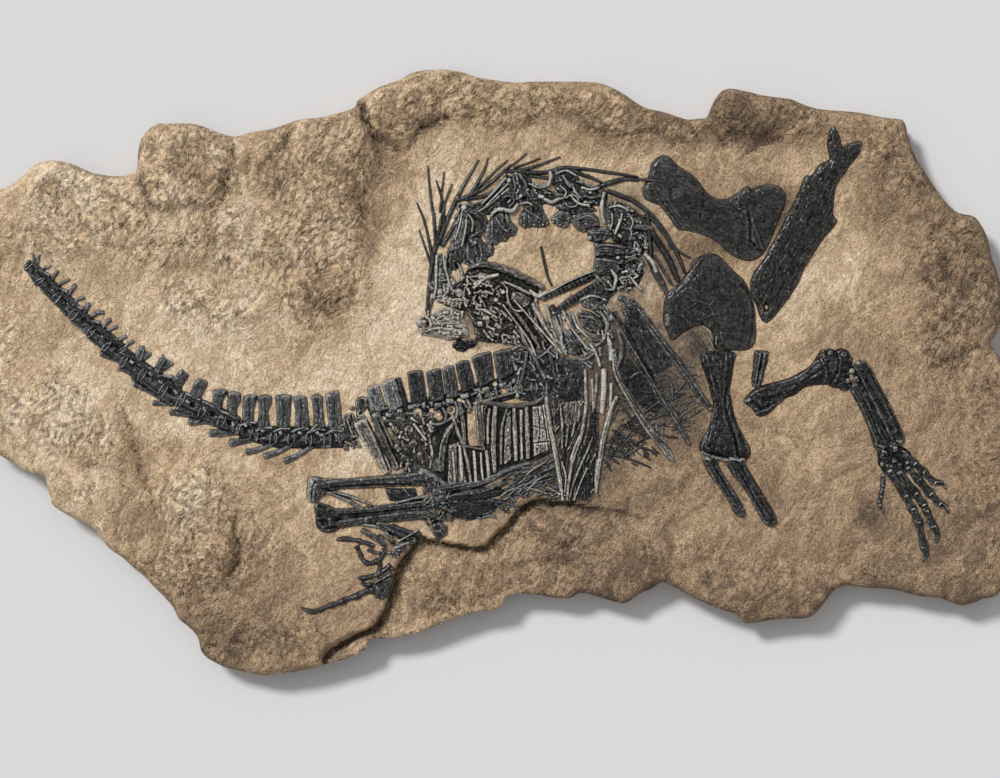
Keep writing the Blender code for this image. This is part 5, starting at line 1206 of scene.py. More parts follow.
bone("tibia", black_bone, [
    bar([(318, 508, 6.5), (328, 511, 5.6), (340, 513, 4.6), (380, 510, 5), (425, 504, 5.4)], 8.2, -0.3),
    ridge([(328, 509, 1.2), (360, 509, 1.2), (400, 504, 1.2), (424, 501, 1.2)], 1.3),
    ridge([(340, 515, 1.1), (380, 512, 1.1), (420, 507, 1.1)], -1.4),
    lump(317, 506, 4.5, 3.4, 70, 8.8, 0.2),
    bar([(396, 503, 1.8), (412, 499, 2), (428, 496, 1.8)], 6.4, 0.4)], 0.66)
bone("fibula", black_bone, [
    plate([(316, 516), (324, 515), (334, 517), (342, 519), (342, 526), (336, 530), (330, 532), (322, 531),
           (317, 526)], 6.8, 2.6, -0.5),
    pit(324, 522, 4, 3.4), ridge([(318, 529, 1.2), (326, 531, 1.2), (336, 529, 1.2)], 1.8),
    bar([(330, 525, 4.4), (345, 523, 4.4), (385, 518, 4.8), (428, 514, 4.6)], 7.4, -0.1),
    ridge([(340, 521, 1.1), (385, 515, 1.1), (426, 511, 1.1)], 1.2),
    ridge([(345, 526, 1), (390, 521, 1)], -1)], 0.66)
bone("ankle_bones", black_bone, [
    lump(435, 503, 8, 6, 0, 7.6, 0), lump(442, 494, 7, 5, 80, 7, 0.3), lump(432, 488, 6, 4, 0, 6.4, -0.2),
    lump(446, 508, 6, 5, 60, 7, 0.1),
    plate([(430, 526), (434, 522), (440, 521), (447, 527), (446, 535), (438, 539), (433, 533)], 6.6, 2,
          0.1), pit(437, 528, 2.2, 3), pit(441, 510, 2.4, 3.4),
    bar([(421, 470, 3), (432, 476, 3.4), (444, 484, 3)], 6.6, 0.4),
    bar([(418, 512, 3.4), (430, 516, 4), (444, 517, 3.4)], 6.6, -0.3),
    bar([(362, 530, 2.6), (374, 537, 3.2), (385, 545, 2.8)], 4.6, -0.1),
    bar([(378, 524, 4), (396, 532, 5), (413, 540, 4.2)], 5.2, 0.2),
    bar([(395, 548, 2.4), (405, 544, 2.6), (415, 540, 2.4)], 4.8, 0.3),
    bar([(392, 526, 2.6), (408, 532, 2.8), (420, 534, 2.4)], 5.6, -0.4),
    lump(384, 548, 3.6, 3, 0, 5, -0.3), lump(390, 553, 3.4, 3, 0, 4.6, 0.1),
    lump(399, 550, 3, 2.4, 20, 4.6, 0.4),
    bar([(362, 524, 1.6), (374, 526, 1.8), (384, 528, 1.6)], 4.4, 0.5),
    bar([(398, 541, 1.6), (408, 536, 1.6), (418, 530, 1.6)], 6, 0.6),
    ridge([(366, 530, 1), (384, 541, 1)], 0.9), ridge([(384, 530, 1.2), (404, 539, 1.2)], -1.2),
    jumble([(416, 466), (452, 478), (454, 518), (424, 522)], 44, 10, 1.6, 7.4, 41, (0, 180), 0),
    jumble([(376, 526), (418, 534), (402, 556), (384, 554)], 20, 8, 1.4, 5.2, 43, (10, 80), 0)], 0.64)

slender_bone = bone_finish("slender_bone", (0.0030, 0.0031, 0.0033), (0.038, 0.039, 0.040),
                           (0.420, 0.400, 0.350), 0.26, 0.40, 0.0006)

bone("toe_1", slender_bone, [
    bar([(337, 540, 1.5), (341, 539, 2.5), (346, 539, 3), (351, 540, 2.2)], 3.6, -0.2),
    bar([(350, 539, 2.8), (354, 540, 2), (360, 541, 3)], 3.8, 0.1),
    bar([(360, 542, 3), (366, 543, 2.5), (373, 546, 3.2)], 4, 0.2),
    bar([(357, 547, 3), (359, 551, 2.2), (361, 556, 3.1)], 4, 0),
    bar([(361, 556, 3), (363, 560, 2.2), (367, 563, 3.2)], 4, 0.3),
    bar([(367, 563, 3.1), (372, 563, 2.4), (377, 561, 3.4)], 4.2, 0),
    bar([(378, 562, 3), (381, 558, 2.2), (384, 553, 3)], 4.2, 0.2),
    bar([(379, 562, 3), (380, 568, 2.4), (377, 576, 3)], 4, 0.1),
    bar([(368, 550, 1.8), (374, 552, 2), (380, 553, 1.8)], 3.8, 0.5)])
bone("toe_2", slender_bone, [
    bar([(359, 578, 2), (364, 578, 3), (370, 577, 2.5)], 3.4, 0),
    bar([(370, 577, 3), (375, 575, 2.2), (380, 572, 3.2)], 3.8, 0.3),
    bar([(380, 573, 3.2), (385, 570, 2.8), (390, 566, 3.5)], 4.2, 0.1),
    bar([(362, 583, 2), (367, 585, 2.5), (372, 584, 2)], 3.4, -0.1),
    bar([(374, 583, 2.2), (382, 579, 2.2), (391, 574, 2.8)], 3.8, 0.4),
    lump(392, 569, 3.2, 2.6, 40, 4.4, 0.5)])
bone("toe_3", slender_bone, [
    bar([(301, 607, 1.6), (305, 609, 2.6), (310, 611, 3.4), (315, 611, 3.2), (320, 609, 2.5)], 8.6, -0.1),
    bar([(320, 610, 3.8), (326, 607, 2.9), (332, 605, 3.8)], 8, 0.2),
    bar([(332, 605, 3.8), (337, 603, 2.9), (343, 601, 3.8)], 6.8, 0.1),
    bar([(343, 601, 3.8), (350, 598, 3), (357, 596, 3.9)], 5.6, 0.3),
    bar([(357, 596, 3.9), (365, 592, 3.2), (373, 590, 4.2)], 5.2, 0.1),
    plate([(374, 588), (380, 583), (392, 580), (391, 587), (388, 594), (383, 599), (375, 597)], 4.8, 1.6,
          0.4),
    lump(380, 585, 3, 2.4, 0, 5, -0.4), ridge([(303, 609, 0.9), (311, 613, 1), (318, 611, 0.9)], 0.8),
    lump(386, 586, 3, 2, 60, 5.4, 0.7)])

# Chest
# Long dark rods and paler ribs that cross the belly, with the fine net of belly rods in brown matrix
# between them. Everything lies loose on its neighbours, as it settled.
bone("long_rod_1", black_bone, [
    bar([(620, 298, 3), (632, 303, 4), (645, 318, 4.2), (655, 333, 4.2), (668, 350, 4.2), (680, 365, 4.2),
         (690, 380, 4), (700, 395, 3.8), (711, 409, 3.2)], 5.6, 0.1),
    ridge([(634, 304, 1), (656, 332, 1), (682, 366, 1), (708, 404, 0.9)], 0.9),
    ridge([(630, 307, 0.9), (654, 338, 0.9), (690, 386, 0.9)], -0.8)])
bone("long_rod_2", black_bone, [
    plate([(622, 306), (636, 304), (650, 322), (668, 350), (674, 364), (654, 376), (640, 356), (628, 334)],
          3, 1.6, 0.25), ridge([(640, 316, 1), (650, 338, 1), (662, 360, 1)], 0.7),
    bar([(608, 312, 3), (620, 325, 3.6), (630, 345, 3.8), (640, 362, 3.8), (650, 378, 3.8), (662, 400, 3.8),
         (672, 412, 3.6), (682, 430, 3.2), (689, 444, 2)], 5.6, 0),
    bar([(615, 312, 1.8), (622, 325, 2), (632, 342, 2), (638, 355, 1.6)], 4.4, -0.4),
    ridge([(612, 316, 0.9), (638, 358, 0.9), (664, 402, 0.9), (684, 436, 0.8)], 1),
    bar([(650, 376, 1.4), (640, 372, 1.4), (630, 378, 1.2)], 3.4, -0.2)])
bone("chest_rib_3", rib_bone, [
    bar([(613, 350, 3), (615, 362, 3.2), (616, 372, 3.2), (622, 385, 3.6), (628, 395, 4), (640, 415, 4.4),
         (650, 430, 4.6), (661, 442, 4.6), (668, 453, 4), (673, 461, 2.2)], 5.6, 0.1),
    ridge([(612, 352, 1), (614, 372, 1), (626, 396, 1.1), (646, 430, 1.1), (664, 452, 1)], 1),
    ridge([(622, 380, 1.2), (640, 410, 1.3), (660, 436, 1.2)], -1.3)])
bone("chest_rib_2", rib_bone, [
    bar([(617, 397, 2.4), (611, 410, 2.9), (607, 425, 3), (603, 440, 3), (601, 455, 3), (598, 470, 2.8),
         (596, 492, 2)], 5.2, 0.3),
    ridge([(614, 400, 1), (604, 428, 1), (599, 456, 1), (594, 488, 0.8)], 1.1),
    ridge([(616, 404, 0.9), (607, 436, 0.9), (601, 470, 0.9)], -1.2)])
bone("chest_rib_1", rib_bone, [
    bar([(604, 370, 2.8), (604, 385, 3.2), (603, 400, 3), (602, 413, 2.2)], 5.6, 1),
    bar([(597, 374, 1.8), (596, 390, 2), (594, 408, 1.6)], 4.4, -0.1),
    bar([(611, 384, 1.6), (611, 395, 1.6), (610, 406, 1.3)], 3.8, 0.6)])
bone("gastralia", slender_bone, [
    plate([(609, 350), (620, 348), (632, 362), (650, 384), (664, 404), (656, 414), (638, 404), (622, 396),
           (612, 378)], 1.1, 2, -0.5),
    [bar(path, 2.8, tone) for path, tone in (
        ([(604, 454, 1.5), (622, 457, 1.6), (640, 463, 1.5), (651, 468, 1.2)], 0),
        ([(605, 447, 1.2), (615, 450, 1.5), (626, 455, 1.3)], 0.2),
        ([(621, 457, 1.4), (632, 452, 1.3), (641, 446, 1.3)], 0.7),
        ([(605, 441, 1.3), (612, 442, 1.3), (618, 445, 1.2)], 0.1),
        ([(613, 437, 1.4), (620, 445, 1.4), (627, 457, 1.3)], 0),
        ([(620, 430, 1.2), (622, 434, 1.3), (625, 438, 1.1)], 0.4),
        ([(621, 425, 1.3), (632, 428, 1.4), (643, 427, 1.2)], -0.1),
        ([(629, 419, 1.1), (635, 421, 1.3), (641, 424, 1.1)], 0.3),
        ([(629, 430, 1.3), (638, 432, 1.4), (649, 438, 1.2)], 0),
        ([(625, 437, 1.2), (629, 433, 1.3), (633, 429, 1.1)], 0.2),
        ([(622, 446, 1.2), (630, 440, 1.4), (640, 447, 1.3), (647, 449, 1.2), (656, 453, 1.2)], 0),
        ([(610, 457, 1.2), (614, 460, 1.3), (619, 464, 1.1)], 0.3),
        ([(604, 460, 1.2), (608, 465, 1.3), (611, 471, 1.1)], 0.1),
        ([(612, 430, 1.1), (618, 434, 1.2)], 0), ([(643, 413, 1.2), (655, 405, 1.4), (661, 400, 1.1)], 0.1),
        ([(650, 419, 1.2), (660, 416, 1.3), (669, 413, 1.1)], 0.2),
        ([(663, 435, 1.1), (669, 437, 1.3), (675, 437, 1.1)], 0),
        ([(672, 400, 1.1), (678, 396, 1.3), (685, 393, 1.1)], 0),
        ([(675, 393, 1.1), (680, 388, 1.3), (685, 382, 1.1)], 0.3),
        ([(650, 382, 1.1), (656, 389, 1.2)], 0), ([(642, 391, 1.1), (652, 393, 1.2)], 0.2),
        ([(628, 422, 1.3), (633, 416, 1.4), (638, 409, 1.2)], 0.9),
        ([(656, 424, 1.3), (657, 431, 1.3)], 0.9), ([(672, 387, 1.2), (672, 398, 1.2)], 0.9),
        ([(690, 386, 1), (694, 390, 1.2), (697, 396, 1)], 0.4),
        ([(618, 446, 1.2), (612, 452, 1.2), (609, 458, 1.1)], 0.2),
        ([(630, 439, 1.2), (628, 448, 1.3), (623, 456, 1.2)], 0.1),
        ([(640, 431, 1.1), (646, 433, 1.2), (652, 431, 1)], 0.2),
        ([(636, 443, 1.2), (642, 439, 1.2), (648, 438, 1.1)], 0.2),
        ([(623, 409, 1.1), (628, 414, 1.2), (631, 421, 1.1)], 0.2), ([(661, 437, 1.1), (663, 442, 1.2)], 0))],
    jumble([(608, 426), (650, 418), (660, 450), (640, 466), (606, 462)], 34, 11, 1.1, 2.6, 47, (20, 60), 0),
    jumble([(608, 426), (650, 418), (656, 446), (636, 460), (606, 456)], 26, 10, 1, 2.6, 53, (120, 165), 0),
    jumble([(640, 372), (700, 372), (706, 412), (678, 444), (656, 410)], 30, 10, 1, 2.4, 59, (-50, 50), 0.1),
    jumble([(568, 412), (598, 410), (600, 470), (574, 470)], 26, 12, 1, 2.6, 61, (20, 130), 0),
    jumble([(612, 386), (690, 366), (706, 418), (676, 446), (620, 424)], 70, 15, 0.75, 1.9, 83, (-40, 40),
           -0.2),
    jumble([(604, 400), (660, 380), (690, 410), (650, 446), (604, 470)], 60, 15, 0.75, 1.9, 89, (100, 160),
           -0.1)], 0.6)

# Skull
# The skull lies on its side, crushed: a pale pitted snout block, a brown matrix-filled eye opening
# under a dark roof bar, long cheek bars, and the two toothed jaw bars lying across the throat.
skull_bone = bone_finish("skull_bone", (0.0060, 0.0055, 0.0050), (0.300, 0.268, 0.228), (0.690, 0.630, 0.540),
                         0.70, 0.30, 0.0010)

bone("skull", skull_bone, [
    plate([(454, 343), (459, 339.5), (464, 341.5), (470, 340), (477, 341.5), (475, 346), (468, 349),
           (464, 352), (457, 350), (453, 347)], 1.6, 1, -2),
    plate([(416, 321), (420, 316), (425, 319), (432, 316), (436, 311), (445, 309), (455, 311), (463, 316),
           (466, 325), (469, 335),
           (462, 338), (450, 340), (440, 338), (430, 336), (421, 334), (419, 328)], 7, 3, 0.9),
    plate([(440, 302), (450, 290), (462, 280), (470, 268), (482, 265), (498, 268), (520, 277), (538, 288),
           (534, 306), (546, 326), (552, 344),
           (538, 348), (514, 343), (490, 342), (476, 339), (470, 330), (464, 312)], 4, 2.4, -0.9),
    bar([(470, 268, 2.6), (482, 265, 3.6), (496, 267, 4.2), (510, 272, 4.4), (526, 279, 4.2),
         (543, 288, 3)], 9.6, -0.9),
    ridge([(472, 264, 0.9), (496, 263, 0.9), (520, 271, 0.9)], 1.4),
    bar([(504, 282, 1.8), (516, 287, 2.4), (530, 294, 2.2)], 8.4, 0.3),
    bar([(507, 288, 1.4), (508, 300, 1.6), (514, 310, 1.6), (525, 311, 1.4)], 8, 0.6),
    plate([(511, 291), (522, 291), (531, 297), (531, 305), (524, 309), (515, 305), (510, 299)], 5.4, 1.6,
          0.15), bar([(530, 291, 2.4), (538, 296, 3), (548, 292, 2.6)], 8.6, 0.8),
    bar([(503, 305, 1.2), (512, 317, 1.4), (521, 329, 1.4), (530, 342, 1.3), (536, 356, 1)], 8.8, 1),
    bar([(507, 302, 2.4), (518, 316, 3), (530, 332, 3), (540, 348, 2.2)], 8, -0.9),
    bar([(514, 300, 1.3), (530, 318, 1.6), (546, 336, 1.6), (562, 354, 1.3)], 8.6, 0.9),
    bar([(533, 304, 2.4), (540, 318, 3), (548, 332, 2.6), (556, 342, 2)], 7.6, 0.5),
    bar([(528, 310, 1.6), (536, 326, 2.2), (546, 342, 1.8)], 7, -0.9),
    bar([(472, 304, 3), (482, 296, 4.6), (492, 292, 4), (500, 286, 2.6)], 8, -1),
    bar([(474, 288, 2.4), (484, 279, 3.2), (498, 275, 2.4)], 8.4, 0.9), lump(482, 277, 6, 4, 10, 8.2, 1),
    lump(476, 284, 5, 4, 60, 8, 0.8),
    lump(447, 300, 8, 5, 20, 6.8, 0.9), lump(459, 293, 7, 5, 40, 6.8, 0.7), lump(440, 292, 5, 4, 0, 6, 0.5),
    lump(455, 304, 7, 4, 0, 7, 0.2), lump(503, 292, 4, 3, 60, 8.2, 1), lump(496, 300, 4, 3, 30, 7.6, 0.8),
    lump(486, 318, 6, 4, 20, 6.4, 0.6), lump(498, 326, 6, 4, 30, 6.2, 0.1),
    lump(512, 338, 7, 4, 10, 5.8, 0.4), lump(480, 324, 5, 4, 0, 6.4, 0.8),
    bar([(476, 309, 2), (486, 311, 2.4), (497, 318, 2)], 7.4, 0.7),
    ridge([(463, 312, 1.8), (470, 322, 2.4), (474, 336, 1.8)], -5), pit(428, 324, 2, 3.6),
    pit(441, 318, 1.8, 3.2), pit(452, 327, 2.6, 3), pit(436, 331, 1.8, 3.2),
    pit(486, 294, 5, 5), pit(478, 298, 4, 4), pit(494, 310, 2.6, 4), pit(506, 322, 2.2, 4),
    pit(492, 334, 2.4, 4), pit(478, 314, 2.4, 3.6), pit(466, 300, 2.6, 4), pit(520, 344, 2.4, 3.4),
    ridge([(420, 327, 1.2), (440, 326, 1.3), (462, 329, 1.2)], -1.8), lump(424, 322, 4, 2.6, 10, 8.2, 1),
    lump(433, 318, 4, 2.6, 40, 8.4, 1), lump(446, 313, 5, 3, 0, 8.6, 0.9), lump(458, 318, 4, 3, 60, 8.4, 1),
    lump(430, 330, 4, 2.6, 0, 7.8, 0.8), lump(446, 333, 6, 3, 0, 8, 0.9),
    lump(460, 333, 4, 3, 20, 7.8, 0.7),
    jumble([(418, 314), (466, 312), (466, 338), (422, 334)], 26, 7, 2, 8.4, 67, (0, 180), 0.9),
    jumble([(436, 296), (462, 276), (504, 274), (508, 290), (470, 308), (440, 306)], 54, 8, 2, 8, 71,
           (0, 180), 0.5),
    jumble([(474, 304), (506, 300), (534, 344), (484, 340)], 50, 9, 2, 7.2, 73, (20, 80), 0.15),
    jumble([(532, 290), (544, 300), (560, 344), (536, 348)], 20, 12, 1.9, 7.4, 79, (50, 80), 0.3)], 0.64, 1.4)
bone("lower_jaw", black_bone, [
    bar([(543, 299, 2.6), (552, 294, 3.8), (560, 290, 4.4), (576, 283, 4.4), (590, 277, 4.2),
         (600, 272, 3.2)], 6.8, -0.2),
    bar([(554, 315, 3.2), (565, 305, 4.4), (578, 297, 4.8), (592, 288, 4.4), (604, 279, 3.4)], 6.8, -0.2),
    ridge([(548, 300, 1), (570, 289, 1), (594, 277, 1)], -1.3),
    ridge([(562, 312, 1), (580, 301, 1), (600, 287, 1)], -1.3),
    [ridge([(x - 1.6, y - 3.4, 0.7), (x + 1.6, y + 2.6, 0.7)], 1.6)
     for x, y in zip(np.arange(558, 602, 3.6), np.arange(312, 280, -2.66))],
    [ridge([(x - 1.2, y - 1.6, 0.7), (x + 1.4, y + 3.4, 0.7)], 1.3)
     for x, y in zip(np.arange(550, 596, 4.0), np.arange(297, 272, -2.16))],
    bar([(548, 293, 1.1), (570, 281, 1.3), (594, 271, 1.1)], 8, 1), lump(546, 294, 5, 4, 60, 6.2, -0.5),
    bar([(546, 305, 1.4), (549, 315, 1.6), (552, 325, 1.3)], 5.6, 1),
    bar([(552, 306, 3), (556, 316, 3.6), (560, 326, 3)], 4.8, -0.6),
    bar([(547, 330, 1.3), (555, 343, 1.5), (563, 356, 1.2)], 4.6, 0.9),
    bar([(558, 322, 1.2), (568, 336, 1.4), (578, 350, 1.2)], 4.4, 0.7)])
bone("loose_rod", slender_bone,
     [bar([(541, 247, 1.6), (543, 256, 1.8), (545, 265, 1.8), (548, 277, 1.5), (552, 286, 1.2)], 3.6, -0.1)])

# Neck
# Neck vertebrae that curl back over the trunk, dark grey with bright crests, pale partly from wear and
# partly as a painted glint; some pale lumps and bars on the fan spines are painted highlights. Each is a
# long waisted body on the outer side of the curve with a fan-shaped spine on the inner side.
neck_bone = bone_finish("neck_bone", (0.0030, 0.0031, 0.0032), (0.215, 0.214, 0.206), (0.670, 0.650, 0.600),
                        0.62, 0.34, 0.0008)

bone("neck_vertebrae_1", neck_bone, [
    spool(441, 258, 441, 276, 6, 6, 0.5), spool(441, 279, 441, 298, 6, 6, 0.2),
    bar([(437, 256, 1.8), (436, 285, 2), (434, 298, 1.6)], 7.2, 0.9),
    bar([(443, 256, 1.7), (447, 275, 2), (452, 290, 1.6)], 7.4, 0.8),
    plate([(449, 247), (454, 246), (460, 242), (465, 247), (464, 256), (460, 264), (455, 270), (449, 268),
           (447, 260)], 6.4, 2.2, -0.5),
    ridge([(450, 250, 1), (455, 249, 1), (461, 246, 0.9)], 0.9), lump(448, 271, 5, 4, 80, 5.6, -0.4),
    lump(452, 282, 6, 4, 70, 6.2, 0.9), lump(446, 290, 5, 4, 70, 5.6, 0.3),
    bar([(457, 262, 1.6), (461, 270, 1.8), (462, 276, 1.4)], 6, 0.2),
    jumble([(432, 256), (448, 258), (456, 276), (454, 302), (430, 302)], 17, 10, 2.1, 7, 83, (60, 110), 0.1)])
bone("neck_vertebrae_2", neck_bone, [
    plate([(468, 236), (473, 233), (479, 236), (483, 243), (490, 244), (494, 248), (492, 255), (487, 257),
           (485, 263), (480, 268), (471, 267), (464, 262), (462, 254), (466, 245)], 6.4, 2.4, -0.2),
    bar([(455, 247, 6), (460, 236, 8), (464, 224, 8), (466, 212, 6)], 6.8, 0.2),
    bar([(462, 246, 1.4), (465, 232, 1.8), (467, 216, 1.5)], 8.4, 1),
    bar([(455, 240, 1.2), (459, 228, 1.6), (462, 214, 1.3)], 8.2, 0.8),
    bar([(470, 212, 3), (478, 215, 5.6), (482, 222, 5.6), (478, 232, 4.6), (471, 238, 3)], 7.4, -0.7),
    bar([(468, 214, 1.6), (473, 222, 1.8), (472, 232, 1.4)], 8.6, 0.3),
    ridge([(471, 240, 1.6), (474, 246, 2), (476, 254, 1.2)], 1.6), lump(475, 243, 4, 3, 60, 7.8, 1),
    pit(467, 218, 2, 2.6),
    ridge([(468, 246, 1), (468, 258, 1), (474, 264, 1)], 1.2),
    ridge([(480, 246, 1), (482, 254, 0.9), (480, 262, 0.9)], 1.1), lump(464, 208, 5, 4, 60, 7, 0.6),
    lump(471, 205, 5, 3, 20, 7, -0.4),
    jumble([(452, 248), (458, 206), (470, 206), (470, 232), (462, 248)], 11, 10, 1.9, 7.8, 89, (-80, -50),
           0.3)])
bone("neck_vertebrae_3", neck_bone, [
    plate([(495, 214), (501, 212), (508, 214), (511, 222), (517, 228), (515, 235), (509, 236), (506, 241),
           (499, 241), (495, 245), (488, 243), (485, 236), (486, 226), (491, 219)], 6.6, 2.4, -0.1),
    plate([(474, 208), (482, 202), (492, 196), (500, 186), (508, 176), (514, 178), (518, 190), (521, 202),
           (512, 210), (500, 214), (488, 214), (478, 216)], 6, 3, -0.4),
    bar([(478, 212, 1.6), (488, 206, 2.2), (500, 196, 1.8)], 8, -0.2),
    bar([(482, 204, 1.3), (494, 192, 1.6), (506, 178, 1.4)], 8.6, 0.6),
    bar([(486, 206, 1.2), (498, 194, 1.4), (508, 184, 1.2)], 8.4, 0.9),
    # Painted highlights: this pale bar and the pale lump at (501, 210) stand for glints on the fan spine
    bar([(492, 214, 2.2), (500, 209, 3), (512, 211, 3), (518, 204, 2)], 8, 1),
    lump(501, 210, 4, 2.4, 0, 8.8, 1), lump(509, 181, 4, 3.2, 0, 8.4, 0.8), pit(509, 201, 3.4, 5),
    ridge([(503, 198, 1), (509, 196, 1), (514, 201, 1), (509, 207, 1)], 1.6),
    ridge([(496, 218, 1), (501, 226, 1), (508, 232, 1)], 1.4), ridge([(492, 222, 1), (492, 236, 1)], 1.2),
    bar([(513, 176, 1.6), (515, 188, 2), (512, 198, 1.6)], 8, -0.8), lump(505, 175, 3, 2.4, 0, 8, 0.4),
    ridge([(504, 214, 1.2), (506, 224, 1.2)], -1.6),
    jumble([(480, 208), (506, 176), (516, 184), (520, 204), (492, 216)], 17, 9, 2.1, 7.8, 97, (-70, -20),
           0.2)])
bone("neck_vertebrae_4", neck_bone, [
    plate([(527, 204), (531, 199), (538, 199), (541, 204), (543, 212), (548, 220), (548, 225), (541, 227),
           (533, 226), (524, 228), (519, 223), (521, 214)], 6.6, 2.2, -0.3),
    plate([(514, 172), (522, 171), (530, 178), (533, 187), (544, 190), (554, 192), (560, 200), (556, 206),
           (546, 203), (538, 205), (528, 206), (519, 203), (517, 190)], 6.2, 3, -0.4),
    bar([(519, 174, 2.2), (524, 182, 3.4), (527, 192, 3.2), (531, 200, 2.2)], 8.2, -0.6),
    bar([(529, 184, 1.4), (540, 188, 1.8), (549, 185, 1.4)], 8, 0.4),
    bar([(520, 204, 1.6), (528, 203, 2), (533, 206, 1.6)], 8, 0.3),
    # Painted highlights: the pale lump at (541, 197) and the pale bar beside it stand for glints on the fan
    # spine
    lump(541, 197, 5, 3, 20, 8.8, 1), bar([(544, 199, 2.2), (552, 202, 2.6), (559, 199, 2)], 8.2, 0.9),
    lump(528, 190, 2.4, 1.8, 40, 8.4, 0.9), lump(521, 196, 3.4, 2.4, 60, 8.2, 0.5), pit(536, 193, 2.4, 4),
    pit(524, 199, 2, 3.4),
    [lump(x, y, 1.7, 1.2, 0, 6.6, 1)
     for x, y in ((524, 225), (529, 222), (534, 225), (539, 222), (543, 225), (547, 223))],
    ridge([(526, 210, 1), (532, 214, 1), (540, 219, 1)], 1.2),
    bar([(548, 186, 2), (551, 178, 2.4), (550, 172, 1.8)], 7.6, 0.7), lump(546, 193, 4, 3, 0, 7.6, -0.6),
    jumble([(514, 172), (530, 180), (556, 194), (548, 206), (518, 202)], 15, 8, 1.9, 7.8, 101, (10, 80),
           0.2)])
bone("neck_vertebrae_5", neck_bone, [
    plate([(551, 219), (557, 213), (562, 210), (570, 211), (572, 217), (568, 226), (564, 228), (556, 225)],
          6.4, 1.8, -0.1),
    plate([(556, 206), (563, 200), (575, 202), (590, 206), (596, 210), (584, 213), (572, 214), (562, 211)],
          6.2, 2, -0.6),
    plate([(554, 170), (562, 168), (572, 170), (578, 178), (580, 186), (590, 186), (600, 188), (607, 192),
           (606, 202), (596, 205), (580, 204), (566, 200), (558, 192), (552, 182)], 6.2, 3, -0.3),
    bar([(563, 176, 2.6), (568, 184, 3.4), (575, 192, 3), (580, 198, 2.2)], 8.2, 0.3),
    bar([(560, 186, 1.4), (566, 192, 1.6), (564, 198, 1.4)], 8.4, 0.9),
    bar([(571, 196, 1.5), (575, 201, 1.7), (582, 205, 1.7), (589, 205, 1.4)], 9, 1),
    bar([(566, 198, 1.4), (572, 195, 1.5), (578, 199, 1.4), (576, 206, 1.3), (569, 207, 1.3),
         (565, 203, 1.2)], 8.4, 0.4),
    bar([(604, 193, 2.2), (602, 203, 2.6), (602, 213, 2.4), (604, 223, 2)], 8.4, 0.9),
    bar([(556, 174, 1.5), (566, 171, 1.7), (576, 176, 1.5)], 8.4, 0.6),
    bar([(582, 188, 1.8), (590, 190, 2.2), (599, 188, 1.6)], 8.4, 0.8),
    bar([(584, 196, 1.8), (592, 198, 2.2), (600, 196, 1.8)], 8, -0.6), lump(590, 193, 3, 2, 0, 8.6, 1),
    [lump(x, y, 1.6, 1.2, 0, 6.6, 1)
     for x, y in ((553, 222), (557, 220), (560, 225), (565, 223), (568, 218), (556, 216))],
    pit(571, 190, 2.2, 4), pit(586, 200, 2.4, 4), pit(597, 193, 2, 3.6), pit(561, 180, 1.8, 3),
    jumble([(554, 172), (576, 176), (606, 192), (600, 206), (562, 204)], 22, 8, 1.9, 7.8, 103, (-20, 70),
           0.2)])
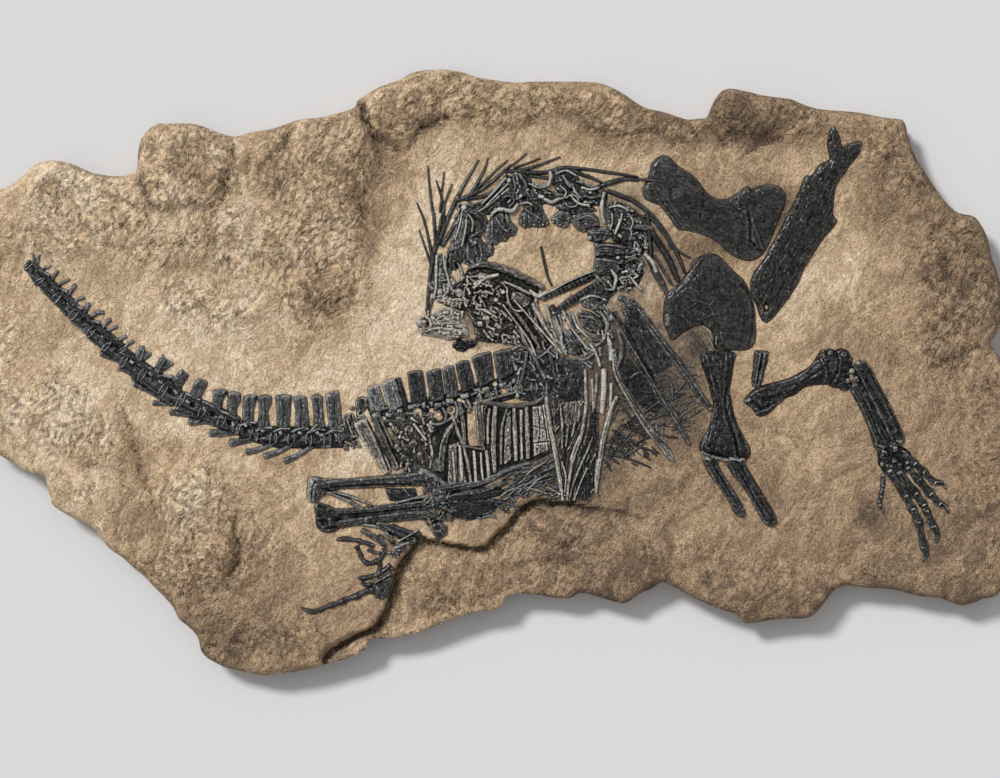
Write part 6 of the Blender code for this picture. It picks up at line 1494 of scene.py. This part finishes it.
bone("neck_vertebrae_6", neck_bone, [
    plate([(571, 221), (577, 216), (584, 213), (592, 213), (598, 218), (599, 226), (590, 228), (584, 232),
           (578, 230)], 6.4, 2, -0.2),
    plate([(587, 230), (592, 227), (602, 227), (611, 229), (612, 235), (604, 240), (596, 242), (590, 240)],
          6.4, 2, -0.3),
    plate([(594, 243), (606, 243), (620, 244), (627, 247), (625, 255), (610, 256), (596, 256)], 6.4, 2,
          -0.35),
    plate([(595, 258), (608, 257), (624, 260), (623, 270), (614, 276), (600, 275), (593, 271)], 6.4, 2,
          -0.35),
    plate([(606, 204), (616, 202), (628, 207), (637, 214), (636, 226), (626, 232), (614, 228), (607, 218)],
          6.2, 3, -0.2),
    plate([(610, 228), (626, 230), (642, 232), (648, 244), (640, 256), (630, 262), (622, 258), (626, 246),
           (613, 240)], 5.6, 3, -0.7),
    plate([(620, 258), (634, 262), (644, 272), (638, 284), (626, 290), (616, 284), (610, 276), (624, 270)],
          5.4, 3, -0.6),
    plate([(600, 276), (612, 280), (616, 290), (606, 304), (594, 310), (584, 300), (590, 288)], 5.6, 2.6,
          -0.5),
    bar([(609, 208, 1.4), (618, 206, 1.8), (628, 210, 1.5)], 8.2, 0.8),
    bar([(622, 214, 2), (619, 224, 2.4), (615, 234, 1.8)], 8.8, 1),
    bar([(612, 214, 1.8), (612, 222, 2), (610, 230, 1.6)], 8.2, 0.3),
    bar([(628, 214, 1.6), (633, 222, 2), (630, 230, 1.6)], 8, 0.5),
    bar([(629, 226, 2.6), (640, 227, 3.4), (652, 229, 3)], 6.4, -0.5), lump(632, 239, 6, 4, 10, 7, -0.4),
    lump(638, 250, 6, 4, 20, 6.6, 0.6), lump(627, 252, 5, 4, 60, 7.2, -0.6),
    lump(634, 268, 6, 4, 70, 6.6, -0.5), lump(630, 281, 6, 4, 60, 6.2, 0.2),
    bar([(645, 254, 2), (652, 262, 2.6), (656, 272, 2.4)], 6.6, 0.9),
    bar([(629, 275, 1.6), (634, 282, 1.8), (641, 290, 1.5)], 7.6, 0.9),
    bar([(611, 270, 2.4), (616, 278, 2.6), (614, 288, 2.2)], 7.8, 0.9),
    bar([(626, 262, 1.6), (634, 258, 2), (643, 262, 1.6)], 7.6, -0.7),
    bar([(593, 274, 2.2), (600, 280, 2.6), (608, 290, 2.2)], 6.4, -0.2),
    [ridge([(x, 273 + k, 0.7), (x + 4, 279 + k, 0.7)], 1) for k, x in enumerate((595, 598, 601))],
    bar([(580, 300, 1.8), (592, 296, 2.2), (606, 300, 1.8)], 6.6, 0.8),
    plate([(582, 298), (590, 300), (605, 306), (606, 311), (595, 311), (582, 306)], 6, 1.6, -0.3),
    plate([(577, 313), (586, 311), (598, 315), (604, 326), (600, 333), (590, 332), (582, 326)], 6.6, 2, -0.2),
    plate([(564, 332), (571, 330), (580, 342), (584, 352), (576, 355), (568, 353), (564, 342)], 6.6, 2,
          -0.2), bar([(572, 314, 1.4), (578, 328, 1.8), (592, 340, 1.6)], 6.4, 1),
    bar([(600, 312, 2.2), (607, 324, 2.6), (604, 338, 2.2), (596, 346, 1.8)], 6.6, 0.2),
    bar([(585, 334, 1.6), (594, 340, 2), (604, 340, 1.6)], 6.8, -0.8),
    bar([(562, 310, 1.4), (573, 330, 1.8), (588, 350, 1.6)], 6.2, 0.9),
    bar([(553, 312, 1.8), (560, 330, 2.4), (562, 346, 2)], 5.8, 0.5), lump(608, 334, 4, 3, 60, 6.6, 1),
    lump(611, 318, 4, 3, 30, 6, 0.4),
    bar([(606, 332, 2), (610, 344, 2.6), (611, 360, 2.2)], 6, 0.9),
    bar([(618, 330, 2.4), (622, 350, 2.8), (618, 366, 2.2)], 5.2, -0.6),
    bar([(590, 344, 1.8), (596, 354, 2.2), (600, 366, 1.8)], 5.8, 0.6),
    bar([(576, 356, 2), (584, 360, 2.4), (596, 352, 2)], 5.6, -0.5),
    lump(590, 238, 3.4, 2.6, 70, 7.8, 1), lump(640, 238, 2.6, 1.8, 0, 8, 1),
    lump(646, 248, 2.4, 1.6, 0, 7.8, 1), lump(586, 224, 2.4, 1.6, 20, 7.4, 0.9),
    lump(620, 236, 4, 2.4, 40, 7.8, 0.9), lump(618, 258, 3, 2, 0, 7.6, 1),
    ridge([(596, 246, 1), (608, 245, 1), (622, 247, 1)], 1.4),
    ridge([(596, 259, 1), (612, 261, 1), (622, 264, 1)], 1.3),
    ridge([(576, 220, 0.9), (588, 216, 0.9), (596, 220, 0.9)], 1.4),
    ridge([(580, 316, 1), (592, 318, 1), (600, 326, 1)], 1.2),
    pit(618, 218, 1.8, 4), pit(626, 222, 1.6, 4), pit(634, 245, 2, 4), pit(641, 258, 2.4, 4),
    pit(622, 266, 2.2, 4), pit(633, 275, 2, 4), pit(600, 300, 2.2, 3), pit(588, 292, 1.8, 3),
    pit(612, 300, 2.4, 3), pit(592, 306, 1.8, 3),
    jumble([(606, 204), (630, 208), (650, 234), (646, 262), (628, 292), (606, 290), (626, 262), (626, 240),
            (610, 230)], 50, 9, 2.3, 7.6, 107, (0, 180), 0.25),
    jumble([(552, 306), (606, 300), (612, 340), (590, 366), (560, 352)], 38, 12, 2.3, 6.2, 109, (30, 90),
           0.35)])

# Neck ribs
# Long hair-thin ribs of slender bone that run along the outside of the neck in three fans. They lie
# loosely over each other and stay half sunk in the bed.
bone("cervical_ribs_1", slender_bone, [
    [bar(path, 3.8, tone) for path, tone in (
        ([(478, 160, 1.1), (474, 168, 1.4), (469, 176, 1.8), (458, 196, 2.2), (449, 216, 2.4),
          (441, 236, 2.8), (434, 252, 2.8), (430, 280, 2.2), (426, 318, 1.5)], 0.2),
        ([(417, 203, 0.9), (420, 210, 1.2), (424, 220, 1.4), (428, 236, 1.6), (432, 256, 1.9)], 0),
        ([(428, 166, 0.8), (429, 180, 1.2), (431, 200, 1.5), (434, 220, 1.8), (436, 246, 2.2)], 0.1),
        ([(436, 180, 0.9), (440, 192, 1.3), (443, 206, 1.6), (444, 222, 1.8), (441, 238, 2.1)], 0),
        ([(462, 206, 1.6), (457, 220, 2.2), (450, 233, 2.4), (442, 246, 2.2)], 0.1),
        ([(419, 230, 0.8), (424, 244, 1.1), (430, 262, 1.4)], 0),
        ([(452, 184, 0.8), (446, 200, 1.1), (441, 220, 1.4), (437, 240, 1.6)], 0.2),
        ([(444, 172, 0.7), (442, 190, 1), (440, 212, 1.3)], 0.1),
        ([(437, 258, 1.8), (434, 275, 1.9), (431, 292, 1.6)], -0.1),
        ([(433, 298, 1.5), (430, 308, 1.5), (427, 319, 1.2)], 0.3))]], 0.6)
bone("cervical_ribs_2", slender_bone, [
    [bar(path, 3.6, tone) for path, tone in (
        ([(488, 158, 0.8), (485, 168, 1.3), (480, 178, 1.7), (471, 194, 2)], 0.1),
        ([(526, 154, 0.8), (516, 162, 1.2), (506, 169, 1.6), (488, 185, 2), (469, 196, 2.4),
          (458, 200, 2.2)], 0.2),
        ([(508, 160, 0.7), (496, 170, 1.1), (484, 182, 1.5), (472, 192, 1.8)], 0),
        ([(500, 188, 1.6), (484, 196, 2), (466, 199, 2.4)], -0.1),
        ([(497, 196, 1.2), (484, 202, 1.5), (470, 206, 1.8)], 0.2),
        ([(560, 157, 0.8), (552, 160, 1.2), (542, 164, 1.5), (530, 168, 1.9), (518, 171, 2.2),
          (504, 171, 2)], 0.2), ([(540, 158, 0.7), (528, 163, 1), (514, 168, 1.4)], 0),
        ([(518, 171, 2.2), (532, 173, 2.4), (548, 172, 2.2), (562, 168, 2.2), (584, 169, 1.8),
          (605, 172, 1.7), (620, 174, 1.5), (638, 177, 1.1)], 0.1),
        ([(566, 168, 1.8), (575, 171, 2.4), (583, 175, 2.1), (592, 178, 1.9), (602, 183, 1.4)], -0.1),
        ([(530, 176, 1.4), (546, 178, 1.7), (560, 180, 1.5)], 0.3))]], 0.6)
bone("cervical_ribs_3", slender_bone, [
    [bar(path, rise, tone) for path, rise, tone in (
        ([(598, 187, 2), (606, 184, 2.6), (613, 182, 2.8), (625, 179, 2.3), (638, 180, 1.8)], 4.6, 0),
        ([(608, 191, 2.4), (616, 194, 2.6), (624, 197, 2.6), (635, 202, 2.4), (650, 214, 2.4),
          (662, 228, 2.4), (674, 248, 2.2), (680, 260, 2), (685, 273, 1.6)], 4.6, 0),
        ([(634, 228, 2.8), (642, 228, 3.2), (650, 231, 3.4), (660, 245, 3.5), (670, 262, 3.6),
          (678, 281, 2.6)], 4.8, -0.1),
        ([(640, 216, 1.4), (652, 219, 1.7), (660, 229, 1.8), (667, 238, 1.7), (672, 248, 1.5)], 4.6, 0.2),
        ([(654, 255, 1.5), (663, 270, 1.7), (672, 285, 1.3)], 4.4, 0.4),
        ([(648, 256, 3.4), (651, 262, 3.8), (655, 271, 4), (662, 284, 3.6), (668, 296, 2.2)], 4.8, 0.55),
        ([(647, 212, 2), (648, 222, 2.2), (649, 231, 2.4)], 4.4, 0),
        ([(649, 231, 2.6), (650, 245, 2.6), (651, 259, 2.6)], 4.4, -0.2),
        ([(668, 240, 1), (680, 252, 1.3), (690, 258, 1)], 3.4, 0.2),
        ([(628, 206, 1.2), (640, 216, 1.5), (652, 232, 1.3)], 4.2, 0.3))]], 0.6)

# Shoulder
# Two broad thin plates and the long shoulder blade, charcoal to near black, with fine cracks, pits
# and fibres. They lie flat in the bed, rimmed by the pale rock that was cut back from them.
plate_bone = bone_finish("plate_bone", (0.008, 0.0078, 0.0075), (0.076, 0.073, 0.069), (0.400, 0.375, 0.330),
                         0.45, 0.22, 0.0010)
blade_bone = bone_finish("blade_bone", (0.009, 0.009, 0.009), (0.030, 0.029, 0.027), (0.330, 0.290, 0.220),
                         0.60, 0.30, 0.0010)

bone("coracoid_plate_1", plate_bone, [
    plate([(656, 160), (662, 156), (668, 157), (674, 163), (680, 168), (690, 174), (697, 180), (702, 187),
           (707, 193), (716, 199), (728, 199), (738, 193), (745, 188), (748, 187),
           (752, 190), (757, 187), (770, 185), (780, 188), (785, 195), (784, 205), (781, 213), (778, 220),
           (774, 230), (770, 240), (762, 254), (752, 260), (742, 259), (730, 253),
           (718, 242), (705, 235), (690, 231), (678, 229), (673, 222), (668, 215), (660, 205), (652, 202),
           (645, 198), (643, 190), (645, 184), (648, 180), (650, 174), (651, 170), (652, 164)], 5.8, 2.2, 0),
    plate([(645, 190), (650, 172), (656, 161), (668, 159), (690, 176), (703, 191), (692, 200), (668, 207),
           (650, 201)], 6.2, 2.4, 0.4),
    ridge([(656, 187, 0.8), (662, 193, 0.8), (668, 200, 0.8), (680, 217, 0.8), (690, 228, 0.8)], 0.7),
    ridge([(657, 192, 0.9), (664, 205, 1), (676, 220, 0.9)], -0.9),
    ridge([(748, 212, 1.4), (750, 226, 1.6), (750, 240, 1.4), (755, 246, 1)], -1.9),
    ridge([(752, 220, 1.6), (757, 235, 1.8), (762, 248, 1.4)], 0.9),
    ridge([(728, 206, 3), (738, 210, 3), (746, 208, 3)], -1.3),
    [lump(x, y, 1.8, 0.9, turn, 7, 1)
     for x, y, turn in ((748, 192, 80), (748, 197, 70), (737, 203, 20), (741, 216, 60), (746, 219, 120),
                        (743, 222, 20), (759, 190, 60), (762, 193, 70), (739, 209, 0))],
    [pit(x, y, 1.2, 1.4)
     for x, y in ((736, 200), (741, 206), (733, 212), (744, 226), (760, 208), (764, 222), (700, 216),
                  (690, 204))],
    ridge([(668, 164, 4), (690, 184, 4), (706, 202, 4)], 0.7),
    ridge([(700, 222, 5), (725, 230, 6), (745, 246, 5)], 0.5),
    ridge([(768, 196, 3), (772, 212, 4), (766, 232, 3)], 0.5),
    bar([(640, 179, 1.4), (650, 180, 1.5), (664, 182, 1.3), (682, 185, 1.1), (702, 188, 0.8)], 7.2, 0.35)],
    0.85, 0.6)
bone("coracoid_plate_2", plate_bone, [
    plate([(694, 260), (700, 257), (708, 254), (718, 256), (727, 265), (735, 273), (742, 279), (746, 285),
           (750, 293), (753, 303), (755, 320), (755, 340), (748, 349), (735, 350), (716, 349),
           (714, 340), (711, 330), (700, 325), (686, 330), (678, 336), (672, 340), (667, 330), (664, 322),
           (664, 310), (666, 297), (672, 290), (680, 283), (685, 277), (690, 270)], 6, 2.6, 0),
    ridge([(669, 293, 0.8), (676, 286, 0.8), (685, 278, 0.9), (694, 268, 0.8), (702, 258, 0.8)], 0.9),
    ridge([(674, 296, 1), (688, 284, 1), (700, 270, 1)], -0.7),
    ridge([(738, 280, 1.2), (747, 292, 1.3), (752, 306, 1.3), (752, 330, 1.2), (748, 346, 1.2)], -0.9),
    [ridge([(x, y, 0.6), (x + dx / 2 + 1, y + dy / 2, 0.6), (x + dx, y + dy, 0.5)], 0.8) for x, y, dx, dy in (
        (690, 288, 8, 5), (698, 293, 6, -6), (698, 293, 3, 9), (701, 302, 8, 3), (709, 305, 5, -7),
        (692, 300, 9, 2), (688, 308, 8, -5), (700, 312, 7, 5), (707, 317, 6, -4), (714, 298, 5, 5),
        (686, 296, 6, 4))],
    lump(668, 320, 9, 4, 85, 6.2, 0.75), lump(683, 317, 7, 6, 60, 6.8, -0.6),
    lump(676, 308, 6, 4, 100, 6.6, 0.1),
    [lump(x, y, 5, 1, turn, 7.2, 1) for x, y, turn in ((721, 336, 80), (716, 341, 95))],
    ridge([(702, 324, 1.4), (708, 336, 1.4), (712, 348, 1.2)], -2.2),
    ridge([(716, 268, 5), (734, 292, 6), (742, 320, 5)], 0.7),
    ridge([(694, 280, 5), (712, 310, 6), (730, 336, 5)], 0.4),
    bar([(690, 331, 1.4), (698, 340, 1.6), (706, 349, 1.3)], 4.4, 0.3),
    bar([(704, 330, 1.4), (710, 340, 1.6), (714, 350, 1.3)], 4.4, 0.8)], 0.85, 0.7)
bone("scapula_blade", blade_bone, [
    plate([(832, 125), (836, 127), (838, 133), (840, 140), (842, 148), (848, 145), (857, 141), (862, 142),
           (864, 145), (860, 154), (850, 165), (845, 172), (840, 178), (836, 186), (834, 195),
           (833, 206), (833, 215), (837, 221), (833, 227), (830, 231), (822, 240), (812, 255), (803, 270),
           (798, 282), (793, 290), (788, 298), (780, 308), (772, 318), (765, 322), (760, 315),
           (757, 305), (752, 295), (751, 283), (753, 276), (756, 270), (765, 258), (769, 250), (775, 240),
           (778, 234), (783, 225), (787, 215), (792, 208), (796, 198), (800, 190), (803, 182),
           (806, 176), (812, 176), (820, 165), (830, 160), (829, 152), (828, 145), (829, 134)], 4.8, 1.8, 0),
    ridge([(766, 306, 2.6), (766.5, 308, 2.6)], -6),
    [lump(x, y, 1.8, 0.8, 118, 6, 1)
     for x, y in ((776, 240), (781, 231), (786, 222), (790, 214), (795, 205), (799, 196), (804, 186),
                  (830, 150), (829, 138))],
    ridge([(840, 150, 5), (815, 200, 7), (790, 250, 7), (768, 296, 5)], 0.7),
    ridge([(826, 180, 2), (812, 214, 2), (794, 250, 2)], -0.4)], 0.85, 1.25)
bone("splinter_bone", black_bone, [
    plate([(755, 351), (761, 351), (768, 352), (767, 361), (764, 370), (762, 379), (759, 388), (753, 386),
           (752, 378), (754, 368), (754, 360)], 5.4, 1.8, -0.1),
    ridge([(762, 354, 0.9), (760, 368, 0.9), (757, 384, 0.8)], -2.2),
    ridge([(759.5, 354, 0.7), (757.5, 368, 0.7), (755, 382, 0.7)], 1.1),
    ridge([(765, 354, 0.7), (762.5, 368, 0.7)], 0.8)])

# Forelimbs
# Two arms of glossy black bone. The near one hangs below the shoulder plates; the far one reaches out
# to a whole hand, whose finger bones are spools with pale joints and end in claws.
bone("humerus_1", black_bone, [
    plate([(701, 355), (705, 351), (712, 352), (720, 351), (728, 351), (735, 354), (734, 360), (733, 365),
           (731, 380), (729, 390), (730, 396), (731, 402), (733, 412), (735, 419), (737, 425),
           (743, 437), (749, 447), (750, 455), (745, 459), (736, 458), (728, 458), (715, 455), (706, 456),
           (700, 449), (701, 442), (706, 434), (710, 425), (712, 418), (713, 412), (714, 406),
           (713, 400), (710, 388), (708, 381), (706, 375), (704, 370), (702, 365)], 8.2, 4, -0.1),
    ridge([(727, 388, 1.5), (725, 400, 1.7), (726, 412, 1.7), (731, 426, 1.6), (735, 440, 1.5),
           (738, 457, 1.4)], -2.2), ridge([(720, 412, 4), (717, 428, 7), (716, 444, 7)], -2),
    ridge([(715, 404, 1.2), (711, 420, 1.3), (705, 436, 1.3), (701, 448, 1.1)], 1.2),
    ridge([(740, 428, 1.4), (745, 440, 1.5), (748, 452, 1.3)], 1),
    ridge([(706, 356, 1.1), (711, 376, 1.2), (717, 400, 1.1)], 0.9),
    ridge([(724, 356, 1.1), (722, 376, 1.2), (722, 396, 1.1)], -0.9),
    [pit(x, y, 1.1, 1)
     for x, y in ((716, 424), (720, 432), (712, 438), (722, 441), (716, 447), (709, 446), (724, 426))],
    bar([(702, 452, 2), (714, 457, 2.2), (728, 460, 2.2), (744, 459, 2)], 6.4, 0.3)], 0.66)
bone("radius_1", black_bone, [
    bar([(709, 459, 6.6), (711, 464, 6.8), (714, 470, 6.4), (722, 482, 5.6), (731, 495, 5.4),
         (738, 508, 5.8), (742, 514, 4.6)], 7.2, -0.2), lump(708, 459, 4.4, 2.6, 20, 7.8, 0.85),
    ridge([(706, 464, 1), (716, 482, 1), (728, 500, 1), (736, 511, 0.9)], 1.1),
    ridge([(714, 466, 1.1), (726, 486, 1.1), (738, 506, 1)], -1.1)], 0.66)
bone("ulna_1", black_bone, [
    bar([(734, 461, 8.6), (738, 468, 8.6), (743, 475, 7.8), (752, 488, 7), (760, 502, 7), (768, 516, 7.6),
         (772, 523, 6)], 7.8, -0.3), lump(735, 460, 8, 3, 8, 8.4, 0.8),
    ridge([(730, 466, 1.1), (742, 486, 1.1), (756, 508, 1.1), (765, 523, 1)], 1.2),
    ridge([(744, 468, 1.2), (756, 488, 1.2), (770, 512, 1.1)], 0.9),
    ridge([(738, 470, 1.2), (750, 492, 1.2), (764, 516, 1.1)], -1.3)], 0.66)
bone("humerus_2", black_bone, [
    plate([(744, 401), (747, 397), (750, 393), (757, 388), (770, 384), (785, 380), (793, 377), (800, 373),
           (810, 367), (814, 362), (817, 357), (822, 350), (826, 351), (830, 349), (835, 351), (840, 349),
           (845, 350), (848, 352), (850, 356), (852, 358), (851, 366), (849, 372), (849, 378), (852, 386),
           (848, 389), (843, 390), (838, 387), (833, 387), (828, 384), (822, 384), (810, 385), (802, 388),
           (795, 394), (785, 398), (777, 404), (770, 412), (762, 416), (757, 415), (755, 412), (752, 408),
           (748, 405)], 8.4, 3.6, -0.2),
    ridge([(764, 399, 2.6), (772, 398, 2.8), (780, 395, 2.4)], -3.4),
    ridge([(752, 403, 2.4), (760, 409, 3), (768, 406, 2.4)], -3),
    ridge([(748, 397, 1.2), (758, 390, 1.3), (780, 383, 1.3), (802, 374, 1.2), (816, 361, 1.1)], 1.1),
    lump(843, 355, 6, 4.6, 20, 9, 0), lump(830, 354, 5, 4, 0, 9, 0.15), lump(847, 381, 5, 4, 80, 8.4, 0),
    ridge([(836, 352, 1), (838, 364, 1.2), (834, 378, 1.1)], -1.8),
    ridge([(820, 358, 1.2), (826, 372, 1.3), (824, 382, 1.1)], 1),
    [pit(x, y, 1.4, 1.6)
     for x, y in ((828, 362), (842, 366), (836, 372), (846, 372), (822, 370), (812, 374), (758, 398))],
    ridge([(790, 386, 1.4), (808, 378, 1.4), (824, 366, 1.2)], -1.1),
    ridge([(756, 413, 1), (768, 409, 1), (782, 399, 1)], 1.1)], 0.66)
bone("radius_2", black_bone, [
    bar([(859, 366, 8.4), (864, 374, 9.2), (870, 385, 8.8), (880, 402, 8.2), (890, 422, 8), (896, 437, 8.4),
         (897, 442, 7.4)], 8, -0.2),
    lump(857, 379, 5.6, 4.6, 60, 7.2, 0.1), lump(852, 371, 4.4, 3.4, 80, 7.4, 0.4),
    ridge([(856, 370, 1.1), (868, 392, 1.1), (884, 424, 1.1), (892, 440, 1)], 1.3),
    ridge([(868, 374, 1.2), (882, 400, 1.2), (896, 430, 1.1)], 0.8),
    ridge([(862, 372, 1.3), (876, 398, 1.3), (892, 432, 1.1)], -1.4), lump(858, 364, 4.4, 3, 30, 8.8, 0.5),
    lump(898, 441, 5, 2.6, 10, 7.8, 0.5)], 0.66)
bone("ulna_2", black_bone, [
    bar([(854, 386, 5.4), (859, 394, 6.6), (865, 404, 7), (873, 420, 7.4), (879, 436, 8), (882, 446, 7.8)],
        6.6, -0.2), ridge([(852, 390, 0.9), (862, 408, 1), (873, 434, 1), (877, 446, 0.9)], 1.2),
    ridge([(858, 390, 1), (870, 414, 1), (880, 440, 1)], -1.2), lump(881, 446, 5, 2.6, 20, 7, 0.4)], 0.66)
bone("wrist_bones", black_bone, [
    plate([(878, 450), (890, 448), (902, 447), (910, 453), (912, 463), (906, 472), (894, 475), (884, 472),
           (879, 464)], 3.2, 1.6, -1.2),
    lump(884, 455, 7.5, 6.2, 20, 5.4, -0.1), lump(895, 450, 5.2, 4.6, 0, 5, 0.2),
    lump(905, 455, 5.5, 4.6, 20, 5, 0), lump(894, 461, 5.5, 4.6, 0, 5, -0.2),
    lump(889, 466, 6.2, 4.3, 10, 4.8, 0.2), lump(900, 465, 5.2, 4.3, 0, 4.8, 0.1),
    lump(907, 463, 4, 3.4, 0, 4.4, 0.3), lump(882, 464, 3.8, 3.1, 0, 4.4, 0.1),
    lump(884, 452, 3.8, 1.7, 20, 6, 0.8), lump(895, 448, 2.8, 1.2, 0, 5.6, 0.8),
    lump(904, 452, 3, 1.2, 30, 5.6, 0.8), pit(885, 457, 1.4, 1.6), pit(895, 463, 1.2, 1.4)], 0.6)


def finger(places, rise):
    """Finger from (x, y, half width) joints: a waisted bone between each two joints with pale ends,
    and a curved claw in place of the last."""
    parts = []
    for number, (a, b) in enumerate(zip(places[:-1], places[1:])):
        ax, ay, aw = a
        bx, by, bw = b
        length = math.hypot(bx - ax, by - ay)
        ux, uy = (bx - ax) / length, (by - ay) / length
        inset = min(0.9, length * 0.1)
        ax, ay, bx, by = ax + ux * inset, ay + uy * inset, bx - ux * inset, by - uy * inset
        last = number == len(places) - 2
        bend = length * 0.16 if last else 0.0
        mx, my = (ax + bx) / 2 + uy * bend, (ay + by) / 2 - ux * bend
        mid = (aw + bw) * (0.5 if last else 0.37)
        parts.append(bar([(ax, ay, aw), (mx, my, mid), (bx, by, bw)], rise, -0.2))
        parts.append(lump(ax + ux * 0.4, ay + uy * 0.4, aw * 0.7, aw * 0.42,
                          math.degrees(math.atan2(ux, -uy)), rise + 0.4, 0.7))
        parts.append(ridge([(ax + uy * aw * 0.4, ay - ux * aw * 0.4, 0.7),
                            (mx + uy * mid * 0.4, my - ux * mid * 0.4, 0.6)], 0.7))
    return parts


bone("finger_1", black_bone,
     [finger([(883, 474, 2.9), (883, 484, 2.8), (881, 495, 2.8), (879, 504, 2.9), (883, 514, 1.1)], 3.4)],
     0.58)
bone("finger_2", black_bone,
     [finger([(889, 470, 4.6), (905, 495, 5), (912, 508, 5.1), (918, 521, 5.1), (924, 546, 4.8),
              (922, 563, 1.9)], 6)], 0.58)
bone("finger_3", black_bone,
     [finger([(899, 472, 4.8), (915, 493, 5.2), (923, 504, 4.8), (926, 510, 4.4), (933, 525, 4.8),
              (936, 544, 1.2)], 4.4)], 0.58)
bone("finger_4", black_bone,
     [finger([(907, 467, 4), (918, 479, 4.8), (930, 493, 5.1), (939, 503, 4.3), (949, 514, 1.1)], 4.2)], 0.58)
bone("finger_5", black_bone,
     [finger([(905, 455, 4.6), (914, 463, 4.8), (923, 471, 4.6), (934, 482, 4), (947, 489, 1.1)], 4.2)], 0.58)

# Studio
# Plain pale floor, one soft key light from the upper left and an even fill, and a camera that looks
# straight down on the slab.
floor_mesh = bpy.data.meshes.new("floor")
floor_mesh.from_pydata([(-30, -30, 0), (30, -30, 0), (30, 30, 0), (-30, 30, 0)], [], [(0, 1, 2, 3)])
floor = bpy.data.objects.new("floor", floor_mesh)
bpy.context.scene.collection.objects.link(floor)
floor_paint, tree, shader = new_material("floor_paint")
shader.inputs["Base Color"].default_value = (0.655, 0.655, 0.66, 1.0)
shader.inputs["Roughness"].default_value = 0.9
shader.inputs["Specular IOR Level"].default_value = 0.0
floor_mesh.materials.append(floor_paint)

KEY_FROM = (-0.62, 0.60, 1.0)
for name, source, power, spread in (("key", KEY_FROM, 2.5, 11.0), ("soft", (-0.10, 0.20, 1.0), 0.70, 75.0)):
    light = bpy.data.lights.new(name, "SUN")
    light.energy = power
    light.angle = math.radians(spread)
    light_object = bpy.data.objects.new(name, light)
    light_object.rotation_euler = Vector(source).to_track_quat("Z", "Y").to_euler()
    bpy.context.scene.collection.objects.link(light_object)
world = bpy.data.worlds.new("world")
bpy.context.scene.world = world
world.use_nodes = True
world.node_tree.nodes["Background"].inputs["Color"].default_value = (1.0, 1.0, 1.0, 1.0)
world.node_tree.nodes["Background"].inputs["Strength"].default_value = 0.25
bpy.context.scene.view_settings.view_transform = "Standard"

CAMERA_HEIGHT = 4.0            # metres over the bed
VIEW_MIDDLE = (500.0, 389.0)   # plan units: the place that the camera looks down on
camera_lens = bpy.data.cameras.new("camera")
camera_lens.lens = 120.0
camera_lens.sensor_width = 36.0
camera_lens.clip_end = 50.0
camera = bpy.data.objects.new("camera", camera_lens)
camera.location = (*plan(*VIEW_MIDDLE), BED + CAMERA_HEIGHT)
bpy.context.scene.collection.objects.link(camera)
bpy.context.scene.camera = camera
